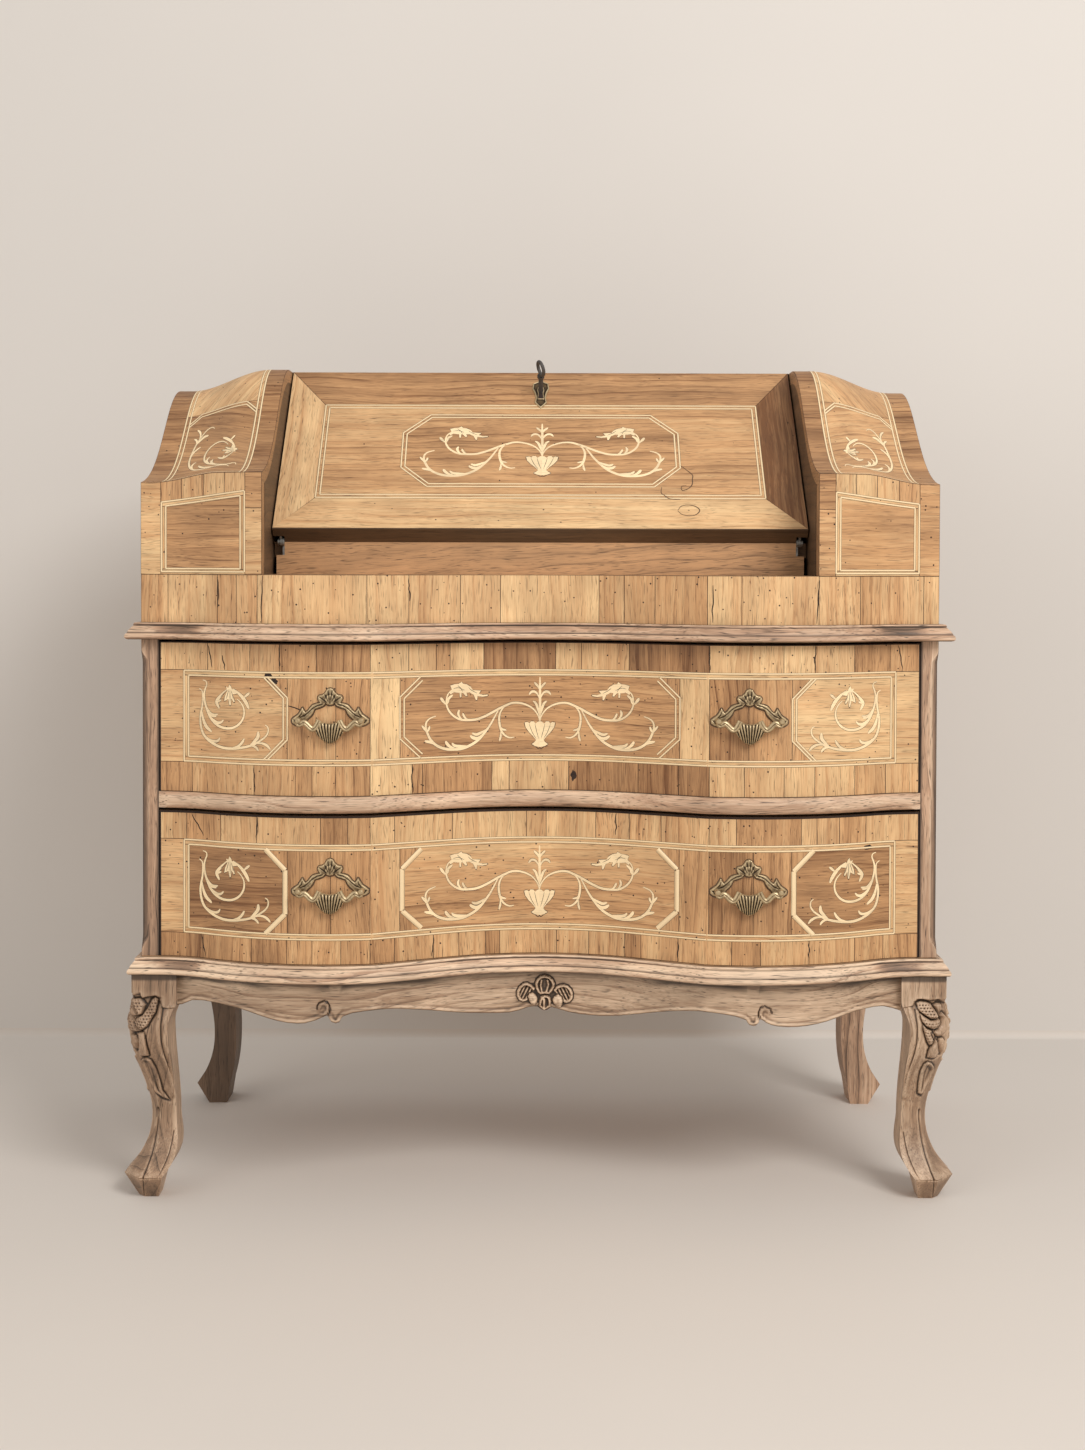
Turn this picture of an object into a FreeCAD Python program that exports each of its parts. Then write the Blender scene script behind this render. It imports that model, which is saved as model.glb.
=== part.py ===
import FreeCAD, Part
import math
import os

import Sketcher

# A slant-front writing desk: two serpentine drawers on cabriole legs, and above them a writing
# compartment behind a sloping fall front, between two cheeks with ogee shoulders.
# Frame: X to the right, Y to the back, Z up, in millimetres. The origin is on the floor, under the
# middle of the desk's box. "Forward" below is a distance towards -Y from the posts' front plane.

Vector = FreeCAD.Vector
UP = Vector(0, 0, 1)
BACK = Vector(0, 1, 0)
RIGHT = Vector(1, 0, 0)

doc = FreeCAD.newDocument("writing_desk")
sheet = doc.addObject("Spreadsheet::Sheet", "dims")

SIZES = {
    # Case and its serpentine front line
    "case_width": 959,
    "case_depth": 430,
    "bulge_depth": 50,
    "bulge_x": 255,
    "hollow_depth": 20,
    "crease_x": 197,
    "flank_angle": 24.7,
    "swell_share": 0.69,
    "end_flat": 20,
    # Heights, from the floor up
    "leg_height": 270,
    "base_moulding_height": 21,
    "lower_opening": 179,
    "rail_height": 20,
    "upper_opening": 183,
    "waist_moulding_height": 20,
    "frieze_height": 58,
    "plank_height": 39.5,
    # Boards
    "side_thickness": 18,
    "back_thickness": 12,
    "front_thickness": 20,
    "deck_thickness": 18,
    "bed_thickness": 18,
    "top_thickness": 18,
    "plank_thickness": 20,
    "plank_end_gap": 5,
    "joint_gap": 0.3,
    # Mouldings and the drawer rail
    "waist_reach": 17,
    "base_reach": 15,
    "moulding_top_reach": 5,
    "moulding_nose": 7,
    "rail_nose_reach": 9,
    "rail_edge_reach": 2,
    "rail_end_bevel": 1.7,
    "rail_depth": 60,
    "runner_width": 30,
    "runner_height": 16,
    # Posts
    "post_width": 21,
    "post_depth": 30,
    "post_chamfer": 8,
    "post_stop_height": 14,
    "post_stop_margin": 16,
    # Cheeks and shoulders
    "cheek_width": 151,
    "cheek_height_inner": 121,
    "cheek_height_outer": 110,
    "shoulder_thickness": 16,
    "shoulder_overhang": 1,
    "shoulder_drop": 24,
    "shoulder_run_inner": 200,
    "shoulder_run_outer": 249,
    "ogee_foot_share": 0.5,
    "ogee_foot_lift": 0.1,
    "ogee_head_share": 0.62,
    "ogee_head_lift": 0.97,
    "front_blend_inset": 57,
    "top_blend_inset": 23,
    "blend_outer_inset": 16,
    # Fall front
    "fall_angle": 46.7,
    "fall_length": 288.4,
    "fall_thickness": 23,
    "fall_bevel": 5,
    "fall_stile_width": 46,
    "fall_rail_width": 58,
    "fall_side_gap": 2,
    "fall_top_gap": 1.2,
    "hinge_setback": 47,
    # Hinge plates
    "hinge_inset": 10,
    "hinge_plate": 2.5,
    "hinge_eye": 5,
    "hinge_pin_radius": 2,
    "hinge_pin_clearance": 0.05,
    "hinge_head_radius": 4,
    "hinge_head": 2.4,
    "hinge_tail": 16,
    "hinge_tail_width": 8,
    "hinge_arm": 40,
    "hinge_arm_low": 1,
    "hinge_arm_high": 9,
    "hinge_notch_depth": 10,
    "hinge_notch_length": 46,
    # Lock and key
    "lock_width": 56,
    "lock_height": 52,
    "lock_depth": 14,
    "lock_wall": 2,
    "key_drop": 36,
    "keyhole_radius": 4.2,
    "drill_pin_radius": 1.5,
    "drill_pin_length": 17,
    "key_bore_clearance": 0.05,
    "bolt_width": 24,
    "bolt_height": 23,
    "bolt_thickness": 5,
    "bolt_seat": 4,
    "bolt_throw": 6,
    "bolt_clearance": 0.3,
    "key_radius": 3,
    "key_reach": 30,
    "key_bit_reach": 8.5,
    "key_bit_width": 5,
    "key_bit_thickness": 2,
    "key_bit_rise": 2,
    "key_collar_radius": 4.6,
    "key_collar": 3,
    "key_bow_radius": 9,
    "key_bow_wire": 2.2,
    "key_turn": 25,
    "escutcheon_width": 22,
    "escutcheon_height": 43,
    "escutcheon_thickness": 1.5,
    "keyhole_slot_width": 5,
    "keyhole_slot_height": 14,
    # Pigeonholes
    "pigeonhole_setback": 13.2,
    "pigeonhole_count": 5,
    "pigeonhole_board": 9,
    "pigeonhole_rise": 105,
    # Drawers
    "drawer_side_gap": 1,
    "drawer_top_gap": 3,
    "drawer_front_thickness": 22,
    "drawer_wall": 12,
    "drawer_wall_drop": 12,
    "drawer_bottom_thickness": 8,
    "drawer_bottom_rise": 8,
    "drawer_rear_gap": 14,
    # Handles
    "handle_x": 246.5,
    "handle_half_width": 45.5,
    "handle_crest": 38,
    "handle_crest_half": 15,
    "handle_crest_round_x": 12.3,
    "handle_crest_round_z": 34.2,
    "handle_shoulder": 23.6,
    "handle_arm_x": 28.2,
    "handle_arm_rise": 10.6,
    "handle_plate": 3,
    "handle_arch": 15,
    "handle_eye_margin": 2,
    "handle_post_x": 37,
    "handle_post_radius": 4.5,
    "handle_pivot_reach": 9,
    "handle_bolt_radius": 2.5,
    "handle_bolt_clearance": 0.1,
    "handle_nut_radius": 6,
    "handle_nut": 4,
    "bail_pin_radius": 1.5,
    "bail_pin_clearance": 0.05,
    "bail_arm": 6,
    "bail_thickness": 6,
    "bail_gap": 0.5,
    "bail_arm_sag": 7.5,
    "bail_hollow": 4.8,
    "bail_shell_radius": 19,
    "bail_shell_depth": 14.5,
    "bail_shell_lobes": 5,
    "bail_lobe_bulge": 0.22,
    # Legs
    "leg_block": 52,
    "leg_block_reach": 9.5,
    "leg_block_height": 36,
    "knee_drop": 63,
    "knee_reach": 17.5,
    "knee_width": 51.5,
    "ankle_drop": 174,
    "ankle_reach": -9,
    "ankle_width": 31,
    "toe_z": 28,
    "toe_reach": 21.5,
    "toe_width": 49,
    "foot_reach": 4,
    "foot_width": 25,
    "leg_corner": 8,
    "knee_corner": 22,
    "rear_leg_depth": 50,
    "rear_leg_inset": 10,
    "rear_knee_reach": 8,
    "rear_knee_width": 44,
    "rear_ankle_reach": -11,
    "rear_ankle_width": 30.5,
    "rear_toe_reach": 13.5,
    "rear_toe_width": 46.5,
    "rear_foot_reach": -3.5,
    # Aprons
    "apron_thickness": 20,
    "apron_setback": 2,
    "apron_arch_drop": 32,
    "apron_arch_x": 395,
    "apron_lobe_drop": 50,
    "apron_lobe_x": 288,
    "apron_scroll_drop": 32,
    "apron_scroll_x": 258,
    "apron_scroll_radius": 7.5,
    "apron_scroll_proud": 3,
    "apron_bud_drop": 46,
    "apron_bud_x": 243,
    "apron_bud_radius": 5,
    "apron_saddle_drop": 33,
    "apron_saddle_x": 200,
    "apron_centre_drop": 52,
    "apron_centre_x": 62,
    "shell_half_width": 33,
    "shell_drop": 45,
    "shell_lobe_radius": 16.5,
    "shell_curl_drop": 27,
    "shell_bud_radius": 8.2,
    "shell_proud": 10,
    "side_apron_height": 38,
}

# Places that follow from the sizes above
DERIVED = {
    "half_case": "=case_width / 2",
    "front_y": "=-(case_depth - bulge_depth - waist_reach) / 2",
    "back_y": "=front_y + case_depth",
    "inside_back_y": "=back_y - back_thickness",
    "floor_z": "=leg_height + base_moulding_height",
    "rail_z": "=floor_z + lower_opening",
    "upper_floor_z": "=rail_z + rail_height",
    "waist_z": "=upper_floor_z + upper_opening",
    "frieze_z": "=waist_z + waist_moulding_height",
    "ledge_z": "=frieze_z + frieze_height",
    "bed_z": "=ledge_z + plank_height",
    "pivot_y": "=front_y + hinge_setback",
    "top_z": "=bed_z + fall_length * sin(fall_angle) + fall_thickness * cos(fall_angle)",
    "inner_x": "=half_case - cheek_width",
    "post_inner_x": "=half_case - post_width",
    "side_inner_x": "=half_case - side_thickness",
    "fall_half": "=inner_x - fall_side_gap",
    "plank_half": "=inner_x - plank_end_gap",
    "rail_back_y": "=front_y + rail_depth",
    "pigeonhole_y": "=pivot_y + fall_length * cos(fall_angle) + pigeonhole_setback",
    "knee_z": "=leg_height - knee_drop",
    "ankle_z": "=leg_height - ankle_drop",
    "drawer_half": "=post_inner_x - drawer_side_gap",
    "drawer_back_y": "=inside_back_y - drawer_rear_gap",
}

for row, (alias, content) in enumerate({**SIZES, **DERIVED}.items(), start=1):
    sheet.set(f"A{row}", alias)
    sheet.set(f"B{row}", str(content))
    sheet.setAlias(f"B{row}", alias)
doc.recompute()

nodes = []


def size(alias):
    """A number of the sheet, for shapes that are worked out in code."""
    return float(sheet.get(alias))


def bound(formula):
    """A formula of sizes, with each name pointed at the sheet."""
    words = []
    for word in formula.split():
        bare = word.strip("()-")
        named = bare in SIZES or bare in DERIVED
        words.append(word.replace(bare, f"dims.{bare}") if named else word)
    return " ".join(words)


def node(item):
    """Keep an object as one piece of the desk."""
    nodes.append(item)
    return item


def helper(kind, label):
    """An object that only serves another one."""
    return doc.addObject(kind, label)


def box(label, corner, spans):
    """A box from formulas: the corner with the smallest X, Y and Z, and its three spans."""
    item = helper("Part::Box", label)
    for prop, formula in zip(("Length", "Width", "Height"), spans):
        item.setExpression(prop, bound(formula))
    for axis, formula in zip("xyz", corner):
        item.setExpression(f"Placement.Base.{axis}", bound(formula))
    return item


def slope_box(label, corner, spans):
    """A box in the fall's own frame: X, distance up the slope from the pivot, height off its back."""
    item = helper("Part::Box", label)
    item.Placement = FreeCAD.Placement(Vector(), FreeCAD.Rotation(RIGHT, size("fall_angle")))
    for prop, formula in zip(("Length", "Width", "Height"), spans):
        item.setExpression(prop, bound(formula))
    across, along, off = (bound(formula) for formula in corner)
    level, steep = "cos(dims.fall_angle)", "sin(dims.fall_angle)"
    item.setExpression("Placement.Base.x", across)
    item.setExpression("Placement.Base.y", f"dims.pivot_y + ({along}) * {level} - ({off}) * {steep}")
    item.setExpression("Placement.Base.z", f"dims.bed_z + ({along}) * {steep} + ({off}) * {level}")
    item.setExpression("Placement.Rotation.Angle", "dims.fall_angle")
    return item


def cut(label, base, *tools):
    """A piece with its holes and notches taken out one after the other."""
    for count, tool in enumerate(tools, start=1):
        name = label if count == len(tools) else f"{label}_step_{count}"
        result = helper("Part::Cut", name)
        result.Base = base
        result.Tool = tool
        base = result
    return base


def group(label, *items):
    """Pieces of one kind that share a name."""
    result = helper("Part::Compound", label)
    result.Links = list(items)
    return result


def solid(label, shape):
    """A piece whose shape is worked out in code."""
    item = helper("Part::Feature", label)
    item.Shape = shape
    item.Placement = shape.Placement
    return item


def slope_solid(label, shape):
    """A piece worked out in the fall's own frame and laid on the slope."""
    item = helper("Part::Feature", label)
    item.Shape = shape
    turn = FreeCAD.Rotation(RIGHT, size("fall_angle"))
    slope = FreeCAD.Placement(Vector(0, size("pivot_y"), size("bed_z")), turn)
    item.Placement = slope.multiply(shape.Placement)
    return item


def polygon_sketch(body, role, name, corners, lift):
    """A closed sketch on an origin plane of the body, every corner tied to two formulas."""
    plane = next(item for item in body.Origin.OriginFeatures if item.Role == role)
    sketch = body.newObject("Sketcher::SketchObject", name)
    sketch.AttachmentSupport = (plane, [""])
    sketch.MapMode = "FlatFace"
    sketch.setExpression("AttachmentOffset.Base.z", bound(lift))
    count = len(corners)
    start = [Vector(math.cos(math.tau * i / count), math.sin(math.tau * i / count)) for i in range(count)]
    for i in range(count):
        sketch.addGeometry(Part.LineSegment(start[i], start[(i + 1) % count]), False)
    for i in range(count):
        sketch.addConstraint(Sketcher.Constraint("Coincident", i, 2, (i + 1) % count, 1))
    for i, corner in enumerate(corners):
        for kind, formula in zip(("DistanceX", "DistanceY"), corner):
            place = sketch.addConstraint(Sketcher.Constraint(kind, -1, 1, i, 1, 1.0))
            sketch.setExpression(f"Constraints[{place}]", bound(formula))
    return sketch


def padded(label, role, corners, lift, length):
    """A body padded from one polygon."""
    body = helper("PartDesign::Body", label)
    sketch = polygon_sketch(body, role, f"{label}_outline", corners, lift)
    pad = body.newObject("PartDesign::Pad", f"{label}_pad")
    pad.Profile = sketch
    pad.setExpression("Length", bound(length))
    return body


def tapered(label, role, first, second):
    """A body lofted between two polygons on parallel planes, laid on the fall's slope."""
    body = helper("PartDesign::Body", label)
    sketches = []
    for count, (corners, lift) in enumerate((first, second), start=1):
        sketches.append(polygon_sketch(body, role, f"{label}_outline_{count}", corners, lift))
    loft = body.newObject("PartDesign::AdditiveLoft", f"{label}_loft")
    loft.Profile = sketches[0]
    loft.Sections = sketches[1:]
    loft.Ruled = True
    body.Placement = FreeCAD.Placement(Vector(), FreeCAD.Rotation(RIGHT, size("fall_angle")))
    body.setExpression("Placement.Base.y", "dims.pivot_y")
    body.setExpression("Placement.Base.z", "dims.bed_z")
    body.setExpression("Placement.Rotation.Angle", "dims.fall_angle")
    return body


def line(first, last):
    return Part.LineSegment(first, last).toShape()


def block(x_from, x_to, y_from, y_to, z_from, z_to):
    """A plain box shape between two corners."""
    corner = Vector(x_from, y_from, z_from)
    return Part.makeBox(x_to - x_from, y_to - y_from, z_to - z_from, corner)


def mirrored(shape):
    """The same shape on the other side of the desk."""
    return shape.mirror(Vector(), RIGHT)


class FrontLine:
    """The serpentine front in plan, moved forward by an offset.

    From the middle outwards: a hollow arc, a straight flank up to the crease, the swell's arc, an
    arc that turns back, and a flat end beside the post.
    """

    def __init__(self, offset=0.0):
        crest, rise = size("bulge_x"), size("bulge_depth")
        self.offset = offset
        self.end_x = size("half_case") - size("end_flat")
        run = self.end_x - crest
        total = (run ** 2 + rise ** 2) / (2 * rise)
        swell = size("swell_share") * total
        turn = 2 * math.atan2(rise, run)
        self.swell_centre = Vector(crest, rise - swell)
        self.swell_radius = swell + offset
        self.turn_x = crest + self.swell_radius * math.sin(turn)
        self.return_centre = Vector(self.end_x, total - swell)
        self.return_radius = total - swell - offset

        flank = math.radians(size("flank_angle"))
        crease_x, hollow = size("crease_x"), size("hollow_depth")
        crease_rise = rise - swell + math.sqrt(swell ** 2 - (crest - crease_x) ** 2) + hollow
        arc_end = (crease_x * math.tan(flank) - crease_rise) / (math.tan(flank) - math.tan(flank / 2))
        radius = arc_end / math.sin(flank)
        self.hollow_centre = Vector(0, radius - hollow)
        self.hollow_radius = radius - offset
        self.hollow_x = self.hollow_radius * math.sin(flank)
        foot = Vector(self.hollow_x, self.hollow_centre.y - self.hollow_radius * math.cos(flank))
        self.flank_foot = foot
        self.flank_slope = math.tan(flank)

        along = Vector(math.cos(flank), math.sin(flank))
        gap = foot - self.swell_centre
        lead = gap.dot(along)
        spread = math.sqrt(lead ** 2 - gap.dot(gap) + self.swell_radius ** 2)
        meets = [foot.x + along.x * (root - lead) for root in (-spread, spread)]
        self.crease_x = min(meets, key=lambda x: abs(x - crease_x))

    def straight(self, x):
        return self.hollow_x < abs(x) < self.crease_x or abs(x) > self.end_x

    def forward(self, x):
        """How far the line stands in front of the posts' plane at X."""
        x = abs(x)
        if x <= self.hollow_x:
            return self.hollow_centre.y - math.sqrt(self.hollow_radius ** 2 - x ** 2)
        if x <= self.crease_x:
            return self.flank_foot.y + (x - self.flank_foot.x) * self.flank_slope
        if x <= self.turn_x:
            return self.swell_centre.y + math.sqrt(self.swell_radius ** 2 - (x - self.swell_centre.x) ** 2)
        if x <= self.end_x:
            return self.return_centre.y - math.sqrt(self.return_radius ** 2 - (x - self.end_x) ** 2)
        return self.offset

    def point(self, x, z):
        return Vector(x, size("front_y") - self.forward(x), z)

    def rim(self, x, radius):
        """The line's Y at the two sides and the middle of a round piece that stands on it."""
        return [self.point(place, 0).y for place in (x - radius, x, x + radius)]

    def edges(self, x_from, x_to, z):
        """The line between two places, as arcs and straight edges at height z."""
        breaks = [self.hollow_x, self.crease_x, self.turn_x, self.end_x]
        inside = [x for x in [-x for x in reversed(breaks)] + breaks if x_from < x < x_to]
        stops = [x_from] + inside + [x_to]
        edges = []
        for first, last in zip(stops, stops[1:]):
            middle = (first + last) / 2
            if self.straight(middle):
                edges.append(line(self.point(first, z), self.point(last, z)))
            else:
                arc = Part.Arc(self.point(first, z), self.point(middle, z), self.point(last, z))
                edges.append(arc.toShape())
        return edges


def closed_between(front, back):
    """A closed wire from a front run of edges and the points that close it behind."""
    ends = [front[-1].Vertexes[-1].Point] + back + [front[0].Vertexes[0].Point]
    return Part.Wire(front + [line(first, last) for first, last in zip(ends, ends[1:])])


def raised(wire, height):
    return Part.Face(wire).extrude(UP * height)


def front_board(offset, half_width, back_y, z, height):
    """A board with the serpentine front edge and a straight back edge."""
    front = FrontLine(offset).edges(-half_width, half_width, z)
    behind = [Vector(half_width, back_y, z), Vector(-half_width, back_y, z)]
    return raised(closed_between(front, behind), height)


def front_band(outer, inner, x_from, x_to, z, height):
    """A board of even thickness that follows the serpentine front."""
    front = FrontLine(outer).edges(x_from, x_to, z)
    behind = FrontLine(inner).edges(x_from, x_to, z)
    ends = [line(front[-1].Vertexes[-1].Point, behind[-1].Vertexes[-1].Point),
            line(behind[0].Vertexes[0].Point, front[0].Vertexes[0].Point)]
    return raised(Part.Wire(Part.__sortEdges__(front + behind + ends)), height)


def lowest(shape):
    """The lowest of the solids that a cut leaves."""
    return min(shape.Solids, key=lambda item: item.BoundBox.ZMin)


# Stand: legs and aprons

def leg_section(z, reach, width, corner):
    """A square with its outer front corner cut off, for the front right leg."""
    outer = size("half_case") + reach
    front = size("front_y") - reach
    points = [Vector(outer - width, front, z), Vector(outer - corner, front, z),
              Vector(outer, front + corner, z), Vector(outer, front + width, z),
              Vector(outer - width, front + width, z)]
    return Part.makePolygon(points + points[:1])


def front_leg():
    """The right front leg: a block, a bowed knee, a slim ankle and a foot that turns out."""
    block_low = size("leg_height") - size("leg_block_height")
    block_size = (size("leg_block_reach"), size("leg_block"), size("leg_corner"))
    toe = leg_section(size("toe_z"), size("toe_reach"), size("toe_width"), size("knee_corner"))
    sections = [
        leg_section(block_low, *block_size),
        leg_section(size("knee_z"), size("knee_reach"), size("knee_width"), size("knee_corner")),
        leg_section(size("ankle_z"), size("ankle_reach"), size("ankle_width"), size("leg_corner")),
        toe]
    head = Part.makeLoft([leg_section(size("leg_height"), *block_size), sections[0]], True, True)
    shin = Part.makeLoft(sections, True, False)
    sole = leg_section(0, size("foot_reach"), size("foot_width"), size("leg_corner"))
    foot = Part.makeLoft([toe, sole], True, True)
    return head.fuse([shin, foot]).removeSplitter()


def rear_leg():
    """The right rear leg: the same outline seen from the front, cut from a plank."""
    outer = size("half_case") - size("rear_leg_inset")
    back = size("back_y")

    def edge(part):
        return Vector(outer + size(f"rear_{part}_reach"), back, size(f"{part}_z"))

    def inner(part):
        return edge(part) - RIGHT * size(f"rear_{part}_width")

    knee, ankle, toe = edge("knee"), edge("ankle"), edge("toe")
    head = Vector(outer + size("leg_block_reach"), back, size("leg_height"))
    sole = Vector(outer + size("rear_foot_reach"), back, 0)
    sole_inner = sole - RIGHT * size("foot_width")
    head_inner = head - RIGHT * size("leg_block")
    outside = Part.BSplineCurve()
    outside.interpolate([head, knee, ankle, toe])
    inside = Part.BSplineCurve()
    inside.interpolate([inner("toe"), inner("ankle"), inner("knee"), head_inner])
    wire = Part.Wire([outside.toShape(), line(toe, sole), line(sole, sole_inner),
                      line(sole_inner, inner("toe")), inside.toShape(), line(head_inner, head)])
    return Part.Face(wire).extrude(BACK * -size("rear_leg_depth"))


def apron_outline():
    """Elevation of the front apron: arch, lobe with its scroll, small bud, saddle, drop to the shell."""
    high = size("leg_height")
    reach = size("half_case") + size("leg_block_reach") - size("leg_block")

    def low(name, x=None):
        place = size(f"apron_{name}_x") if x is None else x
        return Vector(place, 0, high - size(f"apron_{name}_drop"))

    scroll = low("scroll")
    bud = low("bud")
    curl = scroll + Vector(-size("apron_scroll_radius"), 0, 0)
    lobe = Part.BSplineCurve()
    lobe.interpolate([low("arch", reach), low("arch"), low("lobe"), curl])
    bud_head = bud + Vector(size("apron_bud_radius"), 0, 0)
    bud_foot = bud - Vector(size("apron_bud_radius"), 0, 0)
    hook = Part.Arc(bud_head, bud + Vector(0, 0, -size("apron_bud_radius")), bud_foot)
    belly = Part.BSplineCurve()
    middle = Vector(0, 0, high - size("shell_drop"))
    belly.interpolate([bud_foot, low("saddle"), low("centre"), middle])
    right = [lobe.toShape(), line(curl, bud_head), hook.toShape(), belly.toShape()]
    left = [mirrored(edge) for edge in right]
    ends = [Vector(-reach, 0, high), Vector(reach, 0, high)]
    closing = [line(ends[0], Vector(-reach, 0, low("arch").z)), line(*ends),
               line(ends[1], Vector(reach, 0, low("arch").z))]
    wire = Part.Wire(Part.__sortEdges__(right + left + closing))
    deep = size("case_depth")
    return Part.Face(wire).extrude(BACK * 2 * deep).translated(BACK * -deep), scroll


def front_apron():
    """The serpentine apron board cut to its outline, with a round boss at each scroll."""
    outline, scroll = apron_outline()
    half = size("half_case")
    outer = -size("apron_setback")
    drop = size("apron_centre_drop") + size("apron_lobe_drop")
    low = size("leg_height") - drop
    band = front_band(outer, outer - size("apron_thickness"), -half, half, low, drop)
    apron = band.common(outline)
    deep = size("case_depth")
    boss = Part.makeCylinder(size("apron_scroll_radius"), deep, scroll - BACK * deep, BACK)
    proud = front_band(outer + size("apron_scroll_proud"), outer - size("apron_scroll_proud"),
                       -half, half, low, drop)
    scrolls = [proud.common(boss), proud.common(mirrored(boss))]
    return apron.fuse(scrolls).removeSplitter()


def apron_shell():
    """The carved fan in the middle of the apron: a tall lobe between two curled side lobes."""
    high, deep = size("leg_height"), size("case_depth")
    half, drop = size("shell_half_width"), size("shell_drop")
    lobe, bud = size("shell_lobe_radius"), size("shell_bud_radius")

    def disc(radius, x, z):
        return Part.makeCylinder(radius, deep, Vector(x, -deep, z), BACK)

    curl_z = high - size("shell_curl_drop")
    curls = [disc(lobe, side * (half - lobe), curl_z) for side in (-1, 1)]
    lobes = disc(lobe, 0, high - lobe).fuse(curls + [disc(bud, 0, high - drop + bud)])
    face = -size("apron_setback")
    band = front_band(face + size("shell_proud"), face, -half, half, high - drop, drop)
    return band.common(lobes).removeSplitter()


def stand():
    leg = front_leg()
    node(solid("front_right_leg", leg))
    node(solid("front_left_leg", mirrored(leg)))
    leg = rear_leg()
    node(solid("rear_right_leg", leg))
    node(solid("rear_left_leg", mirrored(leg)))
    node(solid("front_apron", front_apron()))
    node(solid("apron_shell", apron_shell()))
    apron_z = "leg_height - side_apron_height"
    start = "front_y - leg_block_reach + leg_block"
    length = "case_depth + leg_block_reach - leg_block - rear_leg_depth"
    spans = ("apron_thickness", length, "side_apron_height")
    right = box("right_apron", ("half_case - apron_thickness - apron_setback", start, apron_z), spans)
    left = box("left_apron", ("-half_case + apron_setback", start, apron_z), spans)
    node(group("side_aprons", right, left))
    reach = "half_case - rear_leg_inset + leg_block_reach - leg_block"
    node(box("rear_rail", (f"-( {reach} )", "back_y - apron_thickness - apron_setback", apron_z),
             (f"2 * ( {reach} )", "apron_thickness", "side_apron_height")))


# Mouldings

NOSE_ANGLES = (-90, -60, -30, 0, 30, 60)


def moulding_profile(reach, height):
    """Reach and height of the moulding's face: a round nose low down, a slope back to the top edge."""
    nose, top = size("moulding_nose"), size("moulding_top_reach")
    points = []
    for degrees in NOSE_ANGLES:
        angle = math.radians(degrees)
        points.append((reach - nose + nose * math.cos(angle), nose + nose * math.sin(angle)))
    return points + [(top, height)]


def front_moulding(z, reach, height):
    """The front run, mitred to the side runs."""
    half = size("half_case")
    wires = []
    for out, rise in moulding_profile(reach, height):
        front = FrontLine(out).edges(-half - out, half + out, z + rise)
        behind = FrontLine().edges(-half, half, z + rise)
        ends = [line(front[-1].Vertexes[-1].Point, behind[-1].Vertexes[-1].Point),
                line(behind[0].Vertexes[0].Point, front[0].Vertexes[0].Point)]
        wires.append(Part.Wire(front + ends[:1] + behind[::-1] + ends[1:]))
    return Part.makeLoft(wires, True, True)


def side_moulding(z, reach, height):
    """The right side run, from the front mitre to the back."""
    half, front, back = size("half_case"), size("front_y"), size("back_y")
    wires = []
    for out, rise in moulding_profile(reach, height):
        points = [Vector(half, front, z + rise), Vector(half + out, front - out, z + rise),
                  Vector(half + out, back, z + rise), Vector(half, back, z + rise)]
        wires.append(Part.makePolygon(points + points[:1]))
    return Part.makeLoft(wires, True, True)


def moulding(name, z):
    reach, height = size(f"{name}_reach"), size(f"{name}_moulding_height")
    node(solid(f"{name}_moulding_front", front_moulding(z, reach, height)))
    side = side_moulding(z, reach, height)
    node(solid(f"{name}_moulding_sides", Part.makeCompound([side, mirrored(side)])))


# Lower case

def post(label, side):
    """A corner post with its outer front edge chamfered between two sloping stops."""
    corner_x = "post_inner_x" if side > 0 else "-half_case"
    body = box(f"{label}_square", (corner_x, "front_y", "floor_z"),
               ("post_width", "post_depth", "waist_z - floor_z"))
    outer, front = side * size("half_case"), size("front_y")
    stop = size("post_stop_height")
    low = size("floor_z") + size("post_stop_margin")
    high = size("waist_z") - size("post_stop_margin")
    wires = []
    for z, depth in ((low, size("joint_gap")), (low + stop, size("post_chamfer")),
                     (high - stop, size("post_chamfer")), (high, size("joint_gap"))):
        points = [Vector(outer, front, z), Vector(outer - side * depth, front, z),
                  Vector(outer, front + depth, z)]
        wires.append(Part.makePolygon(points + points[:1]))
    return cut(label, body, solid(f"{label}_chamfer", Part.makeLoft(wires, True, True)))


def drawer_rail():
    """The rail between the drawers: a rounded nose that dies into the posts with a bevel."""
    half, back = size("post_inner_x"), size("rail_back_y")
    height, base = size("rail_height"), size("rail_z")
    edge, nose = size("rail_edge_reach"), size("rail_nose_reach")
    steps = 8
    wires = []
    for step in range(steps + 1):
        across = 2 * step / steps - 1
        reach = edge + (nose - edge) * math.sqrt(1 - across ** 2)
        z = base + height * step / steps
        tip = half - size("rail_end_bevel") * reach
        front = FrontLine(reach).edges(-tip, tip, z)
        foot = FrontLine().point(half, z)
        ends = [foot, Vector(half, back, z), Vector(-half, back, z), Vector(-half, foot.y, z)]
        wires.append(closed_between(front, ends))
    return Part.makeLoft(wires, True, True)


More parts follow.
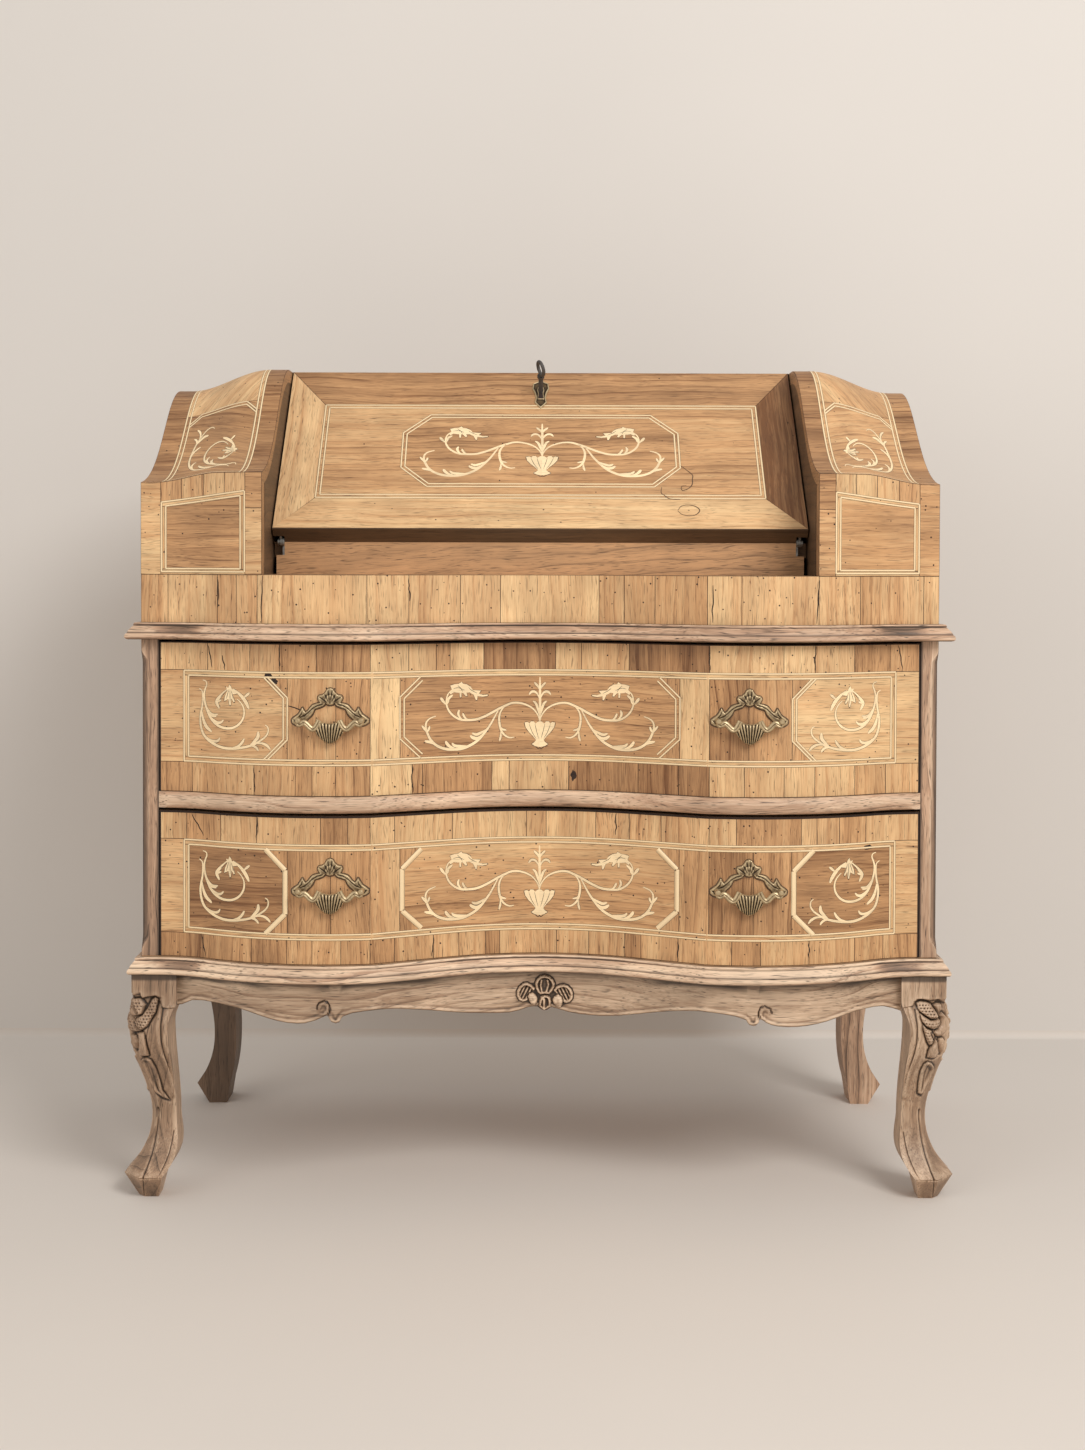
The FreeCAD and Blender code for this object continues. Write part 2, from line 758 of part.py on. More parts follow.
def back_panel():
    """One board behind everything, its top edge stepped down in a curve behind each shoulder."""
    half, inner = size("half_case"), size("inner_x")
    y, low, top = size("inside_back_y"), size("floor_z"), size("top_z")
    start = inner + size("top_blend_inset")
    end = half - size("blend_outer_inset")
    drop = top - size("shoulder_drop")
    middle = (start + end) / 2
    slide = Part.BezierCurve()
    slide.setPoles([Vector(start, y, top), Vector(middle, y, top),
                    Vector(middle, y, drop), Vector(end, y, drop)])
    right = [slide.toShape(), line(Vector(end, y, drop), Vector(half, y, drop)),
             line(Vector(half, y, drop), Vector(half, y, low))]
    left = [mirrored(edge) for edge in right]
    closing = [line(Vector(-start, y, top), Vector(start, y, top)),
               line(Vector(-half, y, low), Vector(half, y, low))]
    wire = Part.Wire(Part.__sortEdges__(right + left + closing))
    return Part.Face(wire).extrude(BACK * size("back_thickness"))


def lower_case():
    half, inside_back = size("half_case"), size("inside_back_y")
    node(solid("bottom_board", front_board(0, half, size("back_y"), size("leg_height"),
                                           size("base_moulding_height"))))
    moulding("base", size("leg_height"))
    node(post("right_post", 1))
    node(post("left_post", -1))
    spans = ("side_thickness", "inside_back_y - front_y - post_depth", "waist_z - floor_z")
    node(box("right_case_side", ("side_inner_x", "front_y + post_depth", "floor_z"), spans))
    node(box("left_case_side", ("-half_case", "front_y + post_depth", "floor_z"), spans))
    node(solid("drawer_rail", drawer_rail()))
    runner = ("runner_width", "inside_back_y - rail_back_y", "runner_height")
    runner_z = "upper_floor_z - runner_height"
    right = box("right_runner", ("side_inner_x - runner_width", "rail_back_y", runner_z), runner)
    left = box("left_runner", ("-side_inner_x", "rail_back_y", runner_z), runner)
    node(group("drawer_runners", right, left))
    node(solid("back_panel", back_panel()))
    node(solid("waist_board", front_board(0, half, inside_back, size("waist_z"),
                                          size("waist_moulding_height"))))
    moulding("waist", size("waist_z"))


# Writing compartment

def blend(x, start, end):
    """0 before the start, 1 after the end, and a smooth step between."""
    share = min(max((x - start) / (end - start), 0), 1)
    return share * share * (3 - 2 * share)


def shoulder_section(x):
    """The shoulder cover at X: an ogee from the cheek's front up to the flat top, and back."""
    inner, half = size("inner_x"), size("half_case")
    end = half - size("blend_outer_inset")
    at_front = blend(x, inner + size("front_blend_inset"), end)
    at_top = blend(x, inner + size("top_blend_inset"), end)
    thick, back = size("shoulder_thickness"), size("inside_back_y")
    rise = size("cheek_height_inner") * (1 - at_front) + size("cheek_height_outer") * at_front
    foot = FrontLine(size("shoulder_overhang")).point(x, size("ledge_z") + rise)
    setback = size("shoulder_run_inner") * (1 - at_top) + size("shoulder_run_outer") * at_top
    head = Vector(x, size("front_y") + setback, size("top_z") - size("shoulder_drop") * at_top)
    run, climb = head.y - foot.y, head.z - foot.z
    low_pole = foot + Vector(0, size("ogee_foot_share") * run, size("ogee_foot_lift") * climb)
    high_pole = foot + Vector(0, size("ogee_head_share") * run, size("ogee_head_lift") * climb)
    poles = [foot, low_pole, high_pole, head]
    down = UP * -thick
    above, below = Part.BezierCurve(), Part.BezierCurve()
    above.setPoles(poles)
    below.setPoles([pole + down for pole in poles])
    rear = Vector(x, back, head.z)
    return Part.Wire([above.toShape(), line(head, rear), line(rear, rear + down),
                      line(rear + down, head + down), below.toShape(), line(foot + down, foot)])


def shoulder():
    """The right shoulder cover, lofted across the cheek."""
    inner, half = size("inner_x"), size("half_case")
    stations = 10
    sections = [shoulder_section(inner + (half - inner) * i / stations) for i in range(stations + 1)]
    return Part.makeLoft(sections, True, False)


def cheek(side, cover):
    """One cheek: cover, curved front board, outer side and inner partition, trimmed under the cover."""
    inner, half = size("inner_x"), size("half_case")
    wall, thick = size("side_thickness"), size("front_thickness")
    above = size("top_z") + size("shoulder_thickness")
    back, frieze, ledge = size("inside_back_y"), size("frieze_z"), size("ledge_z")
    front = lowest(front_band(0, -thick, inner, half, ledge, above - ledge).cut(cover))
    outer = lowest(block(half - wall, half, size("front_y") + thick, back, frieze, above).cut(cover))
    partition_y = FrontLine(-thick).point(inner + wall, 0).y
    partition = lowest(block(inner, inner + wall, partition_y, back, frieze, above).cut(cover))
    pieces = {"shoulder": cover, "cheek_front": front, "desk_side": outer, "partition": partition}
    for label, shape in pieces.items():
        name = f"right_{label}" if side > 0 else f"left_{label}"
        node(solid(name, shape if side > 0 else mirrored(shape)))


def top_board():
    """The top, its front edge bevelled to meet the fall, with a slot for the lock bolt."""
    reach = "pivot_y + ( fall_length + fall_top_gap ) / cos( fall_angle )"
    edge = reach + " - tan( fall_angle ) * ( {} - bed_z )"
    corners = [(edge.format("top_z"), "top_z"), ("inside_back_y", "top_z"),
               ("inside_back_y", "top_z - top_thickness"),
               (edge.format("top_z - top_thickness"), "top_z - top_thickness")]
    board = padded("top_plank", "YZ_Plane", corners, "-inner_x", "2 * inner_x")
    slot = slope_box("bolt_slot",
                     ("-bolt_width / 2 - bolt_clearance", "fall_length", "bolt_seat - bolt_clearance"),
                     ("bolt_width + 2 * bolt_clearance", "bolt_throw + fall_top_gap",
                      "bolt_thickness + 2 * bolt_clearance"))
    return cut("top_board", board, slot)


def plank():
    """The rail under the fall, with a notch at each end for the hinge plates."""
    board = box("plank_board", ("-plank_half", "pivot_y", "ledge_z"),
                ("2 * plank_half", "plank_thickness", "plank_height"))
    notches = []
    for name, x in (("right", "plank_half - hinge_inset"), ("left", "-plank_half")):
        notches.append(box(f"{name}_plank_notch", (x, "pivot_y", "bed_z - hinge_tail"),
                           ("hinge_inset", "plank_thickness", "hinge_tail")))
    return cut("hinge_plank", board, *notches)


def pigeonholes():
    """A shelf across the back of the compartment, and upright dividers below and above it."""
    inner, thick = size("inner_x"), size("pigeonhole_board")
    front, back = size("pigeonhole_y"), size("inside_back_y")
    low, high = size("bed_z"), size("top_z") - size("top_thickness")
    shelf_z = low + size("pigeonhole_rise")
    shelf = box("pigeonhole_shelf", ("-inner_x", "pigeonhole_y", "bed_z + pigeonhole_rise"),
                ("2 * inner_x", "inside_back_y - pigeonhole_y", "pigeonhole_board"))
    count = round(size("pigeonhole_count"))
    pitch = 2 * inner / count
    dividers = []
    for place in range(1, count):
        x = -inner + pitch * place - thick / 2
        for z_from, z_to in ((low, shelf_z), (shelf_z + thick, high)):
            dividers.append(block(x, x + thick, front, back, z_from, z_to))
    node(group("pigeonholes", shelf, solid("pigeonhole_dividers", Part.makeCompound(dividers))))


def compartment():
    half, thick = size("half_case"), size("front_thickness")
    node(solid("frieze", front_band(0, -thick, -half, half, size("frieze_z"), size("frieze_height"))))
    deck_z = size("ledge_z") - size("deck_thickness")
    deck_back = size("pivot_y") + size("plank_thickness")
    node(solid("deck", front_board(-thick, size("inner_x"), deck_back, deck_z, size("deck_thickness"))))
    node(plank())
    node(box("writing_bed", ("-inner_x", "pivot_y + plank_thickness", "bed_z - bed_thickness"),
             ("2 * inner_x", "inside_back_y - pivot_y - plank_thickness", "bed_thickness")))
    cover = shoulder()
    cheek(1, cover)
    cheek(-1, cover)
    node(top_board())
    pigeonholes()


# Fall front with its hinges, lock and key

def fall_frame():
    """Panel and four mitred frame members, bevelled down towards the panel."""
    along_low, along_high = "fall_rail_width", "fall_length - fall_rail_width"
    inner = "fall_half - fall_stile_width"
    sunk = "fall_thickness - fall_bevel"

    def across(half, high):
        return [(f"-( {half} )", "0"), (half, "0"), (half, high), (f"-( {half} )", high)]

    def upright(low, top, high):
        return [(low, "0"), (top, "0"), (top, high), (low, high)]

    node(slope_box("fall_panel", (f"-( {inner} )", along_low, "0"),
                   (f"2 * ( {inner} )", f"{along_high} - fall_rail_width", sunk)))
    wide, narrow = across("fall_half", "fall_thickness"), across(inner, sunk)
    top = tapered("fall_top_member", "XZ_Plane", (wide, "-fall_length"), (narrow, f"-( {along_high} )"))
    bottom = tapered("fall_bottom_member", "XZ_Plane", (narrow, f"-( {along_low} )"), (wide, "-joint_gap"))
    long_edge = upright("joint_gap", "fall_length", "fall_thickness")
    short_edge = upright(along_low, along_high, sunk)
    right = tapered("fall_right_member", "YZ_Plane", (short_edge, inner), (long_edge, "fall_half"))
    left = tapered("fall_left_member", "YZ_Plane", (long_edge, "-fall_half"), (short_edge, f"-( {inner} )"))

    mortise = slope_box("lock_mortise", ("-lock_width / 2", "fall_length - lock_height", "0"),
                        ("lock_width", "lock_height", "lock_depth"))
    key_axis = Vector(0, size("fall_length") - size("key_drop"), 0)
    hole = slope_solid("keyhole", Part.makeCylinder(size("keyhole_radius"), size("fall_thickness"), key_axis))
    node(cut("fall_top_rail", top, mortise, hole))
    notch_x = "plank_half - hinge_inset - joint_gap"
    spans = ("fall_half - plank_half + hinge_inset + joint_gap", "hinge_notch_length", "hinge_notch_depth")
    right_notch = slope_box("right_hinge_notch", (notch_x, "0", "0"), spans)
    left_notch = slope_box("left_hinge_notch", ("-fall_half", "0", "0"), spans)
    node(cut("fall_bottom_rail", bottom, right_notch, left_notch))
    node(cut("fall_right_stile", right, right_notch))
    node(cut("fall_left_stile", left, left_notch))


def hinge_plates():
    """Right-hand plates: the fixed one with its riveted pin, and the one that turns with the fall."""
    wall_x = size("plank_half") - size("hinge_inset")
    plate, eye = size("hinge_plate"), size("hinge_eye")
    pivot = Vector(0, size("pivot_y"), size("bed_z"))
    gap = size("joint_gap")
    turn_x = wall_x + plate + gap
    pin_end = turn_x + plate + gap

    def disc(x, radius, length):
        return Part.makeCylinder(radius, length, pivot + RIGHT * x, RIGHT)

    tail = block(wall_x, wall_x + plate, pivot.y, pivot.y + size("hinge_tail_width"),
                 pivot.z - size("hinge_tail"), pivot.z)
    pin = disc(wall_x, size("hinge_pin_radius"), pin_end - wall_x)
    head = disc(pin_end, size("hinge_head_radius"), size("hinge_head"))
    fixed = disc(wall_x, eye, plate).fuse([tail, pin, head]).removeSplitter()

    arm = Part.makeBox(plate, size("hinge_arm"), size("hinge_arm_high") - size("hinge_arm_low"),
                       Vector(turn_x, 0, size("hinge_arm_low")))
    arm.rotate(Vector(), RIGHT, size("fall_angle"))
    arm.translate(pivot)
    bore = disc(turn_x - gap, size("hinge_pin_radius") + size("hinge_pin_clearance"), plate + 2 * gap)
    turning = disc(turn_x, eye, plate).fuse(arm).cut(bore).removeSplitter()
    return fixed, turning


def lock_case():
    """A flat iron box let into the back of the top rail, with a drill pin for the key."""
    length, wall = size("fall_length"), size("lock_wall")
    half, height, deep = size("lock_width") / 2, size("lock_height"), size("lock_depth")
    key_axis = Vector(0, length - size("key_drop"), 0)
    loose = size("bolt_clearance")
    case = block(-half, half, length - height, length, 0, deep)
    cavity = block(-half + wall, half - wall, length - height + wall, length - wall, wall, deep - wall)
    slot_half, seat = size("bolt_width") / 2 + loose, size("bolt_seat")
    slot = block(-slot_half, slot_half, length - 2 * wall, length + wall,
                 seat - loose, seat + size("bolt_thickness") + loose)
    hole = Part.makeCylinder(size("keyhole_radius"), deep, key_axis + UP * wall)
    pin = Part.makeCylinder(size("drill_pin_radius"), size("drill_pin_length") - wall, key_axis + UP * wall)
    return case.cut([cavity, slot, hole]).fuse(pin).removeSplitter()


def key():
    """An iron key: hollow barrel on the drill pin, bit, collar and ring bow, standing off the fall."""
    axis = Vector(0, size("fall_length") - size("key_drop"), 0)
    low = size("lock_wall") + size("joint_gap")
    high = size("fall_thickness") + size("key_reach")
    radius = size("key_radius")
    barrel = Part.makeCylinder(radius, high - low, axis + UP * low)
    bore_depth = size("drill_pin_length") + 2 * size("joint_gap") - low
    bore_radius = size("drill_pin_radius") + size("key_bore_clearance")
    bore = Part.makeCylinder(bore_radius, bore_depth, axis + UP * low)
    thick = size("key_bit_thickness")
    bit_low = size("lock_wall") + size("key_bit_rise")
    bit = block(-thick / 2, thick / 2, axis.y - size("key_bit_reach"), axis.y,
                bit_low, bit_low + size("key_bit_width"))
    collar_place = axis + UP * (high - 2 * size("key_collar"))
    collar = Part.makeCylinder(size("key_collar_radius"), size("key_collar"), collar_place)
    ring_place = axis + UP * (high + size("key_bow_radius"))
    bow = Part.makeTorus(size("key_bow_radius"), size("key_bow_wire"), ring_place, RIGHT)
    shape = barrel.fuse([bit, collar, bow]).cut(bore).removeSplitter()
    shape.rotate(axis, UP, size("key_turn"))
    return shape


def escutcheon():
    """A pointed oval plate with a keyhole, lying on the bevel of the top rail."""
    half, tall = size("escutcheon_width") / 2, size("escutcheon_height") / 2
    thick = size("escutcheon_thickness")
    tips = [Vector(0, -tall, 0), Vector(0, tall, 0)]
    outline = Part.Wire([Part.Arc(tips[0], Vector(half, 0, 0), tips[1]).toShape(),
                         Part.Arc(tips[1], Vector(-half, 0, 0), tips[0]).toShape()])
    plate = Part.Face(outline).extrude(UP * thick)
    hole = Part.makeCylinder(size("keyhole_radius"), thick)
    slot = block(-size("keyhole_slot_width") / 2, size("keyhole_slot_width") / 2,
                 -size("keyhole_slot_height"), 0, 0, thick)
    plate = plate.cut([hole, slot])
    tilt = math.degrees(math.atan2(size("fall_bevel"), size("fall_rail_width")))
    plate.rotate(Vector(), RIGHT, tilt)
    face = size("fall_thickness") - size("fall_bevel") * size("key_drop") / size("fall_rail_width")
    return plate.translated(Vector(0, size("fall_length") - size("key_drop"), face))


def fall():
    fall_frame()
    fixed, turning = hinge_plates()
    node(solid("hinge_plates_fixed", Part.makeCompound([fixed, mirrored(fixed)])))
    node(solid("hinge_plates_turning", Part.makeCompound([turning, mirrored(turning)])))
    node(slope_solid("lock_case", lock_case()))
    node(slope_box("lock_bolt", ("-bolt_width / 2", "fall_length - bolt_height - joint_gap", "bolt_seat"),
                   ("bolt_width", "bolt_height", "bolt_thickness")))
    node(slope_solid("escutcheon", escutcheon()))
    node(slope_solid("key", key()))


# Drawers and their handles

def elevation(x, z):
    """A point of a handle's front view."""
    return Vector(x, 0, z)


def handle_outline():
    """Elevation of a handle plate: an arch from eye to eye under a pointed crest."""
    half = size("handle_half_width")
    eye = size("handle_post_radius") + size("handle_eye_margin")
    tip, top = elevation(half, 0), elevation(0, size("handle_crest"))
    neck = elevation(size("handle_crest_half"), size("handle_shoulder"))
    inner = elevation(2 * size("handle_post_x") - half, 0)
    arm = elevation(size("handle_arm_x"), size("handle_arm_rise"))
    crest = elevation(size("handle_crest_round_x"), size("handle_crest_round_z"))
    right = [Part.Arc(inner, elevation(size("handle_post_x"), -eye), tip).toShape(),
             Part.Arc(tip, arm, neck).toShape(),
             Part.Arc(neck, crest, top).toShape()]
    left = [mirrored(edge) for edge in right]
    opening = Part.Arc(inner, elevation(0, size("handle_arch")), elevation(-inner.x, 0)).toShape()
    return Part.Face(Part.Wire(Part.__sortEdges__(right + left + [opening])))


def bail_outline():
    """Elevation of a bail: two arms that meet in a scalloped shell."""
    arm, radius, depth = size("bail_arm"), size("bail_shell_radius"), size("bail_shell_depth")
    reach = size("handle_post_x") - size("handle_post_radius") - size("bail_gap")
    outer, inner = elevation(reach, -arm / 2), elevation(reach, arm / 2)
    root = elevation(radius, -arm - arm / 2)
    sag = elevation((reach + radius) / 2, -size("bail_arm_sag"))
    right_arm = [Part.Arc(outer, sag, root).toShape(), line(inner, outer)]
    lobes = round(size("bail_shell_lobes"))
    points = []
    for count in range(lobes + 1):
        angle = math.pi * count / lobes
        points.append(elevation(radius * math.cos(angle), root.z - depth * math.sin(angle)))
    scallops = []
    for first, last in zip(points, points[1:]):
        middle = (first + last) / 2
        bulge = middle - elevation(0, root.z)
        scallops.append(Part.Arc(first, middle + bulge * size("bail_lobe_bulge"), last).toShape())
    upper = Part.Arc(inner, elevation(0, -size("bail_hollow")), elevation(-reach, arm / 2)).toShape()
    edges = right_arm + [mirrored(edge) for edge in right_arm] + scallops + [upper]
    return Part.Face(Part.Wire(Part.__sortEdges__(edges)))


def handle(x, z):
    """Plate, two bolts and bail of the handle at X and Z on a drawer's swell."""
    face = FrontLine()
    plate_front = FrontLine(size("handle_plate"))
    inside = FrontLine(-size("drawer_front_thickness"))
    deep, span = size("case_depth"), 2 * size("handle_half_width")
    pivot_y = size("front_y") - size("bulge_depth") - size("handle_pivot_reach")
    shift = Vector(x, 0, z)
    band = front_band(size("handle_plate"), 0, x - span, x + span, z - span, 2 * span)
    plate = handle_outline().extrude(BACK * 2 * deep).translated(shift - BACK * deep).common(band)
    bolts, holes = [], []
    shank = size("handle_bolt_radius")
    for side in (-1, 1):
        post_x = x + side * size("handle_post_x")
        tip = Vector(post_x, pivot_y - size("handle_post_radius"), z)
        seat = min(plate_front.rim(post_x, size("handle_post_radius")))
        nut_y = max(inside.rim(post_x, size("handle_nut_radius")))
        head = Part.makeCylinder(size("handle_post_radius"), seat - tip.y, tip, BACK)
        rod = Part.makeCylinder(shank, nut_y + 2 * size("handle_nut") - tip.y, tip, BACK)
        nut_place = Vector(post_x, nut_y + size("joint_gap"), z)
        nut = Part.makeCylinder(size("handle_nut_radius"), size("handle_nut"), nut_place, BACK)
        width = 2 * size("handle_post_radius")
        eye = Part.makeCylinder(size("bail_pin_radius") + size("bail_pin_clearance"), 2 * width,
                                Vector(post_x - width, pivot_y, z), RIGHT)
        bolts.append(head.fuse([rod, nut]).cut(eye).removeSplitter())
        start = Vector(post_x, face.point(post_x, z).y - span, z)
        holes.append(Part.makeCylinder(shank + size("handle_bolt_clearance"), 2 * span, start, BACK))
    thick = size("bail_thickness")
    bail = bail_outline().extrude(BACK * thick).translated(Vector(x, pivot_y - thick / 2, z))
    pin_half = size("handle_post_x") + size("handle_post_radius") / 2
    arm_half = size("handle_post_x") - size("handle_post_radius") - size("bail_gap") - size("bail_arm") / 2
    for side in (-1, 1):
        start = Vector(x + side * arm_half, pivot_y, z)
        pin = Part.makeCylinder(size("bail_pin_radius"), pin_half - arm_half, start, RIGHT * side)
        bail = bail.fuse(pin)
    return plate.cut(holes), bolts, bail.removeSplitter(), holes


def drawer(name, floor_z, opening):
    """Front, sides, back, bottom and two handles of a drawer; floor and opening are names of sizes."""
    base = size(floor_z) + size("joint_gap")
    height = size(opening) - size("drawer_top_gap") - size("joint_gap")
    half, wall, thick = size("drawer_half"), size("drawer_wall"), size("drawer_front_thickness")
    plates, bolts, holes = [], [], []
    for side, place in ((1, "right"), (-1, "left")):
        plate, pair, bail, bores = handle(side * size("handle_x"), base + height / 2)
        plates.append(plate)
        bolts += pair
        holes += bores
        node(solid(f"{name}_{place}_bail", bail))
    front = front_band(0, -thick, -half, half, base, height).cut(holes)
    node(solid(f"{name}_drawer_front", front))
    node(solid(f"{name}_handle_plates", Part.makeCompound(plates + bolts)))
    low = f"{floor_z} + joint_gap"
    tall = f"{opening} - drawer_wall_drop"
    spans = ("drawer_wall", "drawer_back_y - front_y - drawer_front_thickness", tall)
    side_y = "front_y + drawer_front_thickness"
    right = box(f"{name}_drawer_right_side", ("drawer_half - drawer_wall", side_y, low), spans)
    left = box(f"{name}_drawer_left_side", ("-drawer_half", side_y, low), spans)
    node(group(f"{name}_drawer_sides", right, left))
    node(box(f"{name}_drawer_back", ("-drawer_half + drawer_wall", "drawer_back_y - drawer_wall", low),
             ("2 * ( drawer_half - drawer_wall )", "drawer_wall", tall)))
    bottom = front_board(-thick, half - wall, size("drawer_back_y") - wall,
                         base + size("drawer_bottom_rise"), size("drawer_bottom_thickness"))
    node(solid(f"{name}_drawer_bottom", bottom))


stand()
lower_case()
compartment()
fall()
drawer("upper", "upper_floor_z", "upper_opening")
drawer("lower", "floor_z", "lower_opening")
doc.recompute()

for item in doc.Objects:
    if {"Invalid", "Error"} & set(item.State):
        raise RuntimeError(f"{item.Label} failed: {item.State}")
for item in nodes:
    if item.Shape.isNull() or not item.Shape.isValid() or not item.Shape.Solids:
        raise RuntimeError(f"{item.Label} has no valid solid")

os.makedirs("parts", exist_ok=True)
for item in nodes:
    item.Shape.exportStep(f"parts/{item.Label}.step")
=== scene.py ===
"""Looks of a slant-front writing desk with a serpentine front.

Faded walnut veneer with pale inlay, carved legs and apron, old brass handles, and the studio it
stands in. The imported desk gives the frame: metres, X to the right, Y to the back, Z up.
"""

import math
import random

import bmesh
import bpy
import numpy as np
from mathutils import Matrix, Vector, geometry


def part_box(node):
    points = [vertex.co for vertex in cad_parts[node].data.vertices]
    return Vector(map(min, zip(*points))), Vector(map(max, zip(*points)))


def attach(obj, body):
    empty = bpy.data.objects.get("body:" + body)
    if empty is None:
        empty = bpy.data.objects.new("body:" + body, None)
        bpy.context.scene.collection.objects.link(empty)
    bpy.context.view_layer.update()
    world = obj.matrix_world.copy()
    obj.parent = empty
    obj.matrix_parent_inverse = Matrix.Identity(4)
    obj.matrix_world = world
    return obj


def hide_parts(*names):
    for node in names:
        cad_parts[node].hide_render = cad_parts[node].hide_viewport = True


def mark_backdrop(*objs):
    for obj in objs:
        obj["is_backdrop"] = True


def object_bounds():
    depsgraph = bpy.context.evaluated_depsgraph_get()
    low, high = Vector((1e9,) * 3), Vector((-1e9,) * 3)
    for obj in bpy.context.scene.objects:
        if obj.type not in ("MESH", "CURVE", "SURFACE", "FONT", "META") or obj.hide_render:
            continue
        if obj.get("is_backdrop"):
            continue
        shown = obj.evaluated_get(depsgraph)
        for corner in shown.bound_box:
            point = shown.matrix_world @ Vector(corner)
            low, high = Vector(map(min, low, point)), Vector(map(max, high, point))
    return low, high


bl_info = {
    "name": "Slant-front writing desk",
    "version": (1, 0, 0),
    "blender": (4, 5, 0),
    "location": "3D View > Sidebar > Desk",
    "description": "Veneer, inlay, carving, metalwork and studio of a slant-front writing desk",
    "category": "Object",
}

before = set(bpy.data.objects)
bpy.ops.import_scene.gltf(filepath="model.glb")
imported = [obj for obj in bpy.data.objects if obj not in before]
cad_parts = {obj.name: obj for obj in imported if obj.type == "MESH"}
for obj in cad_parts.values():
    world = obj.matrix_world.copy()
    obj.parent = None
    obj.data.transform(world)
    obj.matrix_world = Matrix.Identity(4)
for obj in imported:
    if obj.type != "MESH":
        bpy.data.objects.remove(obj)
CAD_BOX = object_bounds()
MM = 0.001
SIDES = (-1, 1)
HANDS = {-1: "left", 1: "right"}
FRONT = Vector((0, -1, 0))
UP = Vector((0, 0, 1))
POST_LOW, POST_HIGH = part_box("right_post")


# Sizes and colours

def srgb(code):
    """An sRGB hex colour as linear red, green and blue."""
    parts = [int(code[i:i + 2], 16) / 255 for i in (1, 3, 5)]
    return [part / 12.92 if part <= 0.04045 else ((part + 0.055) / 1.055) ** 2.4 for part in parts]


def length(name, description, default):
    return bpy.props.FloatProperty(name=name, description=description, default=default,
                                   unit="LENGTH", subtype="DISTANCE", precision=4)


def colour(name, description, code):
    return bpy.props.FloatVectorProperty(name=name, description=description, default=srgb(code),
                                         size=3, min=0.0, max=1.0, subtype="COLOR")


class DeskSizes(bpy.types.PropertyGroup):
    half_case: length("Half width", "From the middle to the side of the case", POST_HIGH.x)
    front_y: length("Posts' plane", "Where the posts' front faces stand", POST_LOW.y)
    swell_x: length("Swell place", "From the middle to the crest of each swell", 0.255)
    swell_depth: length("Swell depth", "How far a swell stands in front of the posts", 0.050)
    hollow_depth: length("Hollow depth", "How far the middle lies behind the posts", 0.020)
    crease_x: length("Crease place", "From the middle to the crease beside it", 0.197)
    end_flat: length("Flat end", "Width of the flat strip at each end of the front", 0.020)
    flank_angle: bpy.props.FloatProperty(
        name="Flank angle", description="Slope of the straight flank in plan", unit="ROTATION",
        subtype="ANGLE", default=math.radians(24.7))
    swell_share: bpy.props.FloatProperty(
        name="Swell share", description="Share of the swell's arc in its run", subtype="FACTOR",
        default=0.69, min=0.1, max=0.9)
    veneer: length("Veneer", "How far a leaf of veneer stands on its board", 0.0004)
    joint: length("Joint", "Half the gap between two leaves of veneer", 0.00036)
    string: length("String", "Width of one line of stringing", 0.0019)
    hole: length("Worm-hole", "Radius of a worm-hole", 0.00095)


class DeskColours(bpy.types.PropertyGroup):
    walnut_dark: colour("Dark walnut", "Dark streaks of the veneer", "#774c28")
    walnut_middle: colour("Walnut", "Ground of the veneer", "#cc9b6a")
    walnut_light: colour("Faded walnut", "Light streaks of the veneer", "#f3ce99")
    moulding: colour("Mouldings", "Bleached mouldings and posts", "#c8a081")
    carving: colour("Carving", "Bleached carved wood of legs and apron", "#ae8c6f")
    bleached: colour("Bleached", "Light streaks and ridges of the mouldings and the carving", "#f0d2b2")
    inside: colour("Inside", "Plain wood of the inside", "#a98059")
    softwood: colour("Softwood", "Drawer sides, bottoms and back", "#c39c6d")
    inlay: colour("Inlay", "Maple of strings and scrolls", "#fde0b2")
    brass: colour("Brass", "Dull ground of the handles", "#6c573c")
    brass_worn: colour("Worn brass", "Rubbed ridges of the handles", "#c4ae88")
    iron: colour("Iron", "Key and lock", "#2e2a26")
    # The gaps' colour also makes the painted shadow along the drawers' edges and in the keyhole
    gap: colour("Gaps", "Worm-holes, cracks and old dirt", "#33231a")
    floor: colour("Floor", "Studio floor", "#ddd4ca")
    wall: colour("Wall", "Studio wall", "#dcd6cf")


def sizes():
    return bpy.context.scene.desk_sizes


def colours():
    return bpy.context.scene.desk_colours


# Materials

def add(tree, kind, inputs=None, **settings):
    """A node with its settings, and its inputs set to values or linked to sockets."""
    node = tree.nodes.new(kind)
    for key, value in settings.items():
        setattr(node, key, value)
    for key, value in (inputs or {}).items():
        if isinstance(value, bpy.types.NodeSocket):
            tree.links.new(value, node.inputs[key])
        else:
            node.inputs[key].default_value = value
    return node


def blank(name):
    """The tree and the shader of a new material."""
    material = bpy.data.materials.new(name)
    material.use_nodes = True
    return material.node_tree, material.node_tree.nodes["Principled BSDF"]


def own_space(tree):
    return add(tree, "ShaderNodeTexCoord").outputs["Object"]


def noise(tree, place, scale, detail, rough=0.5):
    """Noise, drawn out along the axes that have a small scale."""
    drawn = add(tree, "ShaderNodeMapping", {"Vector": place, "Scale": scale})
    return add(tree, "ShaderNodeTexNoise", {"Vector": drawn.outputs[0], "Scale": 1.0, "Detail": detail,
                                            "Roughness": rough})


def scaled(tree, value, factor, more):
    """A value times a factor, and more added to it."""
    return add(tree, "ShaderNodeMath", {0: value, 1: factor, 2: more}, operation="MULTIPLY_ADD").outputs[0]


def ranged(tree, value, low, high, start=0.0, end=1.0):
    """A value between start and end, brought to between low and high."""
    return add(tree, "ShaderNodeMapRange", {"Value": value, "From Min": start, "From Max": end,
                                            "To Min": low, "To Max": high}).outputs[0]


def vectors(tree, operation, first, second, socket=1):
    return add(tree, "ShaderNodeVectorMath", {0: first, socket: second}, operation=operation).outputs[0]


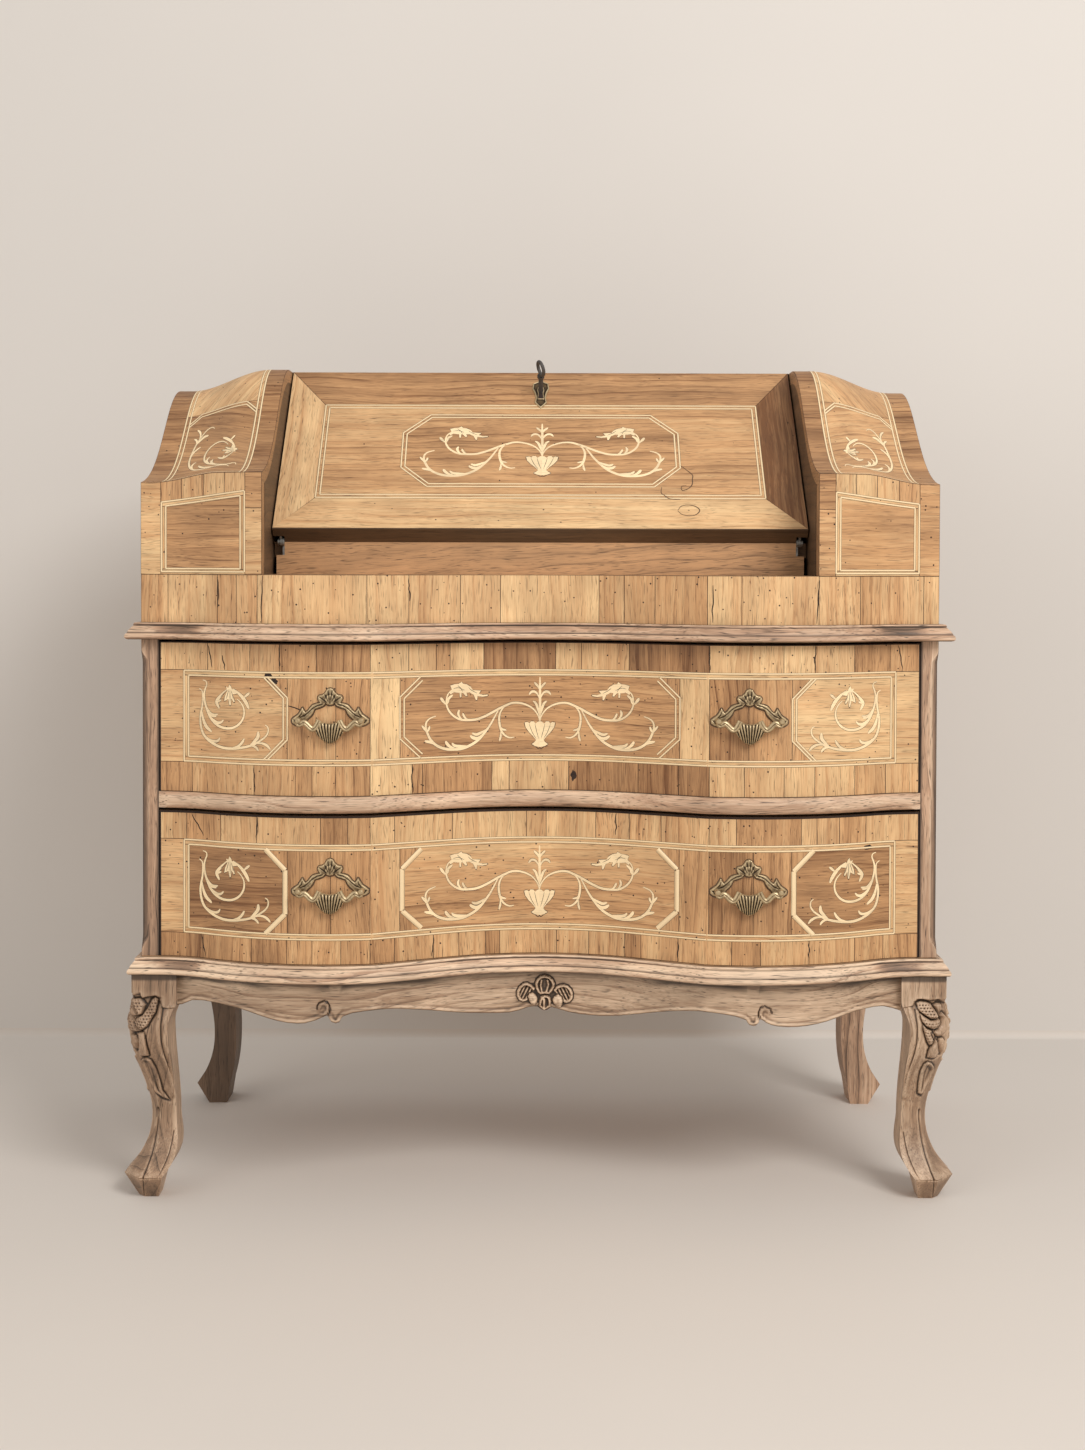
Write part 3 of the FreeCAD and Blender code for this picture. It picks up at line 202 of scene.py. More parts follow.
def wear_and_shade_of(tree, label):
    """The tone, in places painted light and shade, and the soiling and painted shade that a mesh carries,
    each by its label.
    """
    return add(tree, "ShaderNodeAttribute", attribute_name=label).outputs["Fac"]


def ramped(tree, value, foot, dark, middle, light):
    """A colour that goes from dark, at a value's foot, to light."""
    ramp = add(tree, "ShaderNodeValToRGB", {"Fac": value})
    stops = ramp.color_ramp.elements
    stops[0].position, stops[1].position = foot, 1.0
    stops[0].color, stops[1].color = (*dark, 1), (*light, 1)
    stops.new(0.5).color = (*middle, 1)
    return ramp.outputs["Color"]


def overlaid(tree, share, ground, cover):
    """A ground colour with a share of it covered."""
    return add(tree, "ShaderNodeMix", {0: share, 6: ground, 7: (*cover, 1)}, data_type="RGBA").outputs[2]


def dress(tree, shader, shade, rough, height, strength, deep):
    """Give a shader its colour, its gloss and its bumps."""
    bump = add(tree, "ShaderNodeBump", {"Height": height, "Strength": strength, "Distance": deep})
    for socket, source in (("Base Color", shade), ("Roughness", rough), ("Normal", bump.outputs[0])):
        tree.links.new(source, shader.inputs[socket])


def wood(name, dark, middle, light, turn=None, figure=1.0, rough=0.55, spread=(1, 1, 1)):
    """Wood cut along the grain: growth rings, streaks and fibres drawn out along it, dark pores.

    The grain follows the piece's own map, or the object's axes after a turn, spread where it follows
    a bent piece. Each leaf's tone makes it darker or lighter, in places as painted light and shade,
    and the soiling and painted shade that a mesh carries darken it.
    """
    tree, shader = blank(name)
    if turn is None:
        place = add(tree, "ShaderNodeUVMap", uv_map="grain").outputs["UV"]
    else:
        place = add(tree, "ShaderNodeMapping",
                    {"Vector": own_space(tree), "Rotation": turn, "Scale": spread}).outputs["Vector"]
    # The grain wanders by about 9 mm over 150 mm of its length
    sway = noise(tree, place, (6, 15, 15), 2.0)
    lean = vectors(tree, "SUBTRACT", sway.outputs["Color"], (0.5, 0.5, 0.5))
    bent = vectors(tree, "ADD", place, vectors(tree, "MULTIPLY", lean, (0.0, 0.018, 0.018)))
    # Bands 30 mm, streaks 6 mm and fibres 1.4 mm wide, each some thirty times as long
    value = 0.0
    for along, across, weight in ((1.1, 34, 0.44), (4, 165, 0.25), (14, 720, 0.31)):
        fibre = noise(tree, bent, (along, across, across), 2.0, 0.6).outputs["Fac"]
        value = scaled(tree, fibre, weight, value)
    # Growth rings about 9 mm apart, dark at their late side, here strong and there faint
    ring_place = add(tree, "ShaderNodeMapping",
                     {"Vector": bent, "Rotation": (0.7, 0, 0), "Scale": (0.14, 1, 1)})
    rings = add(tree, "ShaderNodeTexWave",
                {"Vector": ring_place.outputs[0], "Scale": 34.0, "Distortion": 5.0, "Detail": 2.0,
                 "Detail Scale": 0.55}, bands_direction="Y", wave_profile="SAW")
    late = add(tree, "ShaderNodeMath", {0: rings.outputs["Fac"], 1: 7.0}, operation="POWER").outputs[0]
    faint = ranged(tree, sway.outputs["Fac"], 0.0, -0.4 * figure, 0.38, 0.62)
    toned = scaled(tree, wear_and_shade_of(tree, "tone"), 0.5, 0.53 - 0.8 * figure)
    streaked = scaled(tree, value, 1.6 * figure, toned)
    ground = ramped(tree, scaled(tree, late, faint, streaked), 0.0, dark, middle, light)
    # Pores are fine dark pits along the grain
    pit = ranged(tree, noise(tree, bent, (45, 1100, 1100), 1.0).outputs["Fac"], 0.0, 0.7 * figure, 0.58, 0.74)
    shade = [part * 0.45 for part in dark]
    pitted = overlaid(tree, pit, ground, shade)
    # Light bleached the wood in blotches some 50 mm wide
    fade = ranged(tree, noise(tree, place, (14, 24, 24), 4.0).outputs["Fac"], 0.84, 1.1, 0.35, 0.7)
    faded = vectors(tree, "SCALE", pitted, fade, "Scale")
    # Soiling and painted shade from the mesh darken the wood
    dress(tree, shader, overlaid(tree, wear_and_shade_of(tree, "dirt"), faded, shade),
          ranged(tree, fibre, rough - 0.1, rough + 0.14), scaled(tree, pit, -0.8, fibre), 0.22, 0.0006)


def metal(name, ground, worn, rough, spots):
    """Old metal: a dull ground, lighter on ridges by rubbing and painted highlight, darker in hollows by
    old soiling, on undersides and round its foot by painted shade, with dark spots of soil.
    """
    tree, shader = blank(name)
    mottle = noise(tree, own_space(tree), (spots, spots, spots), 5.0).outputs["Fac"]
    mixed = scaled(tree, mottle, 0.75, scaled(tree, wear_and_shade_of(tree, "tone"), 0.5, 0.12))
    skin = ramped(tree, mixed, 0.15, [part * 0.3 for part in ground], ground, worn)
    soiled_and_shaded = overlaid(tree, wear_and_shade_of(tree, "dirt"), skin, [part * 0.12 for part in ground])
    shader.inputs["Metallic"].default_value = 0.6
    dress(tree, shader, soiled_and_shaded, ranged(tree, mixed, rough + 0.15, rough - 0.1), mottle, 0.3, 0.0004)


def plain(name, shade):
    """Matt painted board of the studio, with a faint unevenness, clear when seen from its back."""
    tree, shader = blank(name)
    cloud = noise(tree, own_space(tree), (1.3, 1.3, 1.3), 3.0).outputs["Fac"]
    uneven = vectors(tree, "SCALE", shade, ranged(tree, cloud, 0.96, 1.04), "Scale")
    tree.links.new(uneven, shader.inputs["Base Color"])
    shader.inputs["Roughness"].default_value = 0.85
    clear = add(tree, "ShaderNodeBsdfTransparent").outputs[0]
    back = add(tree, "ShaderNodeNewGeometry").outputs["Backfacing"]
    board = add(tree, "ShaderNodeMixShader", {0: back, 1: shader.outputs[0], 2: clear})
    tree.links.new(board.outputs[0], tree.nodes["Material Output"].inputs["Surface"])


def shades(shade, *factors):
    """A colour made darker or lighter by each factor."""
    return [[min(part * factor, 1.0) for part in shade] for factor in factors]


def finish_of(name):
    return bpy.data.materials[name]


QUARTER = math.pi / 2


def make_finishes():
    """Every finish of the desk, by the name of the real one."""
    tint = colours()
    along = {"x": (0, 0, 0), "y": (0, 0, QUARTER), "z": (0, QUARTER, 0)}
    bent_front = (1, 0.2, 1)
    # Sliced walnut leaves, sanded and faded by light: honey ground, brown streaks, satin
    wood("faded_walnut_veneer", tint.walnut_dark, tint.walnut_middle, tint.walnut_light)
    # Maple strings and scrolls: pale, close-grained, yellowed by old polish
    wood("yellowed_maple_inlay", *shades(tint.inlay, 0.62, 1, 1.1), figure=0.5)
    # Solid walnut mouldings and posts, bleached to a pinkish grey, grain along the piece
    for label, turn in along.items():
        wood(f"bleached_walnut_moulding_{label}", *shades(tint.moulding, 0.2, 0.88), tint.bleached, turn,
             1.35, spread=bent_front if label == "x" else (1, 1, 1))
    for label in "xy":
        # Plain planed boards of the inside and the sides, darker and duller
        wood(f"planed_walnut_{label}", *shades(tint.inside, 0.4, 1, 1.4), along[label], 1.1)
        # Brown-black walnut of edges and inner sides: soot and soiling from hands, and painted shade where
        # they face away from the light
        wood(f"grimy_walnut_{label}", *shades(tint.inside, 0.1, 0.3, 0.7), along[label], 0.8)
        # Knotty pine of drawer sides and back, gone brown with age
        wood(f"aged_pine_{label}", *shades(tint.softwood, 0.45, 1, 1.25), along[label], 0.9, 0.7)
    # Old plank with the marks of strong figure, between the cheeks
    wood("figured_walnut_plank", *shades(tint.inside, 0.35, 1.35, 1.9), (0, 0.06, 0), 1.2)
    # Carved walnut, stripped and bleached: greyish; its mesh darkens hollows and undersides with soiling and
    # painted shade
    ridges = shades(tint.bleached, 0.95)
    wood("bleached_walnut_carving", *shades(tint.carving, 0.2, 0.88), *ridges, along["z"], 1.0, 0.5)
    wood("bleached_walnut_apron", *shades(tint.carving, 0.2, 0.86), *ridges, along["x"], 1.1, 0.5, bent_front)
    # A darker copy of the carved walnut for the back leg that stands in shadow: painted shade
    wood("stained_walnut_carving", *shades(tint.carving, 0.12, 0.36, 0.75), along["z"], 1.0, 0.5)
    # Worm-holes, cracks and scorched spots: nearly black, matt; the same black makes the painted shadow along
    # the drawers' edges and in the keyhole
    wood("charred_wood", *shades(tint.gap, 0.4, 1, 1.8), along["x"], 0.8, 0.85)
    # Cast brass with its lacquer gone: brown in the hollows, yellow-grey on the ridges
    metal("aged_cast_brass", tint.brass, tint.brass_worn, 0.48, 260.0)
    # Forged iron with a thin dark skin
    metal("blackened_iron", tint.iron, *shades(tint.iron, 3.0), 0.5, 220.0)
    # Filed steel of the fall's hinges, rubbed bright
    metal("rubbed_steel", srgb("#8b8983"), srgb("#d8d6cf"), 0.35, 200.0)
    plain("studio_floor", tint.floor)
    plain("studio_wall", tint.wall)


# Surfaces that carry veneer and inlay: millimetres on the surface and a lift in metres, to a point

class FrontLine:
    """The serpentine front in plan, moved forward by an offset, as the boards are cut."""

    def __init__(self, offset=0.0):
        size = sizes()
        crest, rise = size.swell_x, size.swell_depth
        self.offset = offset
        self.end_x = size.half_case - size.end_flat
        run = self.end_x - crest
        total = (run ** 2 + rise ** 2) / (2 * rise)
        swell = size.swell_share * total
        turn = 2 * math.atan2(rise, run)
        self.swell_centre = Vector((crest, rise - swell))
        self.swell_radius = swell + offset
        self.turn_x = crest + self.swell_radius * math.sin(turn)
        self.return_height = total - swell
        self.return_radius = total - swell - offset
        flank = size.flank_angle
        crease_rise = rise - swell + math.sqrt(swell ** 2 - (crest - size.crease_x) ** 2) + size.hollow_depth
        arc_end = (size.crease_x * math.tan(flank) - crease_rise) / (math.tan(flank) - math.tan(flank / 2))
        radius = arc_end / math.sin(flank)
        self.hollow_height = radius - size.hollow_depth
        self.hollow_radius = radius - offset
        self.hollow_x = self.hollow_radius * math.sin(flank)
        foot = Vector((self.hollow_x, self.hollow_height - self.hollow_radius * math.cos(flank)))
        self.flank_foot, self.flank_slope = foot, math.tan(flank)
        along = Vector((math.cos(flank), math.sin(flank)))
        gap = foot - self.swell_centre
        lead = gap.dot(along)
        spread = math.sqrt(lead ** 2 - gap.dot(gap) + self.swell_radius ** 2)
        meets = [foot.x + along.x * (root - lead) for root in (-spread, spread)]
        self.crease_x = min(meets, key=lambda x: abs(x - size.crease_x))

    def forward(self, x):
        """How far the line stands in front of the posts' plane at X."""
        x = abs(x)
        if x <= self.hollow_x:
            return self.hollow_height - math.sqrt(self.hollow_radius ** 2 - x ** 2)
        if x <= self.crease_x:
            return self.flank_foot.y + (x - self.flank_foot.x) * self.flank_slope
        if x <= self.turn_x:
            return self.swell_centre.y + math.sqrt(self.swell_radius ** 2 - (x - self.swell_centre.x) ** 2)
        if x <= self.end_x:
            return self.return_height - math.sqrt(self.return_radius ** 2 - (x - self.end_x) ** 2)
        return self.offset

    def point(self, x, z):
        return Vector((x, sizes().front_y - self.forward(x), z))


def serpentine_face(offset=0.0):
    """The front: X and Z."""
    line = FrontLine(offset)

    def at(u, v, lift):
        return line.point(u * MM, v * MM) + FRONT * lift
    return at


# The fall: its pivot, its directions up and out, its halves and lengths, its panel and the rise of both
PIVOT_Y, PIVOT_Z = -134.5, 790.5
SLOPE = Vector((0, 0.6858, 0.7278))
OUTWARD = Vector((0, -0.7278, 0.6858))
FALL_HALF, FALL_LENGTH = 326.5, 288.4
PANEL_HALF, PANEL_LOW, PANEL_HIGH = 280.5, 58.0, 230.4
PANEL_RISE, RIM_RISE = 18.0, 23.0


def fall_face(u, v, lift):
    """The fall's show side: X and distance up the slope; the frame dips to the panel."""
    out = max(0.0, (abs(u) - PANEL_HALF) / (FALL_HALF - PANEL_HALF), (PANEL_LOW - v) / PANEL_LOW,
              (v - PANEL_HIGH) / (FALL_LENGTH - PANEL_HIGH))
    rise = PANEL_RISE + (RIM_RISE - PANEL_RISE) * out + lift / MM
    return (Vector((u, PIVOT_Y, PIVOT_Z)) + SLOPE * v + OUTWARD * rise) * MM


LEDGE_Z, TOP_Z = 751.0, 1016.16
INNER_X, HALF_CASE = 328.5, 479.5
CHEEK_INNER, CHEEK_OUTER = 121.0, 110.0
# A cheek's edge starts to fall this far from its inner side, and its slope; both end before the outer side
LIP_START, SLOPE_START, OUTER_FLAT = 57, 23, 16
# The shoulder's head: its depth behind the posts, and how it moves back and down towards the outer side
HEAD_DEPTH, HEAD_BACK, HEAD_DROP = 200, 49, 24
# Poles of the ogee, as shares of its run and its climb
OGEE_POLES = ((0.5, 0.1), (0.62, 0.97))
OGEE_LENGTH, OGEE_STEPS, OGEE_POINTS = 260.0, 40, 60


def eased(x, start, end):
    share = min(max((x - start) / (end - start), 0), 1)
    return share * share * (3 - 2 * share)


def lip_height(x):
    """Height of a cheek's front edge at X, in millimetres."""
    share = eased(abs(x), INNER_X + LIP_START, HALF_CASE - OUTER_FLAT)
    return LEDGE_Z + CHEEK_INNER + (CHEEK_OUTER - CHEEK_INNER) * share


def shoulder_line(x):
    """Points of the shoulder's section at X, evenly spaced, in millimetres."""
    share = eased(abs(x), INNER_X + SLOPE_START, HALF_CASE - OUTER_FLAT)
    front_y = sizes().front_y / MM
    foot = FrontLine(MM).point(x * MM, lip_height(x) * MM) / MM
    head = Vector((x, front_y + HEAD_DEPTH + HEAD_BACK * share, TOP_Z - HEAD_DROP * share))
    run, climb = head.y - foot.y, head.z - foot.z
    poles = [foot + Vector((0, back * run, up * climb)) for back, up in OGEE_POLES]
    dense = geometry.interpolate_bezier(foot, *poles, head, OGEE_POINTS)
    walk = [0.0]
    for first, last in zip(dense, dense[1:]):
        walk.append(walk[-1] + (last - first).length)
    points, place = [], 0
    for step in range(OGEE_STEPS + 1):
        want = walk[-1] * step / OGEE_STEPS
        while place < len(walk) - 2 and walk[place + 1] < want:
            place += 1
        share = (want - walk[place]) / (walk[place + 1] - walk[place])
        points.append(dense[place].lerp(dense[place + 1], share))
    return points


SHOULDER_LINES = {}


def shoulder_face(u, v, lift):
    """A shoulder: X and distance up the ogee, then back over the flat top."""
    key = round(u, 3)
    if key not in SHOULDER_LINES:
        SHOULDER_LINES[key] = shoulder_line(u)
    points = SHOULDER_LINES[key]
    share = v / OGEE_LENGTH * OGEE_STEPS
    if share >= OGEE_STEPS:
        place = points[-1] + Vector((0, v - OGEE_LENGTH, 0))
        return (place + UP * lift / MM) * MM
    low = max(int(share), 0)
    along = (points[low + 1] - points[low]).normalized()
    outward = Vector((0, -along.z, along.y))
    return (points[low].lerp(points[low + 1], share - low) + outward * lift / MM) * MM


# Veneer and inlay

# How much of the veneer's thickness the glue in its joints fills
GLUE_SHARE = 0.3
# Steps across a surface that carries fine relief
FINE = (0.6, 0.6)


def trimmed(outline, axis, limit, sign):
    """A convex outline cut off at a line across one axis."""
    kept = []
    for first, last in zip(outline, outline[1:] + outline[:1]):
        a, b = (sign * (point[axis] - limit) for point in (first, last))
        if a >= 0:
            kept.append(first)
        if (a > 1e-9 and b < -1e-9) or (a < -1e-9 and b > 1e-9):
            share = a / (a - b)
            kept.append(tuple(p + (q - p) * share for p, q in zip(first, last)))
    return kept


def strips(outlines, axis, step):
    """Convex outlines cut into strips of one width."""
    cut = []
    for outline in outlines:
        low, high = (pick(point[axis] for point in outline) for pick in (min, max))
        for i in range(math.floor(low / step), math.ceil(high / step)):
            strip = trimmed(trimmed(outline, axis, i * step, 1), axis, (i + 1) * step, -1)
            if len(strip) > 2:
                cut.append(strip)
    return cut


def oblong(left, right, low, high):
    return [(left, low), (right, low), (right, high), (left, high)]


def side_oblong(side, first, last, low, high):
    """An oblong on one side, between two distances from the middle."""
    return oblong(*sorted((side * first, side * last)), low, high)


def mirrored(side, outline):
    """An outline of the right half on either side, with its corners anticlockwise."""
    return turned_right([(side * x, z) for x, z in outline])


def shrunk(outline, inset):
    """A convex outline drawn in on every side."""
    lines = []
    for first, last in zip(outline, outline[1:] + outline[:1]):
        edge = Vector(last) - Vector(first)
        inward = Vector((-edge.y, edge.x)).normalized() * inset
        lines.append((Vector(first) + inward, Vector(last) + inward))
    corners = []
    for before, after in zip(lines[-1:] + lines[:-1], lines):
        meet = geometry.intersect_line_line(*[point.to_3d() for point in before + after])
        corners.append(tuple(meet[0].xy) if meet else tuple(after[0]))
    return corners


class Leaves:
    """Thin pieces of wood cut to outlines and laid on a surface, as one mesh."""

    def __init__(self, surface, steps=(6.0, None), seed=1):
        self.surface, self.steps = surface, steps
        self.points, self.faces, self.grain, self.tones, self.shown = [], [], [], [], []
        self.lifts, self.leaves = [], []
        self.chance = random.Random(seed)

    def lay(self, outlines, angle=0.0, tone=0.0, thick=None, cut=True):
        """One piece made of convex outlines that share corners; the grain runs at an angle."""
        for axis, step in enumerate(self.steps):
            if cut and step:
                outlines = strips(outlines, axis, step)
        places, tops = {}, []
        for outline in outlines:
            face = [places.setdefault((round(u, 4), round(v, 4)), len(places)) for u, v in outline]
            face = [now for before, now in zip(face[-1:] + face[:-1], face) if now != before]
            if len(face) > 2:
                tops.append(face)
        rims = {}
        for face in tops:
            for pair in zip(face, face[1:] + face[:1]):
                rims[pair] = pair[::-1] in rims or rims.get(pair, False)
        edges = [pair for pair in rims if pair[::-1] not in rims]
        base, count = len(self.points), len(places)
        thick = sizes().veneer if thick is None else thick
        spots = np.array(list(places))
        lifts = thick(spots) * MM if callable(thick) else np.full(count, thick)
        self.points += [self.surface(u, v, lift) for (u, v), lift in zip(places, lifts)]
        self.points += [self.surface(u, v, 0.0) for u, v in places]
        self.lifts += list(lifts / MM) + [0.0] * count
        across, along = math.sin(angle), math.cos(angle)
        shift = self.chance.random() * 9, self.chance.random() * 9
        for _ in range(2):
            self.grain += [((u * along + v * across) * MM + shift[0],
                            (v * along - u * across) * MM + shift[1]) for u, v in places]
        for face in tops:
            self.faces.append([base + i for i in face])
            self.faces.append([base + count + i for i in reversed(face)])
            self.shown += [1.0, 0.0]
        self.shown += [0.0] * len(edges)
        for a, b in edges:
            self.faces.append([base + b, base + a, base + count + a, base + count + b])
        self.tones += [tone] * (2 * len(tops) + len(edges))

    def leaf(self, outline, angle=0.0, tone=0.0, thick=None):
        """One convex leaf of veneer with a fine joint round it."""
        self.lay([shrunk(outline, sizes().joint / MM)], angle, tone, thick)
        self.leaves.append(outline)

    def row(self, start, blocks, low, high, angle=QUARTER):
        """Leaves side by side, each given by its right end and its tone."""
        for end, tone in blocks:
            self.leaf(oblong(start, end, low, high), angle, tone)
            start = end

    def stroke(self, points, width, thick, place, peak=0.5):
        """A line of inlay through points, thin at its ends and fullest at a share of its length."""
        dense = smooth_line(points, 1.6)
        count = len(dense) - 1
        left, right = [], []
        for i, point in enumerate(dense):
            ahead = dense[min(i + 1, count)] - dense[max(i - 1, 0)]
            walk = min(max(i / count, 0.01), 0.99) ** (math.log(0.5) / math.log(peak))
            swell = 0.3 + 0.7 * math.sin(math.pi * walk) ** 0.6
            aside = Vector((-ahead.y, ahead.x)).normalized() * width * swell / 2
            left.append(place(point + aside))
            right.append(place(point - aside))
        quads = [[right[i], right[i + 1], left[i + 1], left[i]] for i in range(count)]
        self.lay([turned_right(quad) for quad in quads], thick=thick, cut=False)

    def shape(self, outline, thick, place):
        """A filled piece of inlay of any outline."""
        corners = [Vector(point).to_3d() for point in outline]
        triangles = [[place(corners[i].xy) for i in triangle]
                     for triangle in geometry.tessellate_polygon([corners])]
        self.lay([turned_right(triangle) for triangle in triangles], thick=thick)

    def take(self, points, faces, lifts):
        """Make other points and faces a part of this mesh."""
        base = len(self.points)
        self.points += points
        self.lifts += lifts
        self.faces += [[base + i for i in face] for face in faces]

    def mesh(self, name):
        mesh = mesh_of(name, self.points, self.faces)
        mark(mesh, "lift", self.lifts)
        return mesh

    def piece(self, name, body, finish="faded_walnut_veneer", slot="walnut_veneer"):
        """The leaves as a piece of the desk, with dark glue in the joints between them."""
        mesh = self.mesh(name)
        layer = mesh.uv_layers.new(name="grain")
        for loop in mesh.loops:
            layer.data[loop.index].uv = self.grain[loop.vertex_index]
        mark(mesh, "tone", self.tones, "FACE")
        mark(mesh, "shown", self.shown, "FACE")
        if self.leaves:
            glue = Leaves(self.surface, self.steps)
            for outline in self.leaves:
                glue.lay([outline], thick=sizes().veneer * GLUE_SHARE)
            glue.piece(f"{name}_glue", body, "charred_wood", slot)
        placed(name, mesh, body, finish, slot)


def turned_right(outline):
    """The outline with its corners anticlockwise."""
    area = sum(a[0] * b[1] - b[0] * a[1] for a, b in zip(outline, outline[1:] + outline[:1]))
    return outline if area > 0 else outline[::-1]


def smooth_line(points, step):
    """Points evenly spaced on a smooth line through the given ones."""
    points = [Vector(point) for point in points]
    ends = [points[0] * 2 - points[1]] + points + [points[-1] * 2 - points[-2]]
    line = []
    for a, b, c, d in zip(ends, ends[1:], ends[2:], ends[3:]):
        parts = max(2, round((c - b).length / step))
        for i in range(parts):
            t = i / parts
            line.append(((b * 2) + (c - a) * t + (a * 2 - b * 5 + c * 4 - d) * t * t
                         + (b * 3 - a - c * 3 + d) * t ** 3) / 2)
    return line + [points[-1]]


def mesh_of(name, points, faces):
    mesh = bpy.data.meshes.new(name)
    mesh.from_pydata(points, [], faces)
    return mesh


def mark(mesh, label, values, domain="POINT"):
    """Give a mesh a named measure, one value for each point or face."""
    mesh.attributes.new(label, "FLOAT", domain).data.foreach_set("value", values)


def placed(name, mesh, body, finish, slot, *nodes):
    """A finished mesh as a piece of the desk that moves with a body."""
    mesh.update()
    piece = bpy.data.objects.new(name, mesh)
    bpy.context.scene.collection.objects.link(piece)
    if finish:
        mesh.materials.clear()
        mesh.materials.append(finish_of(finish))
    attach(piece, body)
    if nodes:
        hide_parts(*nodes)


def turned_out(mesh, crease):
    """An open copy of a mesh: corners merged, faces outwards, sharp where they turn more than the crease."""
    shell = bmesh.new()
    shell.from_mesh(mesh)
    bmesh.ops.remove_doubles(shell, verts=shell.verts, dist=1e-6)
    bmesh.ops.recalc_face_normals(shell, faces=shell.faces)
    for face in shell.faces:
        face.smooth = True
    for edge in shell.edges:
        edge.smooth = edge.calc_face_angle(0.0) < crease
    return shell


# Rounds of smoothing after which a carved shape is held against its smoothed one, and their weights
SMOOTHING = {5: 1.0, 35: 0.3, 109: 0.12}


def carved_piece(name, mesh, body, finish, slot, *nodes, depth=0.5, crease=0.65, foot=1.0, covered=None,
                 tone=0.0, rubbed_and_lit=0.25):
    """A carved or cast mesh as a piece: its hollows darker by soiling and painted shade, its ridges
    lighter by rubbing and painted highlight.

    Hollows and ridges are where the shape lies below or above its own smoothed shape, and the depth
    in millimetres is where they are fully dark or light. Undersides get painted shade, what lies lower
    on its ground than the foot gets painted shadow, and so does what is higher than the height where
    the piece is covered. Ridges grow no lighter than a given limit, and the tone makes the whole piece
    lighter or darker.
    """
    shell = turned_out(mesh, crease)
    shell.normal_update()
    shell.verts.index_update()
    rest = np.array([corner.co for corner in shell.verts])
    outward = np.array([corner.normal for corner in shell.verts])
    pairs = np.array([[corner.index for corner in edge.verts] for edge in shell.edges])
    count = np.bincount(pairs.ravel(), minlength=len(rest))[:, None]
    smooth, rise = rest, 0.0
    for step in range(max(SMOOTHING) + 1):
        total = np.zeros_like(rest)
        np.add.at(total, pairs[:, 0], smooth[pairs[:, 1]])
        np.add.at(total, pairs[:, 1], smooth[pairs[:, 0]])
        smooth = 0.5 * smooth + 0.5 * total / count
        if step in SMOOTHING:
            rise = rise + SMOOTHING[step] * (np.einsum("ij,ij->i", rest - smooth, outward) / (depth * MM))
    # Faces that turn downwards get painted shade
    under = np.clip(-outward[:, 2] - 0.2, 0, 1)
    shell.to_mesh(mesh)
    shell.free()
    # Hollows darken with soiling and painted shade, undersides with painted shade
    dirt = np.clip(-0.8 * rise - 0.12 + 0.7 * under, 0, 0.8)
    # What lies low on its ground gets painted shadow at its foot
    if "lift" in mesh.attributes:
        lift = np.zeros(len(rest))
        mesh.attributes["lift"].data.foreach_get("value", lift)
        dirt = np.maximum(dirt, np.clip(0.9 - lift / foot, 0, 0.9))
    # What lies above the covered height gets painted shadow of the part over it
    if covered:
        dirt = np.maximum(dirt, 0.85 * rise_in(rest[:, 2] / MM - covered, 3.0))
    # Ridges lighter by rubbing and painted highlight, undersides darker by painted shade
    mark(mesh, "tone", np.clip(rise, -1, rubbed_and_lit) - under + tone)
    mark(mesh, "dirt", dirt)
    placed(name, mesh, body, finish, slot, *nodes)


# Relief of carving and casting: fields over points in millimetres

def gap_to(points, path):
    """Distance of each point to a line of straight runs."""
    best = np.full(len(points), 1e9)
    for first, last in zip(path, path[1:]):
        start = np.array(first, float)
        run = np.array(last, float) - start
        share = np.clip((points - start) @ run / max(run @ run, 1e-12), 0, 1)
        best = np.minimum(best, np.linalg.norm(points - start - share[:, None] * run, axis=1))
    return best


def depth_in(points, outline):
    """Distance of each point inside an outline, negative outside."""
    x, y = points.T
    inside = np.zeros(len(points), bool)
    for (ax, ay), (bx, by) in zip(outline, outline[1:] + outline[:1]):
        if ay != by:
            inside ^= ((ay > y) != (by > y)) & (x < (bx - ax) * (y - ay) / (by - ay) + ax)
    gap = gap_to(points, ring(outline))
    return np.where(inside, gap, -gap)


def rise_in(values, span):
    """A soft step from 0 to 1 over a span."""
    share = np.clip(values / span, 0, 1)
    return share * share * (3 - 2 * share)


def outlined(depth):
    """The V-cut that sets off a form along its outline."""
    return 1.8 * np.exp(-((depth + 0.6) / 1.5) ** 2)


def pillow(depth, span, height):
    """A rounded form that swells from its outline."""
    share = np.clip(depth / span, 0, 1)
    return height * np.sqrt(share * (2 - share))


def stipple(points, spacing):
    """Rows of small punch marks, 0 to 1 deep."""
    u, v = points.T / spacing
    u = u + 0.5 * (np.floor(v) % 2)
    gap = np.hypot(u - np.floor(u) - 0.5, v - np.floor(v) - 0.5)
    return np.clip(1 - gap / 0.42, 0, 1)


def loft(rings):
    """Points and faces of a closed skin over rings of points with the same count."""
    count = len(rings[0])
    points = [point for ring in rings for point in ring]
    faces = []
    for r in range(len(rings) - 1):
        for i in range(count):
            j = (i + 1) % count
            faces.append([r * count + i, r * count + j, (r + 1) * count + j, (r + 1) * count + i])
    faces.append(list(range(count))[::-1])
    faces.append(list(range((len(rings) - 1) * count, len(rings) * count)))
    return points, faces


def both_halves(outline):
    """A whole outline from its right half, which starts and ends in the middle."""
    return list(outline) + [(-x, z) for x, z in reversed(outline[1:-1])]


def even_halves(points):
    """Points with the left half folded onto the right one."""
    return np.column_stack((np.abs(points[:, 0]), points[:, 1]))


def joined(parts):
    """Several sets of points and faces as one."""
    points, faces = [], []
    for more, sides in parts:
        base = len(points)
        points += more
        faces += [[base + i for i in face] for face in sides]
    return points, faces


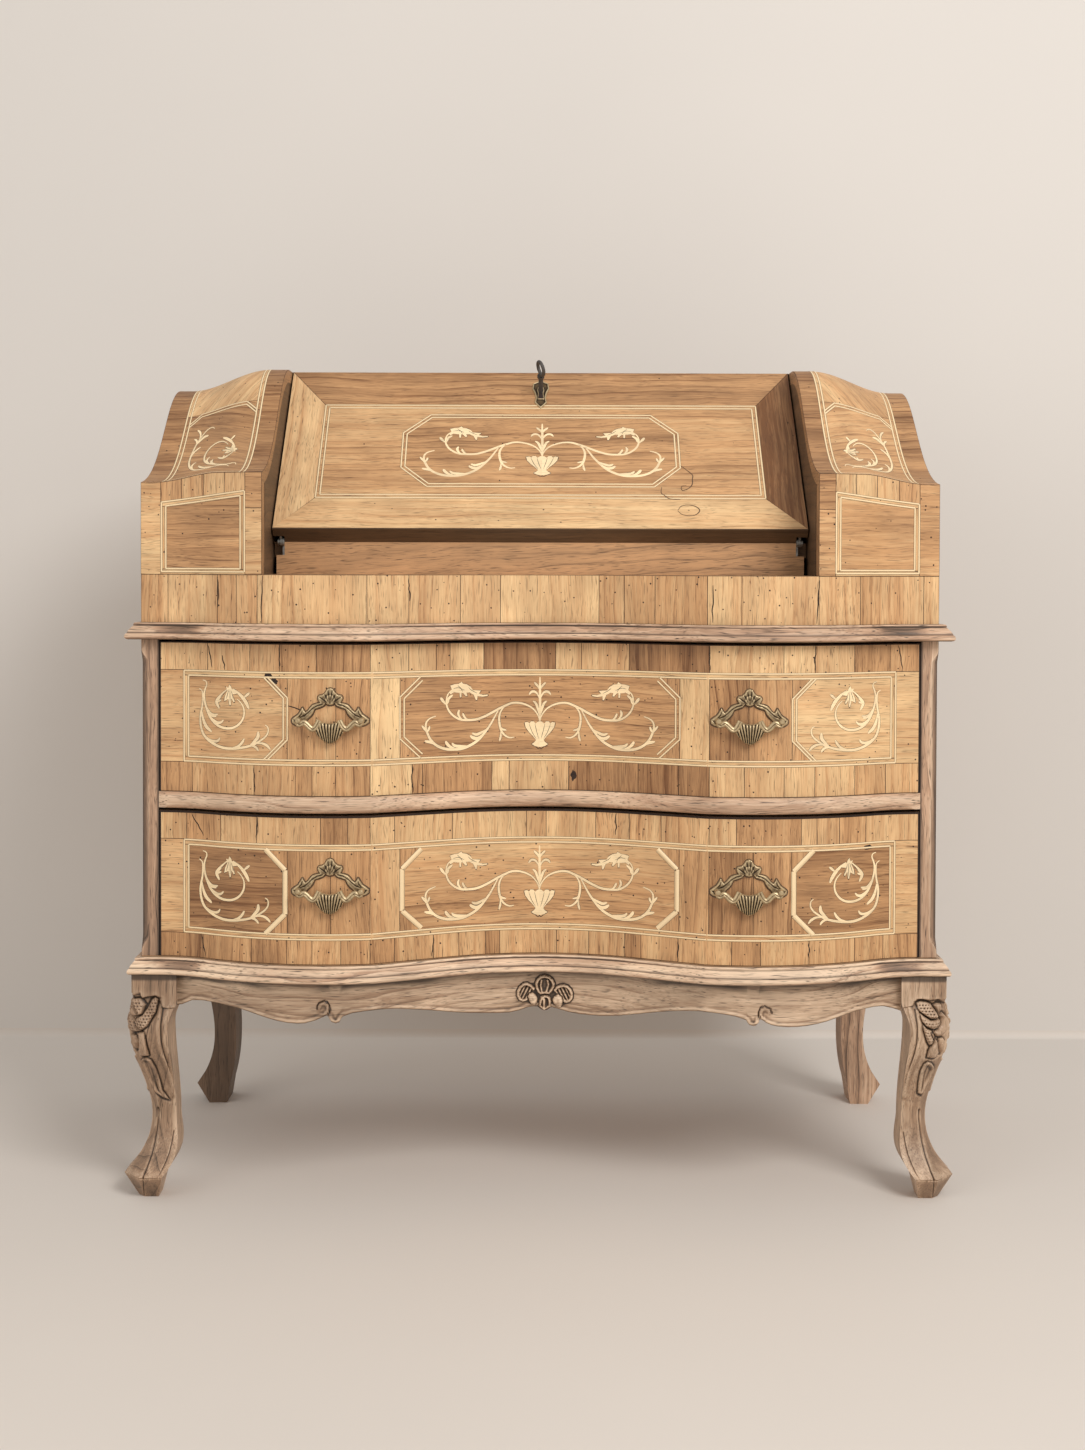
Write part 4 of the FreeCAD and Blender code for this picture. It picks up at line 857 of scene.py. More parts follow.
def node_tree(name, inputs):
    """An empty geometry tree with a mesh input, named inputs and a mesh output."""
    tree = bpy.data.node_groups.new(name, "GeometryNodeTree")
    tree.interface.new_socket("Geometry", in_out="INPUT", socket_type="NodeSocketGeometry")
    for label, kind in inputs.items():
        tree.interface.new_socket(label, in_out="INPUT", socket_type=f"NodeSocket{kind}")
    tree.interface.new_socket("Geometry", in_out="OUTPUT", socket_type="NodeSocketGeometry")
    return tree


def grown(mesh, tree, values):
    """The plain mesh that a geometry tree makes of a mesh."""
    seed = bpy.data.objects.new(mesh.name, mesh)
    bpy.context.scene.collection.objects.link(seed)
    modifier = seed.modifiers.new("Geometry", "NODES")
    modifier.node_group = tree
    for item in tree.interface.items_tree:
        if item.in_out == "INPUT" and item.name in values:
            modifier[item.identifier] = values[item.name]
    result = bpy.data.meshes.new_from_object(seed.evaluated_get(bpy.context.evaluated_depsgraph_get()))
    bpy.data.objects.remove(seed)
    return result


def string_tree():
    """Flat strips of wood along the edges of a mesh, each facing out of its surface."""
    tree = node_tree("Stringing", {"Width": "Float", "Thickness": "Float", "Wood": "Material"})
    given = add(tree, "NodeGroupInput")
    paths = add(tree, "GeometryNodeMeshToCurve", {"Mesh": given.outputs["Geometry"]})
    facing = add(tree, "GeometryNodeInputNamedAttribute", {"Name": "facing"}, data_type="FLOAT_VECTOR")
    aimed = add(tree, "GeometryNodeSetCurveNormal",
                {"Curve": paths.outputs[0], "Normal": facing.outputs["Attribute"]}, mode="FREE")
    section = add(tree, "GeometryNodeCurvePrimitiveQuadrilateral",
                  {"Width": given.outputs["Thickness"], "Height": given.outputs["Width"]})
    swept = add(tree, "GeometryNodeCurveToMesh", {"Curve": aimed.outputs[0],
                                                  "Profile Curve": section.outputs[0], "Fill Caps": True})
    real = add(tree, "GeometryNodeRealizeInstances", {"Geometry": swept.outputs[0]})
    coated = add(tree, "GeometryNodeSetMaterial",
                 {"Geometry": real.outputs[0], "Material": given.outputs["Wood"]})
    add(tree, "NodeGroupOutput", {0: coated.outputs[0]})
    return tree


STRING_THICK, STRING_STEP = 0.0004, 6
# The dark line on both sides of a string
STRING_EDGE, STRING_EDGE_THICK = 0.0007, 0.0002


def stringing(name, body, surface, runs, width=None):
    """Lines of stringing on a surface: each run is a list of corners."""
    points, edges, facing = [], [], []
    lift = sizes().veneer
    for run in runs:
        for first, last in zip(run, run[1:]):
            reach = Vector(last) - Vector(first)
            parts = max(1, math.ceil(reach.length / STRING_STEP))
            for i in range(parts + 1):
                u, v = Vector(first) + reach * (i / parts)
                points.append(surface(u, v, lift))
                across = surface(u + 0.5, v, lift) - surface(u - 0.5, v, lift)
                upward = surface(u, v + 0.5, lift) - surface(u, v - 0.5, lift)
                facing.append(across.cross(upward).normalized())
                if i:
                    edges.append((len(points) - 2, len(points) - 1))
    mesh = bpy.data.meshes.new(name)
    mesh.from_pydata(points, edges, [])
    field = mesh.attributes.new("facing", "FLOAT_VECTOR", "POINT")
    field.data.foreach_set("vector", [part for vector in facing for part in vector])
    tree = bpy.data.node_groups.get("Stringing") or string_tree()
    width = width or sizes().string
    for label, wide, thick, finish in (
            (name, width, STRING_THICK, "yellowed_maple_inlay"),
            (f"{name}_edges", width + STRING_EDGE, STRING_EDGE_THICK, "grimy_walnut_x")):
        made = grown(mesh.copy(), tree, {"Width": wide, "Thickness": thick, "Wood": finish_of(finish)})
        made.name = label
        placed(label, made, body, None, "walnut_veneer")


def ring(outline):
    return list(outline) + [outline[0]]


# Layout of the veneer, in millimetres: right end and tone of each leaf, from dark -1 to light 1

UPPER_TOP = ((-397, 0.35), (-343, 0.3), (-307, 0.1), (-263, -0.15), (-200, -0.35), (-156, 0.6), (-124, 0.3),
             (-108, -0.15), (-68, 0.5), (19, -0.5), (50, 0.35), (107, 0.3), (200, -0.6), (287, 0.4),
             (325, 0.55), (374, 0.3), (420, -0.3), (457.5, -0.1))
UPPER_BOTTOM = ((-417, -0.1), (-338, 0.25), (-288, 0.05), (-268, -0.1), (-240, 0.15), (-200, 0.05),
                (-152, 0.8), (-140, -0.3), (-58, -0.2), (-37, 0.6), (35, 0.4), (118, -0.55), (165, -0.6),
                (200, -0.5), (241, 0.4), (288, 0.4), (325, 0.5), (375, 0.3), (415, 0.1), (457.5, 0.2))
LOWER_TOP = ((-424, 0.3), (-380, -0.2), (-335, 0.3), (-258, 0.25), (-226, -0.35), (-200, 0.1), (-172, 0.55),
             (-105, 0.5), (-16, 0.45), (8, 0.15), (68, 0.4), (108, 0.3), (145, 0.2), (200, 0.15), (232, 0.35),
             (309, -0.2), (328, 0.2), (356, 0.3), (390, -0.1), (457.5, 0.3))
LOWER_BOTTOM = ((-403, -0.3), (-341, 0.0), (-298, -0.35), (-268, 0.0), (-234, 0.1), (-200, 0.0),
                (-172, -0.25), (-127, 0.15), (-97, 0.3), (-65, 0.2), (-48, -0.45), (21, 0.2), (60, 0.2),
                (103, 0.15), (122, -0.3), (165, 0.15), (227, 0.2), (261, -0.35), (319, 0.2), (376, 0.2),
                (413, 0.0), (457.5, 0.05))
FRIEZE = ((-447, 0.3), (-384, 0.4), (-360, 0.1), (-334, 0.2), (-204, 0.4), (-156, 0.55), (-96, 0.4),
          (-48, 0.45), (71, 0.5), (101, 0.2), (137, 0.15), (197, 0.1), (237, 0.6), (329, 0.35), (381, 0.3),
          (461, 0.2), (479.5, 0.25))
DRAWERS = {
    "upper": {"low": 490.3, "high": 670.0, "rim": (526.0, 636.5), "top": UPPER_TOP, "bottom": UPPER_BOTTOM,
              "ends": (0.3, 0.45), "panels": (0.2, 0.5),
              "fields": (((297.5, -0.05), (240, -0.25)), ((297.5, 0.0), (246, -0.5))), "bands": (0.9, 0.55),
              "middle": -0.22, "corners": -0.1, "shadow_and_grime": 1.2,
              "string_insets": (0.0, 4.8), "string_width": None},
    "lower": {"low": 291.3, "high": 467.0, "rim": (320.0, 433.0), "top": LOWER_TOP, "bottom": LOWER_BOTTOM,
              "ends": (0.3, 0.35), "panels": (-0.45, -0.45),
              "fields": (((297.5, -0.2), (246, -0.2)), ((297.5, -0.3), (252, -0.5))), "bands": (0.2, 0.1),
              "middle": 0.1, "corners": -0.1, "shadow_and_grime": 2.6,
              "string_insets": (2.6,), "string_width": 0.0058},
}
DRAWER_HALF, RIM_X, RIM_BAND, RIM_STRING = 457.5, 428.0, 6.5, 0.8
PANEL_EDGE, FIELD_EDGE, BAND_EDGE, CORNER = 297.5, 200.0, 166.0, 24.0
RIM_TONE = 0.5
# Painted shadow along a drawer front's ends and top: its width at the ends, and how far it stands over the
# veneer
SHADOW_END, GRIME_LIFT = 1.8, 5e-5


def drawer_leaves(name, plan):
    """The veneer of one drawer front: crossbanded edges, three panels, two handle fields, and dark strips of
    painted shadow along its top and its ends.
    """
    leaves = Leaves(serpentine_face(), seed=len(name) + int(plan["low"]))
    low, high = plan["rim"]
    floor, roof = low + RIM_BAND, high - RIM_BAND
    leaves.row(-DRAWER_HALF, plan["top"], high, plan["high"])
    leaves.row(-DRAWER_HALF, plan["bottom"], plan["low"], low)
    for foot, head in ((roof, high), (low, floor)):
        leaves.leaf(oblong(-RIM_X, RIM_X, foot, head), 0.0, RIM_TONE)
    cut, rim = PANEL_EDGE + CORNER, RIM_X - RIM_BAND
    end_panel = [(rim, floor), (cut, floor), (PANEL_EDGE, floor + CORNER), (PANEL_EDGE, roof - CORNER),
                 (cut, roof), (rim, roof)]
    halves = [plan[part] for part in ("ends", "panels", "fields", "bands")]
    for side, end, panel, field, band in zip(SIDES, *halves):
        leaves.leaf(side_oblong(side, RIM_X, DRAWER_HALF, low, high), 0.0, end)
        leaves.leaf(side_oblong(side, rim, RIM_X, floor, roof), QUARTER, RIM_TONE)
        for (far, tone), near in zip(field, (field[1][0], FIELD_EDGE)):
            leaves.leaf(side_oblong(side, near, far, floor, roof), QUARTER, tone)
        leaves.leaf(side_oblong(side, BAND_EDGE, FIELD_EDGE, floor, roof), QUARTER, band)
        leaves.leaf(mirrored(side, end_panel), 0.0, panel)
        for foot, tip in ((floor, floor + CORNER), (roof, roof - CORNER)):
            for edge, depth in ((PANEL_EDGE, CORNER), (BAND_EDGE, -CORNER)):
                triangle = [(edge, foot), (edge + depth, foot), (edge, tip)]
                leaves.leaf(mirrored(side, triangle), QUARTER, plan["corners"])
    leaves.leaf(cut_corners(BAND_EDGE, floor, roof, CORNER), 0.0, plan["middle"])
    # Painted shadow: dark strips along the top, under the rail or moulding, and at the ends beside the posts
    shadow_and_grime, lift = Leaves(serpentine_face()), sizes().veneer + GRIME_LIFT
    edge = plan["high"] - plan["shadow_and_grime"]
    shadow_and_grime.lay([oblong(-DRAWER_HALF, DRAWER_HALF, edge, plan["high"])], thick=lift)
    for side in SIDES:
        shadow_and_grime.lay([side_oblong(side, DRAWER_HALF, DRAWER_HALF - SHADOW_END, plan["low"], edge)], thick=lift)
    shadow_and_grime.piece(f"{name}_drawer_grime", f"{name}_drawer", "charred_wood")
    leaves.piece(f"{name}_drawer_veneer", f"{name}_drawer")


def cut_corners(half, low, high, corner, inset=0.0):
    """An oblong about the middle with its corners cut off."""
    half, low, high = half - inset, low + inset, high - inset
    corner -= inset * 0.6
    return [(-half + corner, low), (half - corner, low), (half, low + corner), (half, high - corner),
            (half - corner, high), (-half + corner, high), (-half, high - corner), (-half, low + corner)]


def drawer_strings(name, plan):
    """The stringing of one drawer front."""
    low, high = plan["rim"]
    floor, roof = low + RIM_BAND, high - RIM_BAND
    rims = [ring(oblong(-RIM_X + d, RIM_X - d, low + d, high - d)) for d in (RIM_STRING, RIM_BAND)]
    panels = []
    for inset in plan["string_insets"]:
        middle = cut_corners(BAND_EDGE, floor, roof, CORNER, inset)
        panels += [middle[1:5], middle[5:] + middle[:1]]
        edge, cut = PANEL_EDGE + inset, PANEL_EDGE + inset + CORNER
        end = ((cut, floor), (edge, floor + CORNER), (edge, roof - CORNER), (cut, roof))
        panels += [[(side * x, z) for x, z in end] for side in SIDES]
    for label, runs, width in (("rim", rims, None), ("panel", panels, plan["string_width"])):
        stringing(f"{name}_drawer_{label}_strings", f"{name}_drawer", serpentine_face(), runs, width)


# Scrolls of the inlay: millimetres about the middle of the panel, right half

URN_STEMS = ((3.0, ((0.4, -6.9), (1.4, -2.6), (3.8, 2.2), (8.8, 7.9), (16.1, 12.1), (25.2, 14.6),
                    (33.7, 14.5), (40.9, 11.8), (49.4, 7.9), (59, 2.6), (67.4, -1.5), (76.4, -4.6),
                    (85.9, -5.2), (94.8, -4.5), (101.9, -1.1), (107.8, 4.5), (111, 10.5), (112.2, 16),
                    (111.9, 22), (110, 27.2), (106, 31.5))),
             (2.8, ((42.1, 11.4), (47.2, 4.9), (49.3, -2.4), (48.8, -10.9), (46.4, -19.5), (42, -24.9),
                    (36.6, -27.5), (31.1, -26.9))),
             (3.4, ((50, 6.8), (54.2, -1), (59.6, -10.8), (66.2, -20.2), (73.3, -28.5), (81.7, -34.6),
                    (92.4, -39.1), (104.2, -40.1), (114.8, -38.6), (124.2, -34), (130.6, -27.1),
                    (134.1, -19.8), (136.1, -13), (135.6, -6.5), (131.8, -2), (124.5, 0.9))))
URN_LEAVES = ((2.6, ((48.6, -13.4), (45.7, -17), (40.4, -18.5))),
              (2.8, ((47.4, -19.5), (47.4, -25.5), (48.9, -31.5))),
              (3.6, ((63.8, -16.6), (71, -20.8), (76.9, -23), (81.7, -21.1))),
              (4.2, ((68.5, -22.6), (74.5, -27.4), (79.9, -27.1), (84.1, -23.9))),
              (3.6, ((85.3, -36.8), (97.1, -36.5), (102.5, -35.5), (105.6, -32.4))),
              (3.8, ((101.9, -38.9), (108.3, -36.2), (111.9, -32), (112.9, -29.6))),
              (3.6, ((123, -34.4), (130, -30.5), (134.1, -29.4), (137.5, -28.5))),
              (2.8, ((134.4, -19.1), (137.6, -14.2), (140.7, -10))),
              (2.8, ((134.7, -18.5), (132.6, -14.5), (131.7, -10.9))),
              (2.8, ((85.3, -5.2), (89.5, -3.1), (92.1, 1), (92.7, 3.4))),
              (3.0, ((93.6, -4.6), (97.4, 0), (98.2, 3.5), (97, 7.4))),
              (3.6, ((113, 14.4), (116.5, 19.1), (119, 22.8))),
              (3.2, ((112.2, 14.1), (110.2, 17.1), (109.5, 21.4), (104.8, 25.6))),
              (3.2, ((0.1, -1.5), (2.6, 7.6), (4.8, 13.8), (8.2, 16.8))),
              (3.0, ((0.2, 19.2), (3.1, 25.4), (6.3, 28.2), (10.3, 28), (13.1, 24.6))),
              (3.0, ((0.2, 30.1), (2.2, 34.5), (4.4, 37), (6.8, 39.5))))
URN_FLOWER = ((109, 28.5), (106, 32), (107.7, 37), (102.7, 38.4), (97.9, 38.8), (94.2, 41.2), (92.8, 38.9),
              (88.3, 38), (83.7, 35.2), (80.9, 30.9), (71.1, 30.1), (73.7, 26.4), (68.7, 24.9),
              (63.1, 25.2), (63.1, 23.5), (69.2, 22.5), (75.4, 23.5), (75.8, 18.6), (77.4, 18.8),
              (80.1, 25.2), (84.8, 28), (88.5, 27.9), (87.3, 23.9), (89.4, 23.6), (92.8, 27.8),
              (94.4, 27.8), (94.5, 22.5), (96.4, 22.2), (96.8, 27.9), (99.9, 28.1), (103.2, 28.8),
              (107.2, 26.2))
URN = ((0, -7.5), (2.6, -8.2), (5.2, -10.6), (7.4, -7.8), (11.1, -7.8), (12.5, -10.5), (14.7, -8.5),
       (18.6, -9.2), (17.3, -15.2), (13.2, -20.9), (8.1, -26.2), (4.7, -30.6), (6.4, -32.9), (10, -35.5),
       (5.6, -38.1), (0, -39.1))
URN_STEM = (3.0, ((0, -7.5), (0.2, 8.4), (0.1, 25.4), (0, 46)))
URN_CUTS = (((13, -11), (9.3, -20.9), (4.7, -28.6)), ((6, -11), (4, -19.6), (1.5, -28.6)),
            ((104, 33), (98, 34), (91, 31)), ((99, 37), (95, 33), (93, 29)), ((86, 34), (83, 31), (76, 27)))
CORNER_STEMS = ((3.0, ((-43.2, 44.5), (-39.3, 43.3), (-38, 39.6), (-40.1, 34), (-41.4, 28.5), (-40.9, 20.1),
                       (-38.7, 11.9), (-34.1, 1.5), (-28.8, -5.2), (-21.7, -9.9), (-13.3, -12),
                       (-4.4, -11.1), (3.2, -6.8), (8.3, 0.1), (9.9, 7.3), (8.6, 14.4), (4.5, 20.3),
                       (1.4, 22.8))),
                (3.2, ((-47.8, 34.3), (-44.1, 31.3), (-43.2, 23.6), (-43.8, 13.9), (-45.6, 5.3),
                       (-46.4, -3.2), (-45.2, -12.7), (-42, -20.8), (-35.4, -27.4), (-26.2, -32.5),
                       (-15.9, -35.5), (-4.4, -35.8), (7, -34.3), (17, -31.9), (23.2, -29.4), (30.6, -24.8),
                       (36.1, -20.4), (39.2, -15.5), (39.5, -10.8), (38, -7.9), (35.8, -6.8))))
CORNER_LEAVES = ((4.2, ((-40, 15.4), (-36.7, 8.5), (-32.1, 3.5), (-25.6, 1.6))),
                 (3.2, ((-38, 10.8), (-32.7, 4.7), (-28.2, 3.3), (-23.6, 4.2))),
                 (3.4, ((-36.7, 4.9), (-30.8, -1.8), (-24.3, -5.7), (-19.1, -5), (-16.4, -2.1))),
                 (4.2, ((-44.3, 6.6), (-42.5, -2.8), (-38.7, -10.9), (-31.7, -17))),
                 (3.2, ((-39.3, -23), (-32.8, -27.1), (-26.2, -28.1), (-22.3, -26.2), (-21, -23.4))),
                 (3.2, ((-6.9, -35.6), (2, -32.9), (7, -28.6), (10, -23.4))),
                 (4.2, ((17, -31.5), (22.6, -26.4), (26.9, -20.9), (27.3, -14.5))),
                 (3.2, ((24.4, -29), (31.8, -28.3), (38, -30.9), (42.1, -35.3))),
                 (3.0, ((17, -31.8), (22.6, -32.4), (25.7, -34.6), (27.5, -37.5))),
                 (4.0, ((-10.7, 35.2), (-17.8, 28.7), (-24, 21.8), (-24.9, 17.9), (-21.7, 11.3))),
                 (2.4, ((-23.9, 18.6), (-21.6, 20.2), (-19.1, 21.5))),
                 (4.4, ((-4.3, 35), (2.6, 30.3), (8.3, 24.7), (12.4, 18.8), (15.8, 11.9))),
                 (3.2, ((8.9, 24.5), (12.6, 27.7), (16.5, 31))))
CORNER_FLOWER = ((-13.3, 37.5), (-10.2, 36.3), (-8.7, 40.4), (-6.6, 37.9), (-5.6, 34.9), (-1.2, 34.5),
                 (0.7, 29.4), (-4.5, 28.8), (-3.5, 24.8), (-1.8, 19.9), (-3.6, 19.2), (-6.2, 23.9),
                 (-7, 15.7), (-8.5, 15.3), (-10.2, 22.9), (-12.5, 21.5), (-15.5, 20.1), (-14.6, 25.9),
                 (-11.2, 33.1))
CORNER_CUTS = (((-9.4, 34), (-12.8, 23)), ((-8, 34), (-7.8, 19)), ((-6.4, 33), (-3.6, 23)),
               ((-12, 33), (-20, 25)))
# The inlay's face over its board, and how far the layers of a scroll lie above or below it: none coincide
INLAY_RISE = 0.00055
LEAF_OVER, SHAPE_OVER, URN_OVER, CUT_OVER = 4e-6, 8e-6, 2e-5, 4e-5
STEM_SHADE, LEAF_SHADE, SHAPE_SHADE = -6e-5, -5e-5, -4e-5
# How much wider a stem's or a leaf's shade is, and the widths of a form's shade and of an engraved line
SHADE_MORE, SHADE_WIDE, CUT_WIDE = 0.8, 0.9, 0.6
LEAF_PEAK = 0.66


def mapped(centre, scale, side, turned=False):
    """Where a point of a scroll lands on its surface; a turned one lies on its side."""
    def place(point):
        x, y = (point[1], point[0]) if turned else point
        return centre[0] + side * x * scale[0], centre[1] + y * scale[1]
    return place


def scroll_inlay(leaves, cuts, place, stems, sprays, shapes, lines):
    """Stems, leaves and filled forms of a scroll, and the lines engraved in them."""
    for width, points in stems:
        leaves.stroke(points, width, INLAY_RISE, place)
        cuts.stroke(points, width + SHADE_MORE, INLAY_RISE + STEM_SHADE, place)
    for width, points in sprays:
        leaves.stroke(points, width, INLAY_RISE + LEAF_OVER, place, LEAF_PEAK)
        cuts.stroke(points, width + SHADE_MORE, INLAY_RISE + LEAF_SHADE, place, LEAF_PEAK)
    for i, outline in enumerate(shapes):
        leaves.shape(outline, INLAY_RISE + SHAPE_OVER + i * LEAF_OVER, place)
        cuts.stroke(ring(outline), SHADE_WIDE, INLAY_RISE + SHAPE_SHADE, place)
    for points in lines:
        cuts.stroke(points, CUT_WIDE, INLAY_RISE + CUT_OVER, place)


def urn_inlay(name, body, surface, centre, scale):
    """The urn with a stem between two pairs of leafy scrolls."""
    leaves, cuts = Leaves(surface, seed=3), Leaves(surface, seed=4)
    for side in SIDES:
        scroll_inlay(leaves, cuts, mapped(centre, scale, side), URN_STEMS, URN_LEAVES, (URN_FLOWER, URN),
                     URN_CUTS)
    leaves.stroke(URN_STEM[1], URN_STEM[0], INLAY_RISE + URN_OVER, mapped(centre, scale, 1))
    leaves.piece(f"{name}_scrolls", body, "yellowed_maple_inlay")
    cuts.piece(f"{name}_engraving", body, "charred_wood")


def corner_inlay(name, body, surface, centre, scale, turned=False):
    """A curling branch with a flower on each side."""
    leaves, cuts = Leaves(surface, (6.0, 4.0), 5), Leaves(surface, seed=6)
    for side in SIDES:
        place = mapped((side * centre[0], centre[1]), scale, -side, turned)
        scroll_inlay(leaves, cuts, place, CORNER_STEMS, CORNER_LEAVES, (CORNER_FLOWER,), CORNER_CUTS)
    leaves.piece(f"{name}_scrolls", body, "yellowed_maple_inlay")
    cuts.piece(f"{name}_engraving", body, "charred_wood")


# Operators

class DeskOperator:
    bl_options = {"REGISTER", "UNDO"}

    def execute(self, context):
        self.make()
        return {"FINISHED"}


class DESK_OT_finishes(DeskOperator, bpy.types.Operator):
    """Make the finishes and lay them on the parts whose plain shape is right"""
    bl_idname = "desk.finishes"
    bl_label = "Finishes"

    PLAIN = {
        "planed_walnut_y": ("left_case_side", "right_case_side", "left_desk_side", "right_desk_side",
                            "left_shoulder", "right_shoulder", "side_aprons"),
        "planed_walnut_x": ("bottom_board", "waist_board", "deck", "writing_bed", "top_board",
                            "pigeonholes", "frieze", "left_cheek_front", "right_cheek_front",
                            "upper_drawer_front", "lower_drawer_front", "fall_panel", "front_apron",
                            "apron_shell"),
        # The fall's rails and stiles and the partitions are brown-black as soiling and painted shade
        "grimy_walnut_x": ("fall_top_rail", "fall_bottom_rail"),
        "grimy_walnut_y": ("left_partition", "right_partition", "fall_right_stile", "fall_left_stile"),
        "figured_walnut_plank": ("hinge_plank",),
        "bleached_walnut_moulding_x": ("drawer_rail", "waist_moulding_front", "base_moulding_front"),
        # Painted light on the back legs: the right one gets this lighter finish, the left one a darker copy
        # of the carving as painted shade
        "bleached_walnut_moulding_z": ("left_post", "right_post", "rear_right_leg"),
        "bleached_walnut_moulding_y": ("waist_moulding_sides", "base_moulding_sides"),
        "bleached_walnut_carving": ("front_right_leg", "front_left_leg"),
        "stained_walnut_carving": ("rear_left_leg",),
        "aged_pine_x": ("rear_rail", "back_panel", "upper_drawer_back", "lower_drawer_back",
                        "upper_drawer_bottom", "lower_drawer_bottom"),
        "aged_pine_y": ("drawer_runners", "upper_drawer_sides", "lower_drawer_sides"),
        "aged_cast_brass": ("escutcheon", "upper_handle_plates", "lower_handle_plates", "upper_right_bail",
                            "upper_left_bail", "lower_right_bail", "lower_left_bail"),
        "blackened_iron": ("lock_case", "lock_bolt", "key"),
        "rubbed_steel": ("hinge_plates_fixed", "hinge_plates_turning"),
    }

    def make(self):
        make_finishes()
        left = set(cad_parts)
        for finish, nodes in self.PLAIN.items():
            for name in nodes:
                left.discard(name)
                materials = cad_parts[name].data.materials
                materials.clear()
                materials.append(finish_of(finish))
        if left:
            raise RuntimeError(f"parts without a finish: {sorted(left)}")


class DESK_OT_drawer_veneer(DeskOperator, bpy.types.Operator):
    """Veneer the drawer fronts and lay their strings and scrolls"""
    bl_idname = "desk.drawer_veneer"
    bl_label = "Drawer veneer"

    def make(self):
        for name, plan in DRAWERS.items():
            drawer_leaves(name, plan)
            drawer_strings(name, plan)
            middle = sum(plan["rim"]) / 2
            urn_inlay(f"{name}_drawer", f"{name}_drawer", serpentine_face(), (0, middle), (1.0, 1.0))
            corner_inlay(f"{name}_drawer_corner", f"{name}_drawer", serpentine_face(), (360, middle - 1),
                         (1.0, 1.0))


